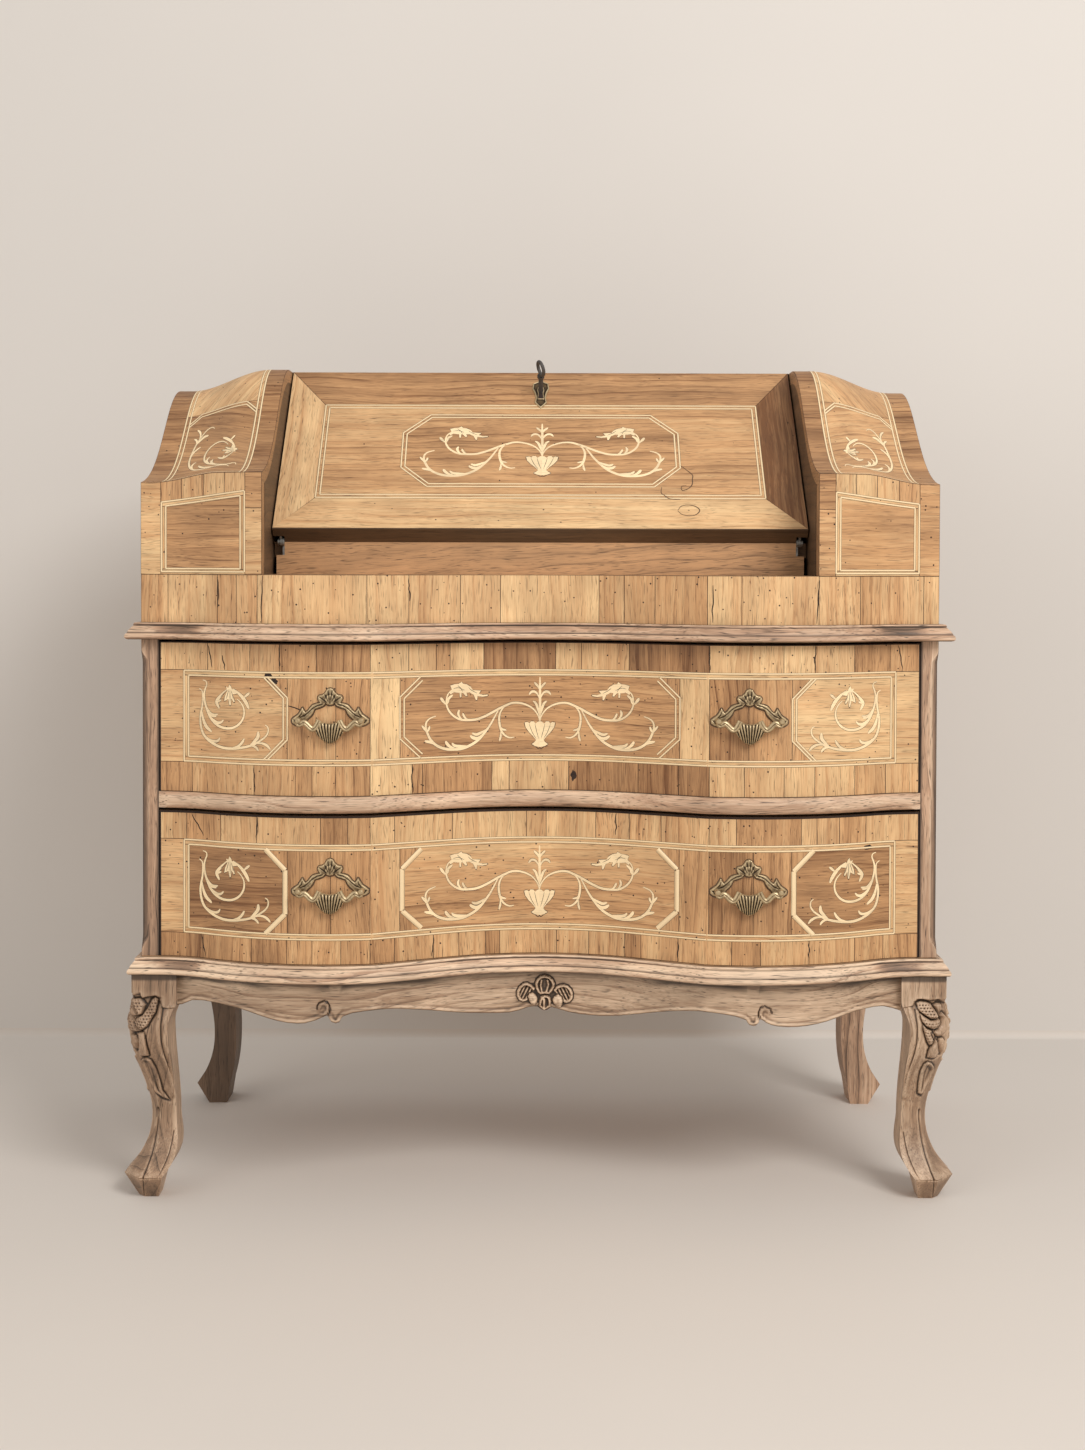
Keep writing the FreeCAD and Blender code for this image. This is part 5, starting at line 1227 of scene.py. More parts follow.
class DESK_OT_case_veneer(DeskOperator, bpy.types.Operator):
    """Veneer the frieze, the cheeks and the shoulders"""
    bl_idname = "desk.case_veneer"
    bl_label = "Case veneer"

    # Tones of the leaves on the left and on the right side; the shoulder's slopes are darker partly as
    # painted shade
    TONES = ({"outer": 0.4, "inner": 0.3, "above": 0.3, "panel": -0.3, "rim": 0.45,
              "slope_outer": -0.55, "slope_inner": -0.6, "slope_low": -0.3, "slope_high": 0.3},
             {"outer": -0.1, "inner": 0.0, "above": 0.35, "panel": -0.05, "rim": 0.4,
              "slope_outer": -0.4, "slope_inner": -0.55, "slope_low": -0.05, "slope_high": 0.1})
    # The cheek's panel: its edges from the middle, its foot, its slanting top, and the band round it
    OUTER, INNER, FOOT, SILL = 455.5, 349.0, 753.5, 757.0
    TOP, TOP_FALL, BAND, RIM = 851.0, 13.0, 6.0, 0.8
    # Heights on the cheek as a whole and on its crown, which both end at the lip
    FULL, SHADED, CROWN = 115.0, 75.0, 24.0
    FRIEZE_FOOT = 693.0
    CROWN_LEAVES = ((349, 375, 0.05), (375, 402, 0.1), (402, 430, -0.1), (430, 455.5, -0.4))
    # The shoulder: its bands from the middle, the string across it and that string's cut corners
    SLOPE_BANDS, SLOPE_CROSS, FLAT = (453.5, 351.0), 168.0, 168.0
    SLOPE_STRING, CORNER_RUN, CORNER_RISE, FOOT_STRING = 5.2, 20, 16, 7

    def make(self):
        frieze = Leaves(serpentine_face(), seed=11)
        frieze.row(-HALF_CASE, FRIEZE, self.FRIEZE_FOOT, LEDGE_Z)
        frieze.piece("frieze_veneer", "case")
        for side, tones in zip(SIDES, self.TONES):
            self.cheek(side, tones)
            self.shoulder(side, tones)
        middle = sum(self.SLOPE_BANDS) / 2
        corner_inlay("shoulder", "case", shoulder_face, (middle + 3, 90), (0.84, 1.14), True)

    def cheek(self, side, tones):
        """A cheek's front: a panel with a string round it between crossbanded edges."""
        name, line = HANDS[side], FrontLine(MM)
        outer, inner, band = self.OUTER, self.INNER, self.BAND

        def top(x):
            """Height of the panel's slanting top string."""
            return self.TOP - self.TOP_FALL * ((abs(x) - inner) / (outer - inner))

        def below(u, v, lift):
            """X and height."""
            return line.point(u * MM, v * MM) + FRONT * lift

        def above(u, v, lift):
            """From the panel's top string up to the lip."""
            low = top(u)
            return below(u, low + (lip_height(u) - low) * (v / self.CROWN), lift)

        def full(u, v, lift):
            """From the ledge up to the lip."""
            return below(u, LEDGE_Z + (lip_height(u) - LEDGE_Z) * (v / self.FULL), lift)

        upright = Leaves(full, seed=21 + side)
        for first, last, low, high, tone in (
                (outer, HALF_CASE, 0, self.FULL, tones["outer"]),
                (INNER_X, inner, 0, self.SHADED, tones["inner"]),
                (INNER_X, inner, self.SHADED, self.FULL, tones["inner"] - 0.45)):
            upright.leaf(side_oblong(side, first, last, low, high), 0.0, tone)
        upright.piece(f"{name}_cheek_edges", "case")
        crown = Leaves(above, seed=31 + side)
        for first, last, shift in self.CROWN_LEAVES:
            crown.leaf(side_oblong(side, first, last, 0, self.CROWN), QUARTER, tones["above"] + shift)
        crown.piece(f"{name}_cheek_crown", "case")
        rims = []
        for inset in (self.RIM, band):
            far, near, low = outer - inset, inner + inset, self.FOOT + inset * 0.7
            rims.append(mirrored(side, [(far, low), (near, low), (near, top(near) - inset),
                                        (far, top(far) - inset)]))
        panel = Leaves(below, seed=41 + side)
        panel.leaf(rims[1], 0.0, tones["panel"])
        sill = self.SILL
        panel.leaf(mirrored(side, [(outer, LEDGE_Z), (inner, LEDGE_Z), (inner, sill), (outer, sill)]), 0.0,
                   tones["rim"])
        low = sill + 0.2
        for first, last in ((outer, outer - band), (inner + band, inner)):
            panel.leaf(mirrored(side, [(first, low), (last, low), (last, top(last) - band),
                                       (first, top(first) - band)]), QUARTER, tones["rim"])
        panel.leaf(mirrored(side, [(outer, top(outer) - band), (inner, top(inner) - band),
                                   (inner, top(inner)), (outer, top(outer))]), 0.0, tones["rim"])
        panel.piece(f"{name}_cheek_panel", "case")
        stringing(f"{name}_cheek_strings", "case", below, [ring(rim) for rim in rims])

    def shoulder(self, side, tones):
        """A shoulder: crossbanded edges, a panel with a branch, a plain field above."""
        name, (outer, inner), cross = HANDS[side], self.SLOPE_BANDS, self.SLOPE_CROSS
        leaves = Leaves(shoulder_face, (6.0, 6.5), 51 + side)
        for first, last, low, high, angle, part in (
                (outer, HALF_CASE, 1, OGEE_LENGTH, 0.0, "outer"),
                (INNER_X, inner, 1, OGEE_LENGTH, 0.0, "inner"),
                (inner, outer, 1, cross, 0.3 * side, "low"),
                (inner, outer, cross, OGEE_LENGTH, -1.0 * side, "high"),
                (INNER_X, HALF_CASE, OGEE_LENGTH, OGEE_LENGTH + self.FLAT, 0.0, "inner")):
            leaves.leaf(side_oblong(side, first, last, low, high), angle, tones[f"slope_{part}"])
        leaves.piece(f"{name}_shoulder_veneer", "case")
        far, near = outer - self.SLOPE_STRING, inner + self.SLOPE_STRING
        runs = []
        for band in (0.0, self.SLOPE_STRING):
            runs += [[(x, 1), (x, OGEE_LENGTH)] for x in (outer - band, inner + band)]
            level = cross - band
            runs.append([(far, level - self.CORNER_RISE), (outer - self.CORNER_RUN, level),
                         (inner + self.CORNER_RUN, level), (near, level - self.CORNER_RISE)])
        runs.append([(near, self.FOOT_STRING), (far, self.FOOT_STRING)])
        stringing(f"{name}_shoulder_strings", "case", shoulder_face,
                  [[(side * x, v) for x, v in run] for run in runs])


class DESK_OT_fall_veneer(DeskOperator, bpy.types.Operator):
    """Veneer the fall and lay its strings and scrolls"""
    bl_idname = "desk.fall_veneer"
    bl_label = "Fall veneer"

    # Half width, foot, top and cut corners of the middle field, and how far it stands on the panel's veneer
    OCTAGON, OCTAGON_OVER = (176.0, 79.0, 211.0, 34.0), 0.0001
    # Insets of the strings round the panel and round the octagon
    PANEL_STRINGS, OCTAGON_STRINGS = (1.0, 6.2), (0.0, 4.8)
    # The lowest leaf stays clear of the plank that the open fall butts against
    HINGE_GAP = 1.6

    def make(self):
        out, half = FALL_HALF, PANEL_HALF
        low, high, end = PANEL_LOW, PANEL_HIGH, FALL_LENGTH
        leaves = Leaves(fall_face, (20.0, 12.0), 71)
        start = self.HINGE_GAP
        # The frame's tones: the right stile much darker as painted shade of its bevel, the left stile and
        # bottom rail lighter and the top rail darker, partly as painted light and shade
        leaves.leaf([(-out, start), (out, start), (half, low), (-half, low)], 0.0, 0.4)
        leaves.leaf([(half, high), (out, end), (-out, end), (-half, high)], 0.0, -0.35)
        leaves.leaf([(-out, 0), (-half, low), (-half, high), (-out, end)], QUARTER, 0.45)
        leaves.leaf([(half, low), (out, 0), (out, end), (half, high)], QUARTER, -0.9)
        wide, foot, roof, corner = self.OCTAGON
        leaves.leaf(oblong(-half, half, low, high), 0.0, 0.05)
        leaves.leaf(cut_corners(wide, foot, roof, corner), 0.0, -0.25,
                    sizes().veneer + self.OCTAGON_OVER)
        leaves.piece("fall_veneer", "fall")
        runs = [ring(oblong(-half + d, half - d, low + d, high - d)) for d in self.PANEL_STRINGS]
        runs += [ring(cut_corners(wide, foot, roof, corner, d)) for d in self.OCTAGON_STRINGS]
        stringing("fall_strings", "fall", fall_face, runs)
        urn_inlay("fall", "fall", fall_face, (2, 143), (1.1, 1.12))


class DESK_OT_mouldings(DeskOperator, bpy.types.Operator):
    """Run the waist and base mouldings round the front and the sides, and nose the drawer rail"""
    bl_idname = "desk.mouldings"
    bl_label = "Mouldings"

    # Foot, reach past the case and tone of each moulding
    RUNS = (("waist", 673.0, 16.9, -0.1), ("base", 270.0, 15.0, 0.25))
    BACK_Y = 248.5
    HALF_STEPS, SIDE_STEPS, NOSE_STEPS = 80, 12, 14
    # Share of the reach and height of the face: a small nose low down, a slope and a fillet at the top
    PROFILE = ((0.0, 0.0), (0.72, 0.0), (0.87, 0.6), (0.97, 1.9), (1.0, 3.8), (0.97, 5.8), (0.9, 7.2),
               (0.84, 7.7), (0.84, 8.5), (0.78, 10.4), (0.69, 12.5), (0.58, 14.5), (0.5, 15.9),
               (0.45, 16.6), (0.46, 17.4), (0.46, 18.7), (0.4, 20.0), (0.0, 20.0))
    # How far each point of the profile is from dark, in the measure of a lift: the quirks and the lower edge
    # are darkened by old soiling and painted shade
    UNSHADED_UNSOILED = [0, 0, 0.3, 9, 9, 9, 0.9, 0.2, 0.3, 9, 9, 9, 9, 0.3, 0.6, 9, 9, 0]
    RAIL_UNSHADED_UNSOILED = [0, 0, 0.8] + [9] * 10 + [0.8, 0.2, 0, 0]
    RAIL_EDGE, RAIL_NOSE, RAIL_BEVEL = 2.0, 8.9, 1.7

    def run(self, name, rings, unshaded_unsoiled, node, tone):
        """One run of moulding along the front as a piece, darkened by soiling and painted shade where its
        profile says.
        """
        mesh = mesh_of(name, *loft(rings))
        mark(mesh, "lift", unshaded_unsoiled * len(rings))
        carved_piece(name, mesh, "case", "bleached_walnut_moulding_x", "moulding_walnut", node, depth=0.6,
                     tone=tone, rubbed_and_lit=0.4)

    def rail(self):
        """The rail between the drawers: a round nose that dies into the posts."""
        low, high = (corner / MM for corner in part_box("drawer_rail"))
        turns = [math.pi * i / self.NOSE_STEPS for i in range(self.NOSE_STEPS + 1)]
        profile = [(self.RAIL_EDGE + (self.RAIL_NOSE - self.RAIL_EDGE) * math.sin(turn),
                    (low.z + high.z) / 2 - (high.z - low.z) / 2 * math.cos(turn)) for turn in turns]
        lines = [FrontLine(reach * MM) for reach, _ in profile]
        rings, end = [], self.HALF_STEPS + 1
        for i in range(-end, end + 1):
            share = max(min(i / self.HALF_STEPS, 1), -1)
            front = [FrontLine().point(share * high.x * MM, z * MM) if abs(i) == end else
                     line.point(share * (high.x - self.RAIL_BEVEL * reach) * MM, z * MM)
                     for line, (reach, z) in zip(lines, profile)]
            rings.append(front + [Vector((share * high.x, high.y, z)) * MM for z in (high.z, low.z)])
        self.run("drawer_rail_nosed", rings, self.RAIL_UNSHADED_UNSOILED, "drawer_rail", 0.15)

    def make(self):
        half, front = HALF_CASE, sizes().front_y / MM
        for label, z, reach, tone in self.RUNS:
            profile = [(share * reach, rise) for share, rise in self.PROFILE]
            lines = [FrontLine(out * MM) for out, _ in profile]
            rings = []
            for i in range(2 * self.HALF_STEPS + 1):
                share = i / self.HALF_STEPS - 1
                rings.append([line.point((half + out) * share * MM, (z + rise) * MM)
                              for line, (out, rise) in zip(lines, profile)])
            self.run(f"{label}_moulding_front_run", rings, self.UNSHADED_UNSOILED, f"{label}_moulding_front", tone)
            shares = [i / self.SIDE_STEPS for i in range(self.SIDE_STEPS + 1)]
            parts = [loft([[Vector((side * (half + out), (front - out) * (1 - share) + self.BACK_Y * share,
                                    z + rise)) * MM for out, rise in profile] for share in shares])
                     for side in SIDES]
            carved_piece(f"{label}_moulding_side_runs", mesh_of(label, *joined(parts)), "case",
                         "bleached_walnut_moulding_y", "moulding_walnut", f"{label}_moulding_sides",
                         depth=0.6, tone=tone)
        self.rail()


class DESK_OT_legs(DeskOperator, bpy.types.Operator):
    """Carve the front legs with their scales, lobes, tongue and grooves"""
    bl_idname = "desk.legs"
    bl_label = "Legs"

    # Height, reach past the case, its slope, width and cut corner of the front leg
    STATIONS = ((270.0, 9.5, 0.0, 52.0, 3.0), (240.0, 9.5, 0.0, 52.0, 4.0), (207.0, 16.5, 0.0, 50.5, 22.0),
                (96.0, -9.0, 0.0, 31.0, 9.0), (28.0, 21.3, -1.0, 49.0, 22.0), (0.0, 4.0, 0.6, 25.0, 8.0))
    # Carving of the left and of the right leg: block's edge, punched scales, smooth lobes, hollow tongue
    BLOCK = (((520, 241.9), (491.7, 241.9), (485, 245), (478.3, 247.3), (476.8, 240.6), (470.6, 243.1),
              (462, 244.4), (456.8, 241), (452.4, 230), (430, 230), (430, 280), (520, 280)),
             ((520, 234), (489.7, 236.4), (483, 240.3), (478.8, 242.7), (474.6, 241.6), (468.6, 240.5),
              (461.4, 242.7), (455.4, 242.5), (451.9, 239.5), (449.5, 234.6), (430, 230), (430, 280),
              (520, 280)))
    SCALES = ((((492.1, 240.4), (479.3, 241.9), (472.5, 233.9), (477.3, 222.7), (481.2, 220.4),
                (486.9, 231.6)),
               ((456.8, 241), (460.1, 224.3), (469.7, 208.9), (477.3, 203.2), (483.1, 204.7),
                (487.3, 211.2), (485, 218.9), (477.3, 221.4), (470.6, 230), (465.8, 239.6), (461, 243.1)),
               ((510, 221.4), (493.7, 221.4), (486.9, 213.7), (484.1, 205.1), (478.3, 201.8),
                (489.8, 198.2), (510, 205.1))),
              (((453.1, 238.3), (457.9, 240.1), (465.1, 239.5), (471.1, 237.1), (474.7, 232.3),
                (479.5, 226.3), (480.2, 221.5), (476, 219.5), (470, 219.5), (462.8, 223.8), (457.5, 227.4),
                (455, 232.2)),
               ((457.5, 226.2), (462.8, 222.1), (470, 218.1), (477.2, 218.3), (482, 219.1), (482, 213),
                (479.1, 208.7), (472.5, 207.7), (465.3, 209.9), (459.9, 215.4), (457.7, 221.4)),
               ((460, 213.5), (465.3, 208.2), (471.3, 206.3), (470.6, 200.9), (473.8, 193.7),
                (472.6, 188.2), (469, 187), (465.4, 192.5), (462.9, 199.7), (460.5, 207))))
    LOBES = ((((495.6, 230), (489.8, 232.3), (481.2, 220.8), (485.6, 215.1), (493.7, 221.4)),
              ((491.7, 195.9), (486.9, 195.1), (482.7, 186.9), (484.1, 178.2), (488.9, 175.3),
               (493.7, 184)),
              ((482.1, 200.9), (474.1, 201.6), (471.6, 185.9), (468.3, 172.5), (479.3, 168.2),
               (483.1, 175.3), (481.8, 186.9))),
             (((474, 235.2), (478.3, 238.3), (483.1, 237.6), (483.8, 232.3), (481.9, 227.5), (480.8, 222.7),
               (477.1, 230.4)),
              ((485.1, 227), (489.2, 222.7), (496, 214.3), (496, 205.8), (488.1, 199.1), (482.2, 196.6),
               (476.6, 198.6), (473.7, 203.8), (476.1, 205.8), (480.9, 206.5), (484, 210.6), (484.2, 217.9),
               (482.7, 222.7)),
              ((470.2, 186.5), (474.5, 190.1), (476.2, 195.4), (479.3, 192.5), (480.6, 184.1),
               (482.3, 176.9), (481.1, 171.6), (475.1, 170.1), (466.2, 172.5), (467.4, 180.4)),
              ((482.2, 194.2), (487, 195), (491, 188.9), (490, 180.5), (485.9, 173.3), (483.5, 178.1),
               (482.2, 186.5))))
    TONGUE = (((480.2, 162.9), (477.9, 167.7), (472.5, 170.2), (466.4, 167.1), (461, 155.2), (457.6, 139.8),
               (455.3, 126.4), (447.2, 113.9), (455.3, 116.8), (463.9, 123.5), (471.6, 137.9)),
              ((468, 167.2), (472.8, 164.8), (477.1, 158.8), (477.7, 153.9), (474.8, 145.5), (470.6, 137),
               (467, 128.6), (463.5, 122.5), (458.6, 124.9), (458.5, 140.6), (459.7, 153.9), (463.2, 163.6)))
    RIDGES = (((455.3, 231.9), (456.8, 214.7), (456.8, 197.4), (454.3, 176.3), (447.2, 153.3), (443.4, 134.1),
               (442.6, 120.6)),
              ((444.7, 231.9), (448.6, 214.7), (449.9, 197.4), (448, 180.1), (442.8, 160.9), (439.9, 141.8)))
    CUTS = ((1.3, 2.6, ((462, 103), (461.8, 93.8), (463.8, 79.5), (466, 63), (468.4, 48.5), (471.4, 36),
                        (473.6, 28))),
            (0.8, 1.2, ((473.6, 28), (474.6, 20), (476, 2))),
            (0.9, 1.2, ((496, 28), (482, 26.6), (473.6, 26.4), (466, 26.8), (452, 27))),
            (0.9, 1.4, ((441.8, 76), (443.4, 64), (445.6, 52), (449, 42), (452.6, 33.5), (455.6, 28))),
            (0.9, 1.0, ((461, 224.3), (468.3, 207), (471.6, 195.5), (469.1, 172.5))),
            (1.0, 1.2, ((451.1, 230), (453, 210.8), (453, 191.7), (449.5, 172.5), (444.7, 153.3),
                        (441.5, 134.1))))

    # The sunk ground of the carving
    GROUND = ((520, 244), (452, 244), (466, 172), (520, 168))
    # Heights between which the rings stand evenly, and how many steps they make there
    LEVELS = ((0, 28, 28), (28, 160, 95), (160, 246, 123))
    TOP_LEVELS = (246, 270, 18)
    # Points on the front face, the cut corner, the outer face and the two hidden ones
    FACE_POINTS = (42, 36, 42, 8, 8)

    def section(self, z):
        """Reach, width and cut corner at a height, on smooth lines through the stations."""
        for high, low in zip(self.STATIONS, self.STATIONS[1:]):
            if z >= low[0]:
                break
        span = high[0] - low[0]
        t = (high[0] - z) / span
        if low[0] == 0:
            return [high[i] * (1 - t) + low[i] * t for i in (1, 3, 4)]
        ease = t * t * (3 - 2 * t)
        reach, width, corner = (high[i] * (1 - ease) + low[i] * ease for i in (1, 3, 4))
        return reach - high[2] * span * t * (1 - t) ** 2 + low[2] * span * t * t * (1 - t), width, corner

    def carving(self, points, leg):
        """Height of the carving over the plain leg, for points seen from the front."""
        height = 2.4 * rise_in(depth_in(points, self.BLOCK[leg]), 0.9)
        height -= rise_in(depth_in(points, self.GROUND), 3.0)
        for outline in self.SCALES[leg]:
            depth = depth_in(points, outline)
            height += pillow(depth, 4.2, 4.0) - outlined(depth)
            height -= 2.0 * stipple(points, 3.6) * rise_in(depth - 1.0, 0.8)
        for outline in self.LOBES[leg]:
            depth = depth_in(points, outline)
            height += pillow(depth, 5.0, 4.0) - outlined(depth)
        depth = depth_in(points, self.TONGUE[leg])
        height += pillow(depth, 2.4, 2.6) - 3.2 * rise_in(depth - 1.8, 4.5) - 0.6 * outlined(depth)
        for path in self.RIDGES:
            height += 2.0 * np.exp(-(gap_to(points, path) / 2.4) ** 2)
        for width, deep, path in self.CUTS:
            height -= deep * np.exp(-(gap_to(points, path) / width) ** 2)
        return height

    def front_leg(self, side):
        """One front leg as rings of points, with its carving raised out of it."""
        levels = np.concatenate([np.linspace(low, high, steps + 1)[:-1] for low, high, steps in self.LEVELS]
                                + [np.linspace(*self.TOP_LEVELS)])
        front = sizes().front_y / MM
        plain_rings, seen, shares = [], [], []
        for z in levels:
            reach, width, corner = self.section(z)
            outer, face = HALF_CASE + reach, front - reach
            corners = [(outer - width, face), (outer - corner, face), (outer, face + corner),
                       (outer, face + width), (outer - width, face + width)]
            middle = Vector((outer - width / 2, face + width / 2))
            plain_ring = []
            for edge, count in enumerate(self.FACE_POINTS):
                first, last = Vector(corners[edge]), Vector(corners[(edge + 1) % len(corners)])
                for i in range(count):
                    point = first.lerp(last, i / count)
                    plain_ring.append((point, (point - middle).normalized()))
                    # The carving runs on round the corner, and fades where it meets its mirror image
                    seen.append((point.x if edge < 2 else outer - (point.y - face), z))
                    near_end = {1: corner * 1.414 * (1 - i / count), 2: width * i / count}.get(edge, 9)
                    shares.append((edge < 3) * float(rise_in(np.array(near_end), 3.0)))
            plain_rings.append((z, plain_ring))
        heights = iter(self.carving(np.array(seen), int(side > 0)) * np.array(shares))
        rings = []
        for z, plain_ring in plain_rings:
            spots = [point + outward * next(heights) for point, outward in plain_ring]
            rings.append([Vector((side * spot.x, spot.y, z)) * MM for spot in spots])
        name = f"front_{HANDS[side]}_leg"
        # The leg's top under the base moulding gets painted shadow
        carved_piece(f"{name}_carved", mesh_of("leg", *loft(rings)), "case", "bleached_walnut_carving",
                     "carved_walnut", name, depth=0.75, crease=0.5, covered=262.0, tone=0.05)

    def make(self):
        for side in SIDES:
            self.front_leg(side)


class DESK_OT_apron(DeskOperator, bpy.types.Operator):
    """Carve the apron with its rolled edge, volutes and shell"""
    bl_idname = "desk.apron"
    bl_label = "Apron"

    # Lower edge of the left and of the right half, from the leg to the middle, and the volutes
    EDGE = (((437, 231), (430, 232.5), (418, 238), (406, 239), (394, 238.6), (382, 238), (370, 236.4),
             (358, 234.8), (346, 232), (334, 228.6), (322, 225.6), (310, 222.8), (298, 221.1), (286, 220.4),
             (277, 221), (264.6, 224.5), (256, 228.4), (250.4, 230.4), (249, 229.2), (247.9, 226.6),
             (245.5, 223), (240.6, 221.2), (235.8, 222.6), (234.4, 225.6), (232.1, 229.2), (220.9, 232.9),
             (204, 235), (192, 235.6), (180, 235.3), (168, 234.2), (156, 232.4), (144, 230.4), (132, 228.4),
             (120, 226.1), (108, 223.7), (96, 221.6), (84, 220.2), (72, 219.2), (60, 218.4), (48, 217.9),
             (36, 218), (24, 220.4), (14, 224), (0, 226)),
            ((437, 226), (426, 230), (414, 233.2), (402, 233.4), (390, 232.4), (378, 230.9), (366, 228.2),
             (354, 224.9), (342, 221.8), (330, 219.6), (318, 218), (306, 217.3), (294, 217.5), (282, 218.6),
             (274, 220.6), (268, 223.4), (262.4, 227), (260.6, 227), (259.2, 222.6), (256, 219.8),
             (253.5, 219.4), (249, 220.4), (246.5, 222.6), (245, 226), (238, 228.6), (231.5, 230.4),
             (222, 232), (213, 233.2), (204, 234), (192, 234.6), (180, 233.8), (168, 232.4), (156, 230.6),
             (144, 228.2), (132, 225.8), (120, 223.2), (108, 220.6), (96, 218.2), (84, 216.9), (72, 216),
             (60, 216.3), (48, 217), (36, 218.8), (24, 222), (14, 224.6), (0, 226)))
    VOLUTES = ((254.7, 238.6), (267, 233.8))
    # The board behind the front, its thickness, half length and top, and the columns in each half
    SETBACK, THICK, HALF, TOP, COLUMNS = 2.0, 20.0, 437.0, 270, 300
    # Rows of points above the lower edge, close together where it is rolled, and the edge's rounding
    ROWS = [0, 0.7, 1.5, 2.3, 3.1, 3.9, 4.7, 5.6, 6.6, 7.8, 9, 10.2, 11.4, 12.6, 14, 15.6, 17.2, 18.8, 20.6,
            23]
    ROUNDING = {0: 0.9, 1: 0.3}
    # The shell's parts, as the carver set them out: a little to the right of the middle
    LOBE = ((6.6, 264.4), (1, 262.8), (-3.1, 259), (-5.3, 253.6), (-4.5, 247.9), (-1.9, 242.6),
            (1.1, 240.1), (7.1, 240.9), (12.7, 240.4), (15.7, 243.8), (18.6, 248.7), (19.3, 253.6),
            (16.8, 259), (12.7, 262.8))
    CURLS = ((((-5, 248.2), (-9.2, 252.3), (-14.3, 254.8), (-19.6, 254.3), (-24.5, 249.8), (-27.2, 244.5),
               (-27.2, 238.8), (-24.5, 233.5), (-20.1, 231.3), (-15.9, 232), (-13, 234.2)),
              ((-7.9, 243), (-4.3, 240.6), (-1.8, 235.7), (-2.6, 230.3), (-5, 226.7), (-9.8, 228.4),
               (-12.8, 233.5), (-14.3, 238.1), (-12.3, 241.8)),
              1.0),
             (((17.4, 246.3), (20.5, 250.2), (25.4, 252.4), (30.2, 253.2), (35.1, 251.7), (39.2, 247.6),
               (41.2, 242.2), (40.7, 236.1), (37.6, 231.7), (33.2, 230.2), (29.8, 231.2)),
              ((23, 240.9), (27.3, 238.5), (29.1, 233.6), (28.6, 228.5), (25.9, 223.8), (20.6, 225.5),
               (17.4, 229.2), (15.9, 234.1), (18.1, 238.2)),
              -1.0))
    BUD = ((6.7, 239.4), (2.3, 237.7), (0.6, 232.8), (-0.6, 226.7), (2.3, 223.5), (6, 221.8), (9.6, 222.8),
           (13.8, 225.5), (14.5, 231.6), (13.2, 236.5), (10.3, 238.9))
    BUD_RIB = ((5.8, 234.5), (6, 222))
    FLUTES = (((2.7, 257.2), (1.8, 251.1), (3.5, 242.6)), ((10.3, 257.3), (11.3, 252.4), (8.4, 242.6)))
    WHOLE = ((6.6, 266), (0, 264.4), (-4.6, 260), (-6.8, 254), (-9.4, 254), (-14.4, 256.4), (-20, 255.8),
             (-25.6, 250.8), (-28.8, 244.8), (-28.6, 238.4), (-25.6, 232.4), (-20.4, 229.8), (-15.6, 230.2),
             (-12.4, 229.4), (-10, 226.6), (-5, 225), (-1.8, 225), (2, 222), (6, 220.4), (10, 221.2),
             (14.2, 224.2), (17.6, 226.6), (20.4, 223.8), (26, 222), (29.8, 227.4), (33.4, 228.6),
             (38.6, 230.4), (42.2, 235.4), (42.8, 242.4), (40.6, 248.4), (35.8, 253.2), (30.2, 254.8),
             (24.8, 254), (20.8, 252), (20.6, 255), (17.8, 260.4), (13.2, 264.4))

    def edge_height(self, x):
        edge = self.EDGE[int(x > 0)][::-1]
        return float(np.interp(abs(x), [p[0] for p in edge], [p[1] for p in edge]))

    def carving(self, points):
        """Height of the rolled edge and the volutes over the board."""
        height = np.zeros(len(points))
        for side, edge, (x, z) in zip(SIDES, self.EDGE, self.VOLUTES):
            half = points * (side, 1)
            here = half[:, 0] >= 0
            gap = gap_to(half, edge)
            roll = 0.8 * np.exp(-((gap - 2.2) / 2.0) ** 2) - 0.2 * np.exp(-((gap - 6.0) / 1.6) ** 2)
            across, above = (half[:, 0] - x) / 7.2, (half[:, 1] - z) / 8.4
            gap = np.hypot(across, above)
            joint = (above < -0.1) & (across > 0)
            curl = 1.6 * np.exp(-((gap - 0.74) / 0.2) ** 2)
            curl -= 0.7 * np.exp(-(np.hypot(across - 0.55, above + 0.25) / 0.2) ** 2)
            rim = np.where(joint, 0, 1.7 * np.exp(-((gap - 1.08) / 0.11) ** 2))
            height = np.where(here, np.where((gap < 1.0) & ~joint, curl, roll) - rim, height)
        return height

    def board(self):
        """The apron board between the legs, with close rows near its edge for the roll."""
        face, back = (FrontLine(-depth * MM) for depth in (self.SETBACK, self.SETBACK + self.THICK))
        columns = []
        for i in range(-self.COLUMNS, self.COLUMNS + 1):
            x = self.HALF * (i / self.COLUMNS)
            low = self.edge_height(x)
            rows = [low + step for step in self.ROWS if low + step < self.TOP - 4]
            rows += list(np.linspace(rows[-1], self.TOP, len(self.ROWS) + 4 - len(rows)))[1:]
            columns.append([(x, z) for z in rows])
        heights = iter(self.carving(np.array([spot for column in columns for spot in column])))
        rings = []
        for column in columns:
            points = [face.point(x * MM, z * MM) + FRONT * (next(heights) - self.ROUNDING.get(row, 0)) * MM
                      for row, (x, z) in enumerate(column)]
            x, low = column[0]
            rings.append(points + [back.point(x * MM, z * MM) for z in (self.TOP, low)])
        mesh = mesh_of("apron", *loft(rings))
        # Painted shade along the lower edge, and painted shadow under the base moulding at the top
        unshaded_unsoiled = [0.2, 0.7] + [9] * (len(rings[0]) - 2)
        mark(mesh, "lift", unshaded_unsoiled * len(rings))
        carved_piece("apron_board", mesh, "case", "bleached_walnut_apron", "carved_walnut", "front_apron",
                     depth=0.5, covered=261.5, tone=0.2)

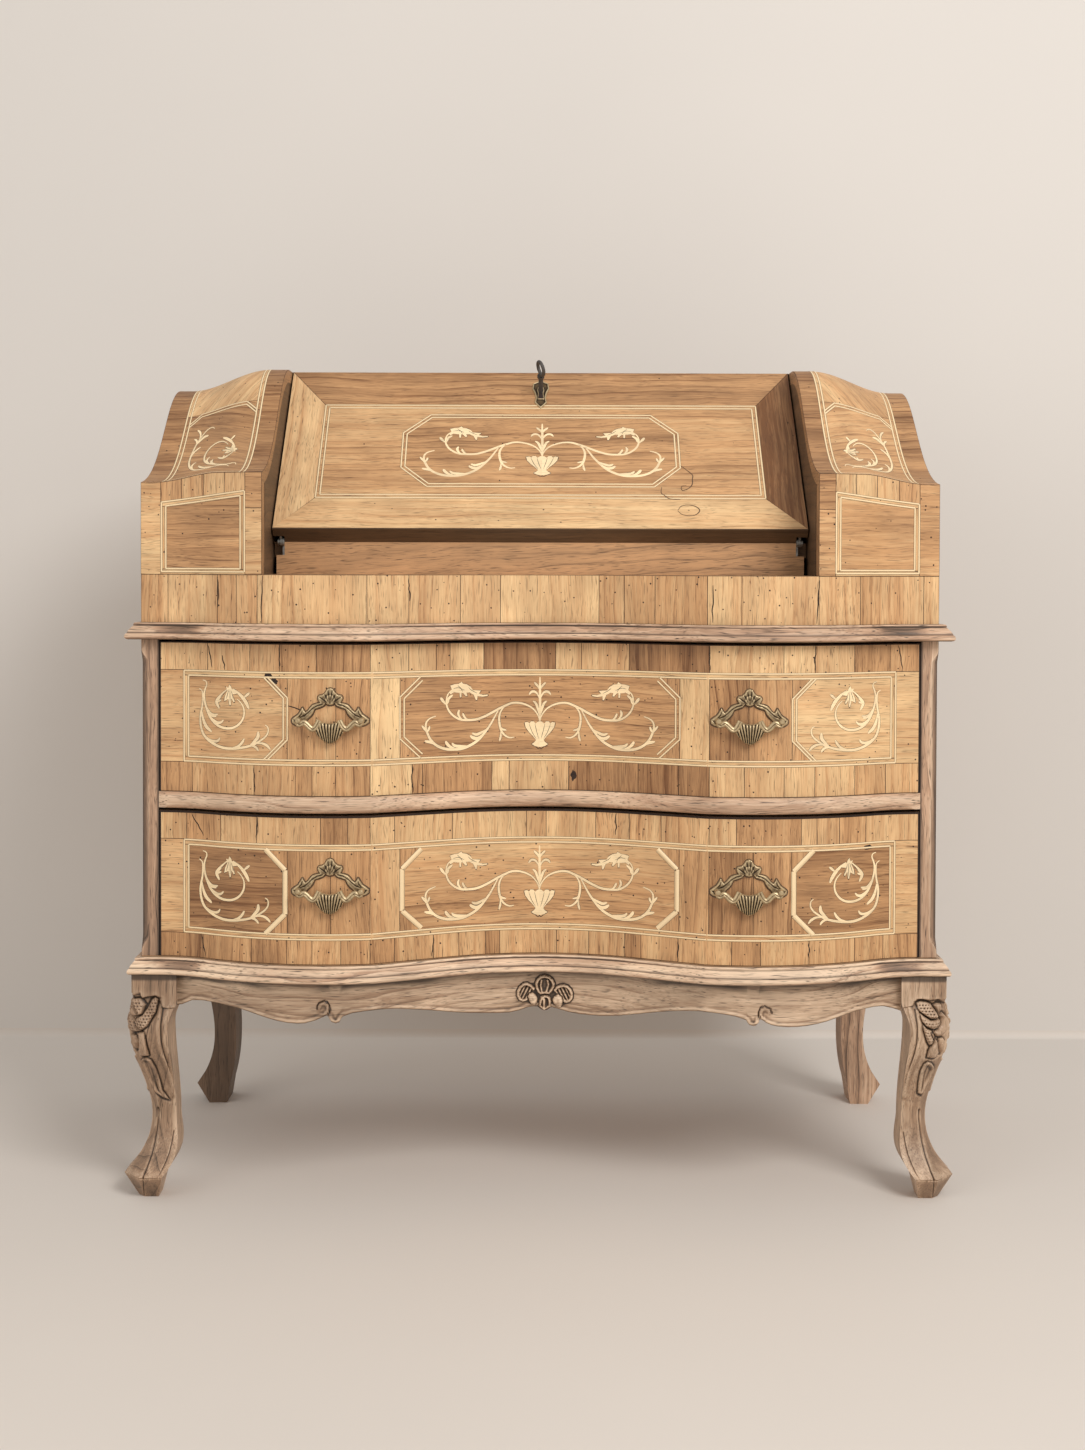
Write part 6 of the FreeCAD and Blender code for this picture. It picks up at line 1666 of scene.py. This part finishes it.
    def shell_height(self, points):
        """Height of the shell: a fluted lobe between two curls with eggs, and a bud below."""
        height = np.full(len(points), 0.3)
        for rim, egg, slant in self.CURLS:
            gap = gap_to(points, rim)
            hatch = 1.3 * np.cos(math.tau * (points[:, 0] - 0.5 * slant * points[:, 1]) / 4.6)
            dish = 1.2 + 4.4 * np.exp(-((gap - 1.9) / 1.6) ** 2) + hatch * rise_in(gap - 3.2, 1.0)
            height = np.where(depth_in(points, rim) > 0, dish, height)
            depth = depth_in(points, egg)
            height = np.where(depth > -0.8, 0.6 + pillow(depth, 4.5, 5.2), height)
        depth = depth_in(points, self.LOBE)
        lobe = 1.0 + 4.8 * np.exp(-((depth - 2.0) / 1.6) ** 2)
        for path in self.FLUTES:
            lobe += 3.4 * np.exp(-(gap_to(points, path) / 1.3) ** 2) * rise_in(depth - 2.6, 1.0)
        height = np.where(depth > 0, lobe, height)
        depth = depth_in(points, self.BUD)
        bud = 1.4 + 3.8 * np.exp(-((depth - 1.6) / 1.3) ** 2)
        bud += 4.6 * np.exp(-(gap_to(points, self.BUD_RIB) / 1.7) ** 2) * rise_in(depth, 1.0)
        height = np.where(depth > -0.6, bud, height)
        return np.clip(height, 0.2, 9.6)

    def make(self):
        self.board()
        leaves = Leaves(serpentine_face(-self.SETBACK * MM), FINE, 5)
        leaves.shape(self.WHOLE, self.shell_height, tuple)
        # The shell's foot gets painted shadow, its hollows soiling and painted shade, its rims painted
        # highlight besides rubbing
        carved_piece("apron_shell_carved", leaves.mesh("shell"), "case", "bleached_walnut_apron",
                     "carved_walnut", "apron_shell", depth=0.45, foot=1.2, rubbed_and_lit=0.9)


class DESK_OT_handles(DeskOperator, bpy.types.Operator):
    """Cast the four drop handles: a scrolled plate and a swinging bail with a ribbed shell"""
    bl_idname = "desk.handles"
    bl_label = "Handles"

    # A handle's middle, its pivots in front of the posts' plane, and its own posts beside the middle
    PLACE_X, PIVOT_REACH, POST_X = 246.5, 59.0, 37.0
    # Half width and half thickness of a bail's arm, the groove along it and the corners round it
    ARM_WIDE, ARM_DEEP, ARM_GROOVE, ARM_CORNERS = 3.5, 2.4, 0.6, 20
    # Stations of a turned post: reach in front of its foot or of its pivot, and radius
    POST_FOOT, POST_HEAD = ((1, 4.4), (4, 3.4)), ((0, 3.4), (3.4, 3.2), (4.8, 1.8))
    POST_CORNERS, POST_LIFT = 14, 4.0
    # Dark ring round each plate, soiling and painted shadow: its width and how far it stands over the veneer
    GRIME_WIDE, GRIME_LIFT = 2.8, 7e-5
    HEIGHTS = {"upper": 580.15, "lower": 379.15}
    PLATE = ((0, 38.6), (3.6, 37), (6, 33), (9, 30.4), (13.6, 29.4), (15, 26), (13.4, 22.4), (12.4, 20.8),
             (17, 19.8), (21, 18.2), (23.6, 15.4), (26.2, 12), (29, 9.9), (31, 12.2), (32.6, 15.4),
             (34.8, 12), (38, 6.9), (42.4, 3.8), (45.6, 0.8), (45, -3.3), (41, -6), (36.4, -6.8),
             (32.4, -5.4), (29, -2.6), (26.6, 1), (22.8, 4.4), (20.2, 7.9), (17.9, 12.9), (13.3, 14.4),
             (8.2, 16.4), (5, 19.6), (3.2, 18.2), (0, 17.6))
    DROP = ((-1, 31), (3.2, 29.4), (5.8, 25), (5.4, 21), (3.2, 18), (-1, 17))
    # Grooves cast in the plate: along the arm, in the crest and in the leaf at the end
    GROOVES = (((41, 0), (36, 3.2), (30, 5.6), (25, 10), (21, 13.6), (15, 17.4), (9, 18.8)),
               ((2.6, 36.4), (1.2, 25)), ((6.8, 31.4), (2.4, 23)), ((12.4, 27.4), (4, 21.4)),
               ((32, 13.4), (34, 7), (38, 2.6)), ((43.4, 0.6), (39.4, -2.6), (34, -3.4)))
    SHELL = ((0, -3), (5, -2.4), (9, -1), (12.6, 1.4), (13.4, -3.4), (15, -8), (17, -11.4), (16.6, -14),
             (14, -17.6), (10.4, -21.6), (5.6, -25.4), (0, -27.4))
    ARM = ((37, 0), (36, -4), (33, -3.4), (30, -1.9), (26.6, -4), (23, -7.7), (19.6, -9.6), (16.2, -7.6),
           (13.4, -3), (11.6, 0.8))

    def plate_height(self, points):
        """Height of the plate: a flat band with rounded edges, grooves, a drop in the crest."""
        even = even_halves(points)
        depth = depth_in(even, both_halves(self.PLATE))
        height = 1.0 + pillow(depth, 1.6, 2.4)
        height += pillow(depth_in(even, self.DROP), 5.0, 1.4)
        for path in self.GROOVES:
            height -= 0.7 * np.exp(-(gap_to(even, path) / 0.8) ** 2)
        return np.clip(height, 0.4, 7.0)

    def shell_height(self, points):
        """Height of the bail's shell: a dome with ribs that draw together downwards."""
        even = even_halves(points)
        depth = depth_in(even, both_halves(self.SHELL))
        fan = np.arctan2(points[:, 0], 50 + points[:, 1]) / 0.083
        ribs = np.abs(np.cos(math.pi * fan)) ** 0.7
        dome = pillow(depth, 9.0, 4.6) * np.clip(1.1 + points[:, 1] / 40, 0.3, 1.2)
        return 1.2 + dome + 2.2 * (ribs - 0.7) * rise_in(depth, 1.4)

    def bail(self, name, side, level):
        """One bail: the shell and two arms that end in eyes round the pivots."""
        centre_x, pivot_y = side * self.PLACE_X, sizes().front_y / MM - self.PIVOT_REACH

        def at(u, v, lift):
            return Vector((centre_x + u, pivot_y + self.ARM_DEEP, level + v)) * MM + FRONT * lift

        leaves = Leaves(at, FINE, 9)
        leaves.shape(both_halves(self.SHELL), self.shell_height, tuple)
        parts = [(leaves.points, leaves.faces)]
        for hand in SIDES:
            rings = []
            path = smooth_line([(hand * x, z) for x, z in self.ARM], 1.2)
            for i, spot in enumerate(path):
                ahead = (path[min(i + 1, len(path) - 1)] - path[max(i - 1, 0)]).normalized()
                arm_ring = []
                for k in range(self.ARM_CORNERS):
                    angle = math.tau * k / self.ARM_CORNERS
                    across = Vector((-ahead.y, ahead.x)) * math.cos(angle) * self.ARM_WIDE
                    groove = self.ARM_GROOVE if k == self.ARM_CORNERS // 4 else 0
                    out = math.sin(angle) * self.ARM_DEEP - groove
                    arm_ring.append(Vector((centre_x + spot.x + across.x, pivot_y - 0.6 - out,
                                            level + spot.y + across.y)) * MM)
                rings.append(arm_ring)
            parts.append(loft(rings))
        carved_piece(f"{name}_cast", mesh_of(name, *joined(parts)), name, "aged_cast_brass", "aged_brass",
                     name, depth=0.4, foot=1.6, rubbed_and_lit=1.0)

    def make(self):
        line, plate = FrontLine(), both_halves(self.PLATE)
        for row, level in self.HEIGHTS.items():
            shadow_and_grime, plates = Leaves(serpentine_face(), seed=14), Leaves(serpentine_face())
            for side in SIDES:
                centre = side * self.PLACE_X

                def at(u, v, lift):
                    spot = line.point((centre + u) * MM, (level + v) * MM)
                    return spot + FRONT * (lift + sizes().veneer * 0.5)

                # A dark ring of soiling and painted shadow round the plate
                shadow_and_grime.stroke(ring([(centre + u, level + v) for u, v in plate]), self.GRIME_WIDE,
                             sizes().veneer + self.GRIME_LIFT, tuple)
                cast = Leaves(at, FINE, 13)
                cast.shape(plate, self.plate_height, tuple)
                plates.take(cast.points, cast.faces, cast.lifts)
                self.posts(plates, centre, level)
            shadow_and_grime.piece(f"{row}_handle_grime", f"{row}_drawer", "grimy_walnut_x")
            # The plates' foot gets painted shadow on the drawer front
            carved_piece(f"{row}_handle_plates_cast", plates.mesh("plates"), f"{row}_drawer",
                         "aged_cast_brass", "aged_brass", f"{row}_handle_plates", depth=0.4, foot=2.2,
                         rubbed_and_lit=1.0)
            for side in SIDES:
                self.bail(f"{row}_{HANDS[side]}_bail", side, level)

    def posts(self, plates, centre, level):
        """The two posts that carry a bail's pivots."""
        front = sizes().front_y / MM
        for hand in SIDES:
            x = centre + hand * self.POST_X
            foot, pivot = front - FrontLine().forward(x * MM) / MM, front - self.PIVOT_REACH
            turns = [math.tau * k / self.POST_CORNERS for k in range(self.POST_CORNERS)]
            points, faces = loft([
                [Vector((x + radius * math.cos(turn), start - reach, level + radius * math.sin(turn))) * MM
                 for turn in turns]
                for start, stations in ((foot, self.POST_FOOT), (pivot, self.POST_HEAD))
                for reach, radius in stations])
            plates.take(points, faces, [self.POST_LIFT] * len(points))


class DESK_OT_lock(DeskOperator, bpy.types.Operator):
    """Cast the escutcheon with its rim, and put a dark plug in its keyhole as painted shade"""
    bl_idname = "desk.lock"
    bl_label = "Lock"

    CENTRE = (0.0, 252.4)
    PLATE = ((0, 24), (4.6, 18.6), (10.4, 15.4), (11.4, 6), (8.2, -2), (6.8, -9.4), (8.2, -18.4),
             (4.2, -24), (0, -29))
    HOLE = ((0, 9), (2.8, 7.6), (3.6, 3), (2.6, -2), (3.4, -12), (0, -12))
    HOLE_RISE = 0.0026

    def plate_height(self, points):
        """Height of the escutcheon: a sunk field with a rim round it and round the keyhole."""
        even = even_halves(points - self.CENTRE)
        depth = depth_in(even, both_halves(self.PLATE))
        height = 0.7 + pillow(depth, 1.6, 1.6) - 1.0 * rise_in(depth - 1.6, 1.0)
        return height + 1.1 * np.exp(-(depth_in(even, both_halves(self.HOLE)) / 1.2) ** 2)

    def make(self):
        place = mapped(self.CENTRE, (1.0, 1.0), 1)
        plate = Leaves(fall_face, FINE, 91)
        plate.shape(both_halves(self.PLATE), self.plate_height, place)
        # The escutcheon's foot gets painted shadow on the fall
        carved_piece("escutcheon_cast", plate.mesh("escutcheon"), "fall", "aged_cast_brass", "aged_brass",
                     "escutcheon", depth=0.3, foot=0.9, rubbed_and_lit=1.0)
        # The keyhole is a black plug on the fall: painted shade of the hole
        hole = Leaves(fall_face, seed=92)
        hole.shape(both_halves(self.HOLE), self.HOLE_RISE, place)
        hole.piece("keyhole", "fall", "charred_wood", "blackened_iron")


class DESK_OT_posts(DeskOperator, bpy.types.Operator):
    """Chamfer the front posts, with a lamb's tongue at each end of the chamfer"""
    bl_idname = "desk.posts"
    bl_label = "Posts"

    CHAMFER, LEAST_CUT = 8.5, 0.3
    # Where the chamfer runs out, above the foot and below the head, and the rings of points there
    FOOT_RUN, HEAD_RUN, RUN_RINGS = (1, 26), (30, 8), 14
    # Lengths over which it grows to its full width
    FOOT_GROWTH, HEAD_GROWTH = 24.0, 20.0
    # Round the post from its inner front corner: painted light on the front, painted shade on the chamfer and
    # painted shadow beside the drawers
    PAINTED_SHADING = {"tone": [-0.4, 0.0, 0.15, 0.5, -0.9, -0.6, -0.6], "dirt": [0.9, 0.05, 0.0, 0.1, 0.6, 0.3, 0.5]}

    def make(self):
        for side in SIDES:
            name = f"{HANDS[side]}_post"
            low, high = (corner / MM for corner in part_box(name))
            inner, outer = (low.x, high.x)[::side]
            foot_run = [low.z + rise for rise in self.FOOT_RUN]
            head_run = [high.z - drop for drop in self.HEAD_RUN]
            rings = []
            for z in np.concatenate(([low.z], np.linspace(*foot_run, self.RUN_RINGS),
                                     np.linspace(*head_run, self.RUN_RINGS), [high.z])):
                foot = rise_in(np.array(z - foot_run[0]), self.FOOT_GROWTH) ** 1.5
                head = rise_in(np.array(head_run[1] - z), self.HEAD_GROWTH) ** 1.5
                cut = max(self.CHAMFER * float(min(foot, head)), self.LEAST_CUT)
                rings.append([Vector((x, y, z)) * MM for x, y in (
                    (inner, low.y), (inner + side * 3.0, low.y), (outer - side * (cut + 2), low.y),
                    (outer - side * cut, low.y), (outer, low.y + cut), (outer, high.y), (inner, high.y))])
            mesh = mesh_of(name, *loft(rings))
            for label, values in self.PAINTED_SHADING.items():
                mark(mesh, label, values * len(rings))
            shell = turned_out(mesh, 0.5)
            shell.to_mesh(mesh)
            shell.free()
            placed(f"{name}_chamfered", mesh, "case", "bleached_walnut_moulding_z", "moulding_walnut", name)


class DESK_OT_wear(DeskOperator, bpy.types.Operator):
    """Drill the worm-holes and mark the cracks, knots and scorched spots of the veneer"""
    bl_idname = "desk.wear"
    bl_label = "Wear"

    # How far the marks stand on their boards, and how wide they are
    CRACK_RISE, CRACK_WIDE, CRACK_STEPS = 0.00047, 1.4, 6
    SPOT_RISE, SPOT_CORNERS = 0.00045, 14
    STAIN_RISE, STAIN_WIDE = 0.00068, 1.2
    # Veneer and worm-holes in each square metre of it
    WORMY = {"upper_drawer_veneer": 1700, "lower_drawer_veneer": 1600, "frieze_veneer": 1800,
             "left_cheek_edges": 2600, "right_cheek_edges": 2600, "left_cheek_panel": 700,
             "right_cheek_panel": 900, "left_cheek_crown": 2000, "right_cheek_crown": 2000,
             "left_shoulder_veneer": 500, "right_shoulder_veneer": 600, "fall_veneer": 130}
    # Cracks: X and height of their ends on the front
    CRACKS = {"case": ((-327, 750, -329, 694), (329, 746, 327, 695), (-384, 748, -383, 712),
                       (203, 740, 203, 696), (-156, 748, -155, 720)),
              "upper_drawer": ((-397, 668, -391, 640), (-378, 655, -374, 638), (-307, 668, -307, 641),
                               (-338, 524, -337, 494), (-152, 523, -151, 492), (200, 668, 200, 640),
                               (325, 668, 324, 640), (430, 668, 436, 640), (-300, 598, -268, 588)),
              "lower_drawer": ((-334, 465, -335, 437), (-127, 318, -128, 294), (165, 318, 165, 293),
                               (319, 318, 319, 296), (92, 465, 92, 438), (-405, 318, -400, 292),
                               (-418, 464, -402, 438))}
    # Knots and scorched spots: place and half sizes
    SPOTS = {"upper_drawer": ((-321, 632, 5.0, 6.0), (-313, 626, 4.0, 3.5), (41, 508, 3.4, 6.6)),
             "lower_drawer": ((393, 427, 6.0, 3.0),)}
    # Edges of a water stain and of a knot on the fall
    STAINS = (((176.8, 117.5), (184.3, 108.9), (190.8, 100.3), (190.3, 93), (189.7, 84.4), (185.4, 77.2),
               (176.8, 72.9), (176.2, 80.1), (182.2, 81.5)),
              ((151.3, 78.7), (150.2, 68.6), (154, 64.3), (159.4, 58.5), (173.5, 56.4)),
              ((169.2, 36), (174, 44), (182.7, 46.4), (191.5, 43.6), (196.2, 36), (191, 28), (182.7, 26),
               (174, 28.6), (169.4, 35)),
              ((181.6, 36.4), (183.6, 36)))

    def hole_tree(self):
        """Worm-holes strewn over the faces that show, as low dark plugs: the soil in each hole and painted
        shade inside it.
        """
        tree = node_tree("Worm-holes", {"Density": "Float", "Radius": "Float", "Seed": "Int",
                                        "Dark": "Material"})
        given = add(tree, "NodeGroupInput")
        shown = add(tree, "GeometryNodeInputNamedAttribute", {"Name": "shown"}, data_type="FLOAT")
        dense = add(tree, "ShaderNodeMath", {0: shown.outputs["Attribute"], 1: given.outputs["Density"]},
                    operation="MULTIPLY")
        strewn = add(tree, "GeometryNodeDistributePointsOnFaces",
                     {"Mesh": given.outputs["Geometry"], "Density": dense.outputs[0],
                      "Seed": given.outputs["Seed"]})
        plug = add(tree, "GeometryNodeMeshCone", {"Vertices": 6, "Radius Top": 0.8, "Radius Bottom": 1.0,
                                                  "Depth": 0.06})
        spread = add(tree, "FunctionNodeRandomValue",
                     {"Min": 0.55, "Max": 1.25, "Seed": given.outputs["Seed"]}, data_type="FLOAT")
        span = add(tree, "ShaderNodeMath", {0: spread.outputs["Value"], 1: given.outputs["Radius"]},
                   operation="MULTIPLY")
        drilled = add(tree, "GeometryNodeInstanceOnPoints",
                      {"Points": strewn.outputs["Points"], "Instance": plug.outputs["Mesh"],
                       "Rotation": strewn.outputs["Rotation"], "Scale": span.outputs[0]})
        real = add(tree, "GeometryNodeRealizeInstances", {"Geometry": drilled.outputs[0]})
        coated = add(tree, "GeometryNodeSetMaterial",
                     {"Geometry": real.outputs[0], "Material": given.outputs["Dark"]})
        add(tree, "NodeGroupOutput", {0: coated.outputs[0]})
        return tree

    def make(self):
        tree = self.hole_tree()
        for seed, (name, density) in enumerate(self.WORMY.items()):
            veneer = bpy.data.objects[name].data.copy()
            body = "case"
            if name.startswith("fall"):
                body = "fall"
            elif "drawer" in name:
                body = name.removesuffix("_veneer")
            made = grown(veneer, tree, {"Density": float(density), "Radius": sizes().hole, "Seed": seed,
                                        "Dark": finish_of("charred_wood")})
            placed(f"{name}_holes", made, body, None, "walnut_veneer")
        chance = random.Random(4)
        for body, cracks in self.CRACKS.items():
            marks = Leaves(serpentine_face(), seed=17)
            for x, z, last_x, last_z in cracks:
                steps = self.CRACK_STEPS
                path = [(x + (last_x - x) * i / steps + (chance.random() - 0.5) * 1.6,
                         z + (last_z - z) * i / steps) for i in range(steps + 1)]
                marks.stroke(path, self.CRACK_WIDE, self.CRACK_RISE, tuple)
            for x, z, wide, tall in self.SPOTS.get(body, ()):
                outline = [(x + wide * math.cos(turn) * (0.7 + 0.5 * chance.random()),
                            z + tall * math.sin(turn) * (0.7 + 0.5 * chance.random()))
                           for turn in (math.tau * i / self.SPOT_CORNERS for i in range(self.SPOT_CORNERS))]
                marks.shape(outline, self.SPOT_RISE, tuple)
            marks.piece(f"{body}_cracks", body, "charred_wood")
        stains = Leaves(fall_face, seed=18)
        for i, path in enumerate(self.STAINS):
            stains.stroke(path, self.STAIN_WIDE, self.STAIN_RISE + i * 5e-6, tuple)
        stains.piece("fall_stains", "fall", "grimy_walnut_x")


class DESK_OT_stage(DeskOperator, bpy.types.Operator):
    """Set the floor, the wall, the lamps and the camera"""
    bl_idname = "desk.stage"
    bl_label = "Stage"

    # The camera: frame, focal length and shift in pixels, place, and turns in radians
    IMAGE = (1085, 1450)
    FOCAL, PRINCIPAL = 1842.2, -130.0
    PLACE = Vector((-0.0006, -2.3949, 0.7710))
    YAW, PITCH, ROLL = -0.0015, 0.0198, 0.0028
    # Where the wall stands, how far it and the floor reach, and its bent foot
    WALL_Y, REACH, BEND, BEND_STEPS = 0.55, 6.0, 0.012, 12
    # Place, width and power of each lamp
    LAMPS = {"key_lamp": ((1.6, -2.5, 2.8), 1.5, 76.0), "fill_lamp": ((-2.4, -2.2, 1.4), 2.2, 15.0)}
    AIM = Vector((0, 0, 0.55))
    ROOM_COLOUR, ROOM_STRENGTH = "#f6f3f0", 0.62

    def make(self):
        self.backdrop()
        self.lamps()
        self.camera()

    def backdrop(self):
        """A wide floor, and on it a wall with a bent foot that lets the room's light through."""
        floor = self.board("studio_floor", [(-self.REACH, 0.0), (self.REACH, 0.0)], "studio_floor")
        rows = []
        for i in range(self.BEND_STEPS + 1):
            angle = QUARTER * i / self.BEND_STEPS
            rows.append((self.WALL_Y + self.BEND * math.sin(angle), self.BEND * (1 - math.cos(angle))))
        rows.append((self.WALL_Y + self.BEND, self.REACH))
        wall = self.board("studio_wall", rows, "studio_floor", "studio_wall")
        wall.data.polygons[-1].material_index = 1
        wall.visible_shadow = wall.visible_diffuse = False
        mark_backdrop(floor, wall)

    def board(self, name, rows, *finishes):
        """A sheet of the studio's width through the rows, each a place in depth and height."""
        points = [Vector((x, y, z)) for y, z in rows for x in (-self.REACH, self.REACH)]
        faces = [[2 * i, 2 * i + 1, 2 * i + 3, 2 * i + 2] for i in range(len(rows) - 1)]
        mesh = mesh_of(name, points, faces)
        mesh.polygons.foreach_set("use_smooth", [True] * len(faces))
        for finish in finishes:
            mesh.materials.append(finish_of(finish))
        sheet = bpy.data.objects.new(name, mesh)
        bpy.context.scene.collection.objects.link(sheet)
        return sheet

    def lamps(self):
        """A large soft lamp high on the right, a weak fill on the left and an even room."""
        for name, (place, span, watts) in self.LAMPS.items():
            data = bpy.data.lights.new(name, "AREA")
            data.size, data.energy = span, watts
            lamp = bpy.data.objects.new(name, data)
            lamp.location = place
            lamp.rotation_euler = (self.AIM - Vector(place)).to_track_quat("-Z", "Y").to_euler()
            bpy.context.scene.collection.objects.link(lamp)
        world = bpy.data.worlds.new("room")
        world.use_nodes = True
        ground = world.node_tree.nodes["Background"]
        ground.inputs["Color"].default_value = (*srgb(self.ROOM_COLOUR), 1)
        ground.inputs["Strength"].default_value = self.ROOM_STRENGTH
        bpy.context.scene.world = world

    def camera(self):
        """The camera where the photograph was taken from."""
        data = bpy.data.cameras.new("camera")
        tall = max(self.IMAGE)
        data.sensor_fit, data.sensor_width = "AUTO", 36.0
        data.lens = self.FOCAL * data.sensor_width / tall
        data.shift_y = self.PRINCIPAL / tall
        camera = bpy.data.objects.new("camera", data)
        right = Vector((math.cos(self.YAW), math.sin(self.YAW), 0))
        level = Vector((-math.sin(self.YAW), math.cos(self.YAW), 0))
        ahead = level * math.cos(self.PITCH) - UP * math.sin(self.PITCH)
        above = right.cross(ahead)
        tilted = right * math.cos(self.ROLL) + above * math.sin(self.ROLL)
        upright = above * math.cos(self.ROLL) - right * math.sin(self.ROLL)
        camera.matrix_world = Matrix((tilted, upright, -ahead)).transposed().to_4x4()
        camera.location = self.PLACE
        scene = bpy.context.scene
        scene.collection.objects.link(camera)
        scene.camera = camera
        scene.view_settings.view_transform = "Standard"


class DESK_PT_panel(bpy.types.Panel):
    bl_idname = "DESK_PT_panel"
    bl_label = "Writing desk"
    bl_space_type = "VIEW_3D"
    bl_region_type = "UI"
    bl_category = "Desk"

    def draw(self, context):
        for operator in OPERATORS:
            self.layout.operator(operator.bl_idname)
        for group in (context.scene.desk_sizes, context.scene.desk_colours):
            for name in group.__annotations__:
                self.layout.prop(group, name)


OPERATORS = (DESK_OT_finishes, DESK_OT_drawer_veneer, DESK_OT_case_veneer, DESK_OT_fall_veneer,
             DESK_OT_mouldings, DESK_OT_posts, DESK_OT_legs, DESK_OT_apron, DESK_OT_handles, DESK_OT_lock,
             DESK_OT_wear, DESK_OT_stage)
CLASSES = (DeskSizes, DeskColours) + OPERATORS + (DESK_PT_panel,)


def register():
    for item in CLASSES:
        bpy.utils.register_class(item)
    bpy.types.Scene.desk_sizes = bpy.props.PointerProperty(type=DeskSizes)
    bpy.types.Scene.desk_colours = bpy.props.PointerProperty(type=DeskColours)


def unregister():
    del bpy.types.Scene.desk_colours
    del bpy.types.Scene.desk_sizes
    for item in reversed(CLASSES):
        bpy.utils.unregister_class(item)


def main():
    register()
    for operator in OPERATORS:
        family, name = operator.bl_idname.split(".")
        getattr(getattr(bpy.ops, family), name)()
    boxes = {"cad": CAD_BOX, "visual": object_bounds()}
    ({label: [[float(part) for part in corner] for corner in box]
               for label, box in boxes.items()})


if __name__ == "__main__":
    main()
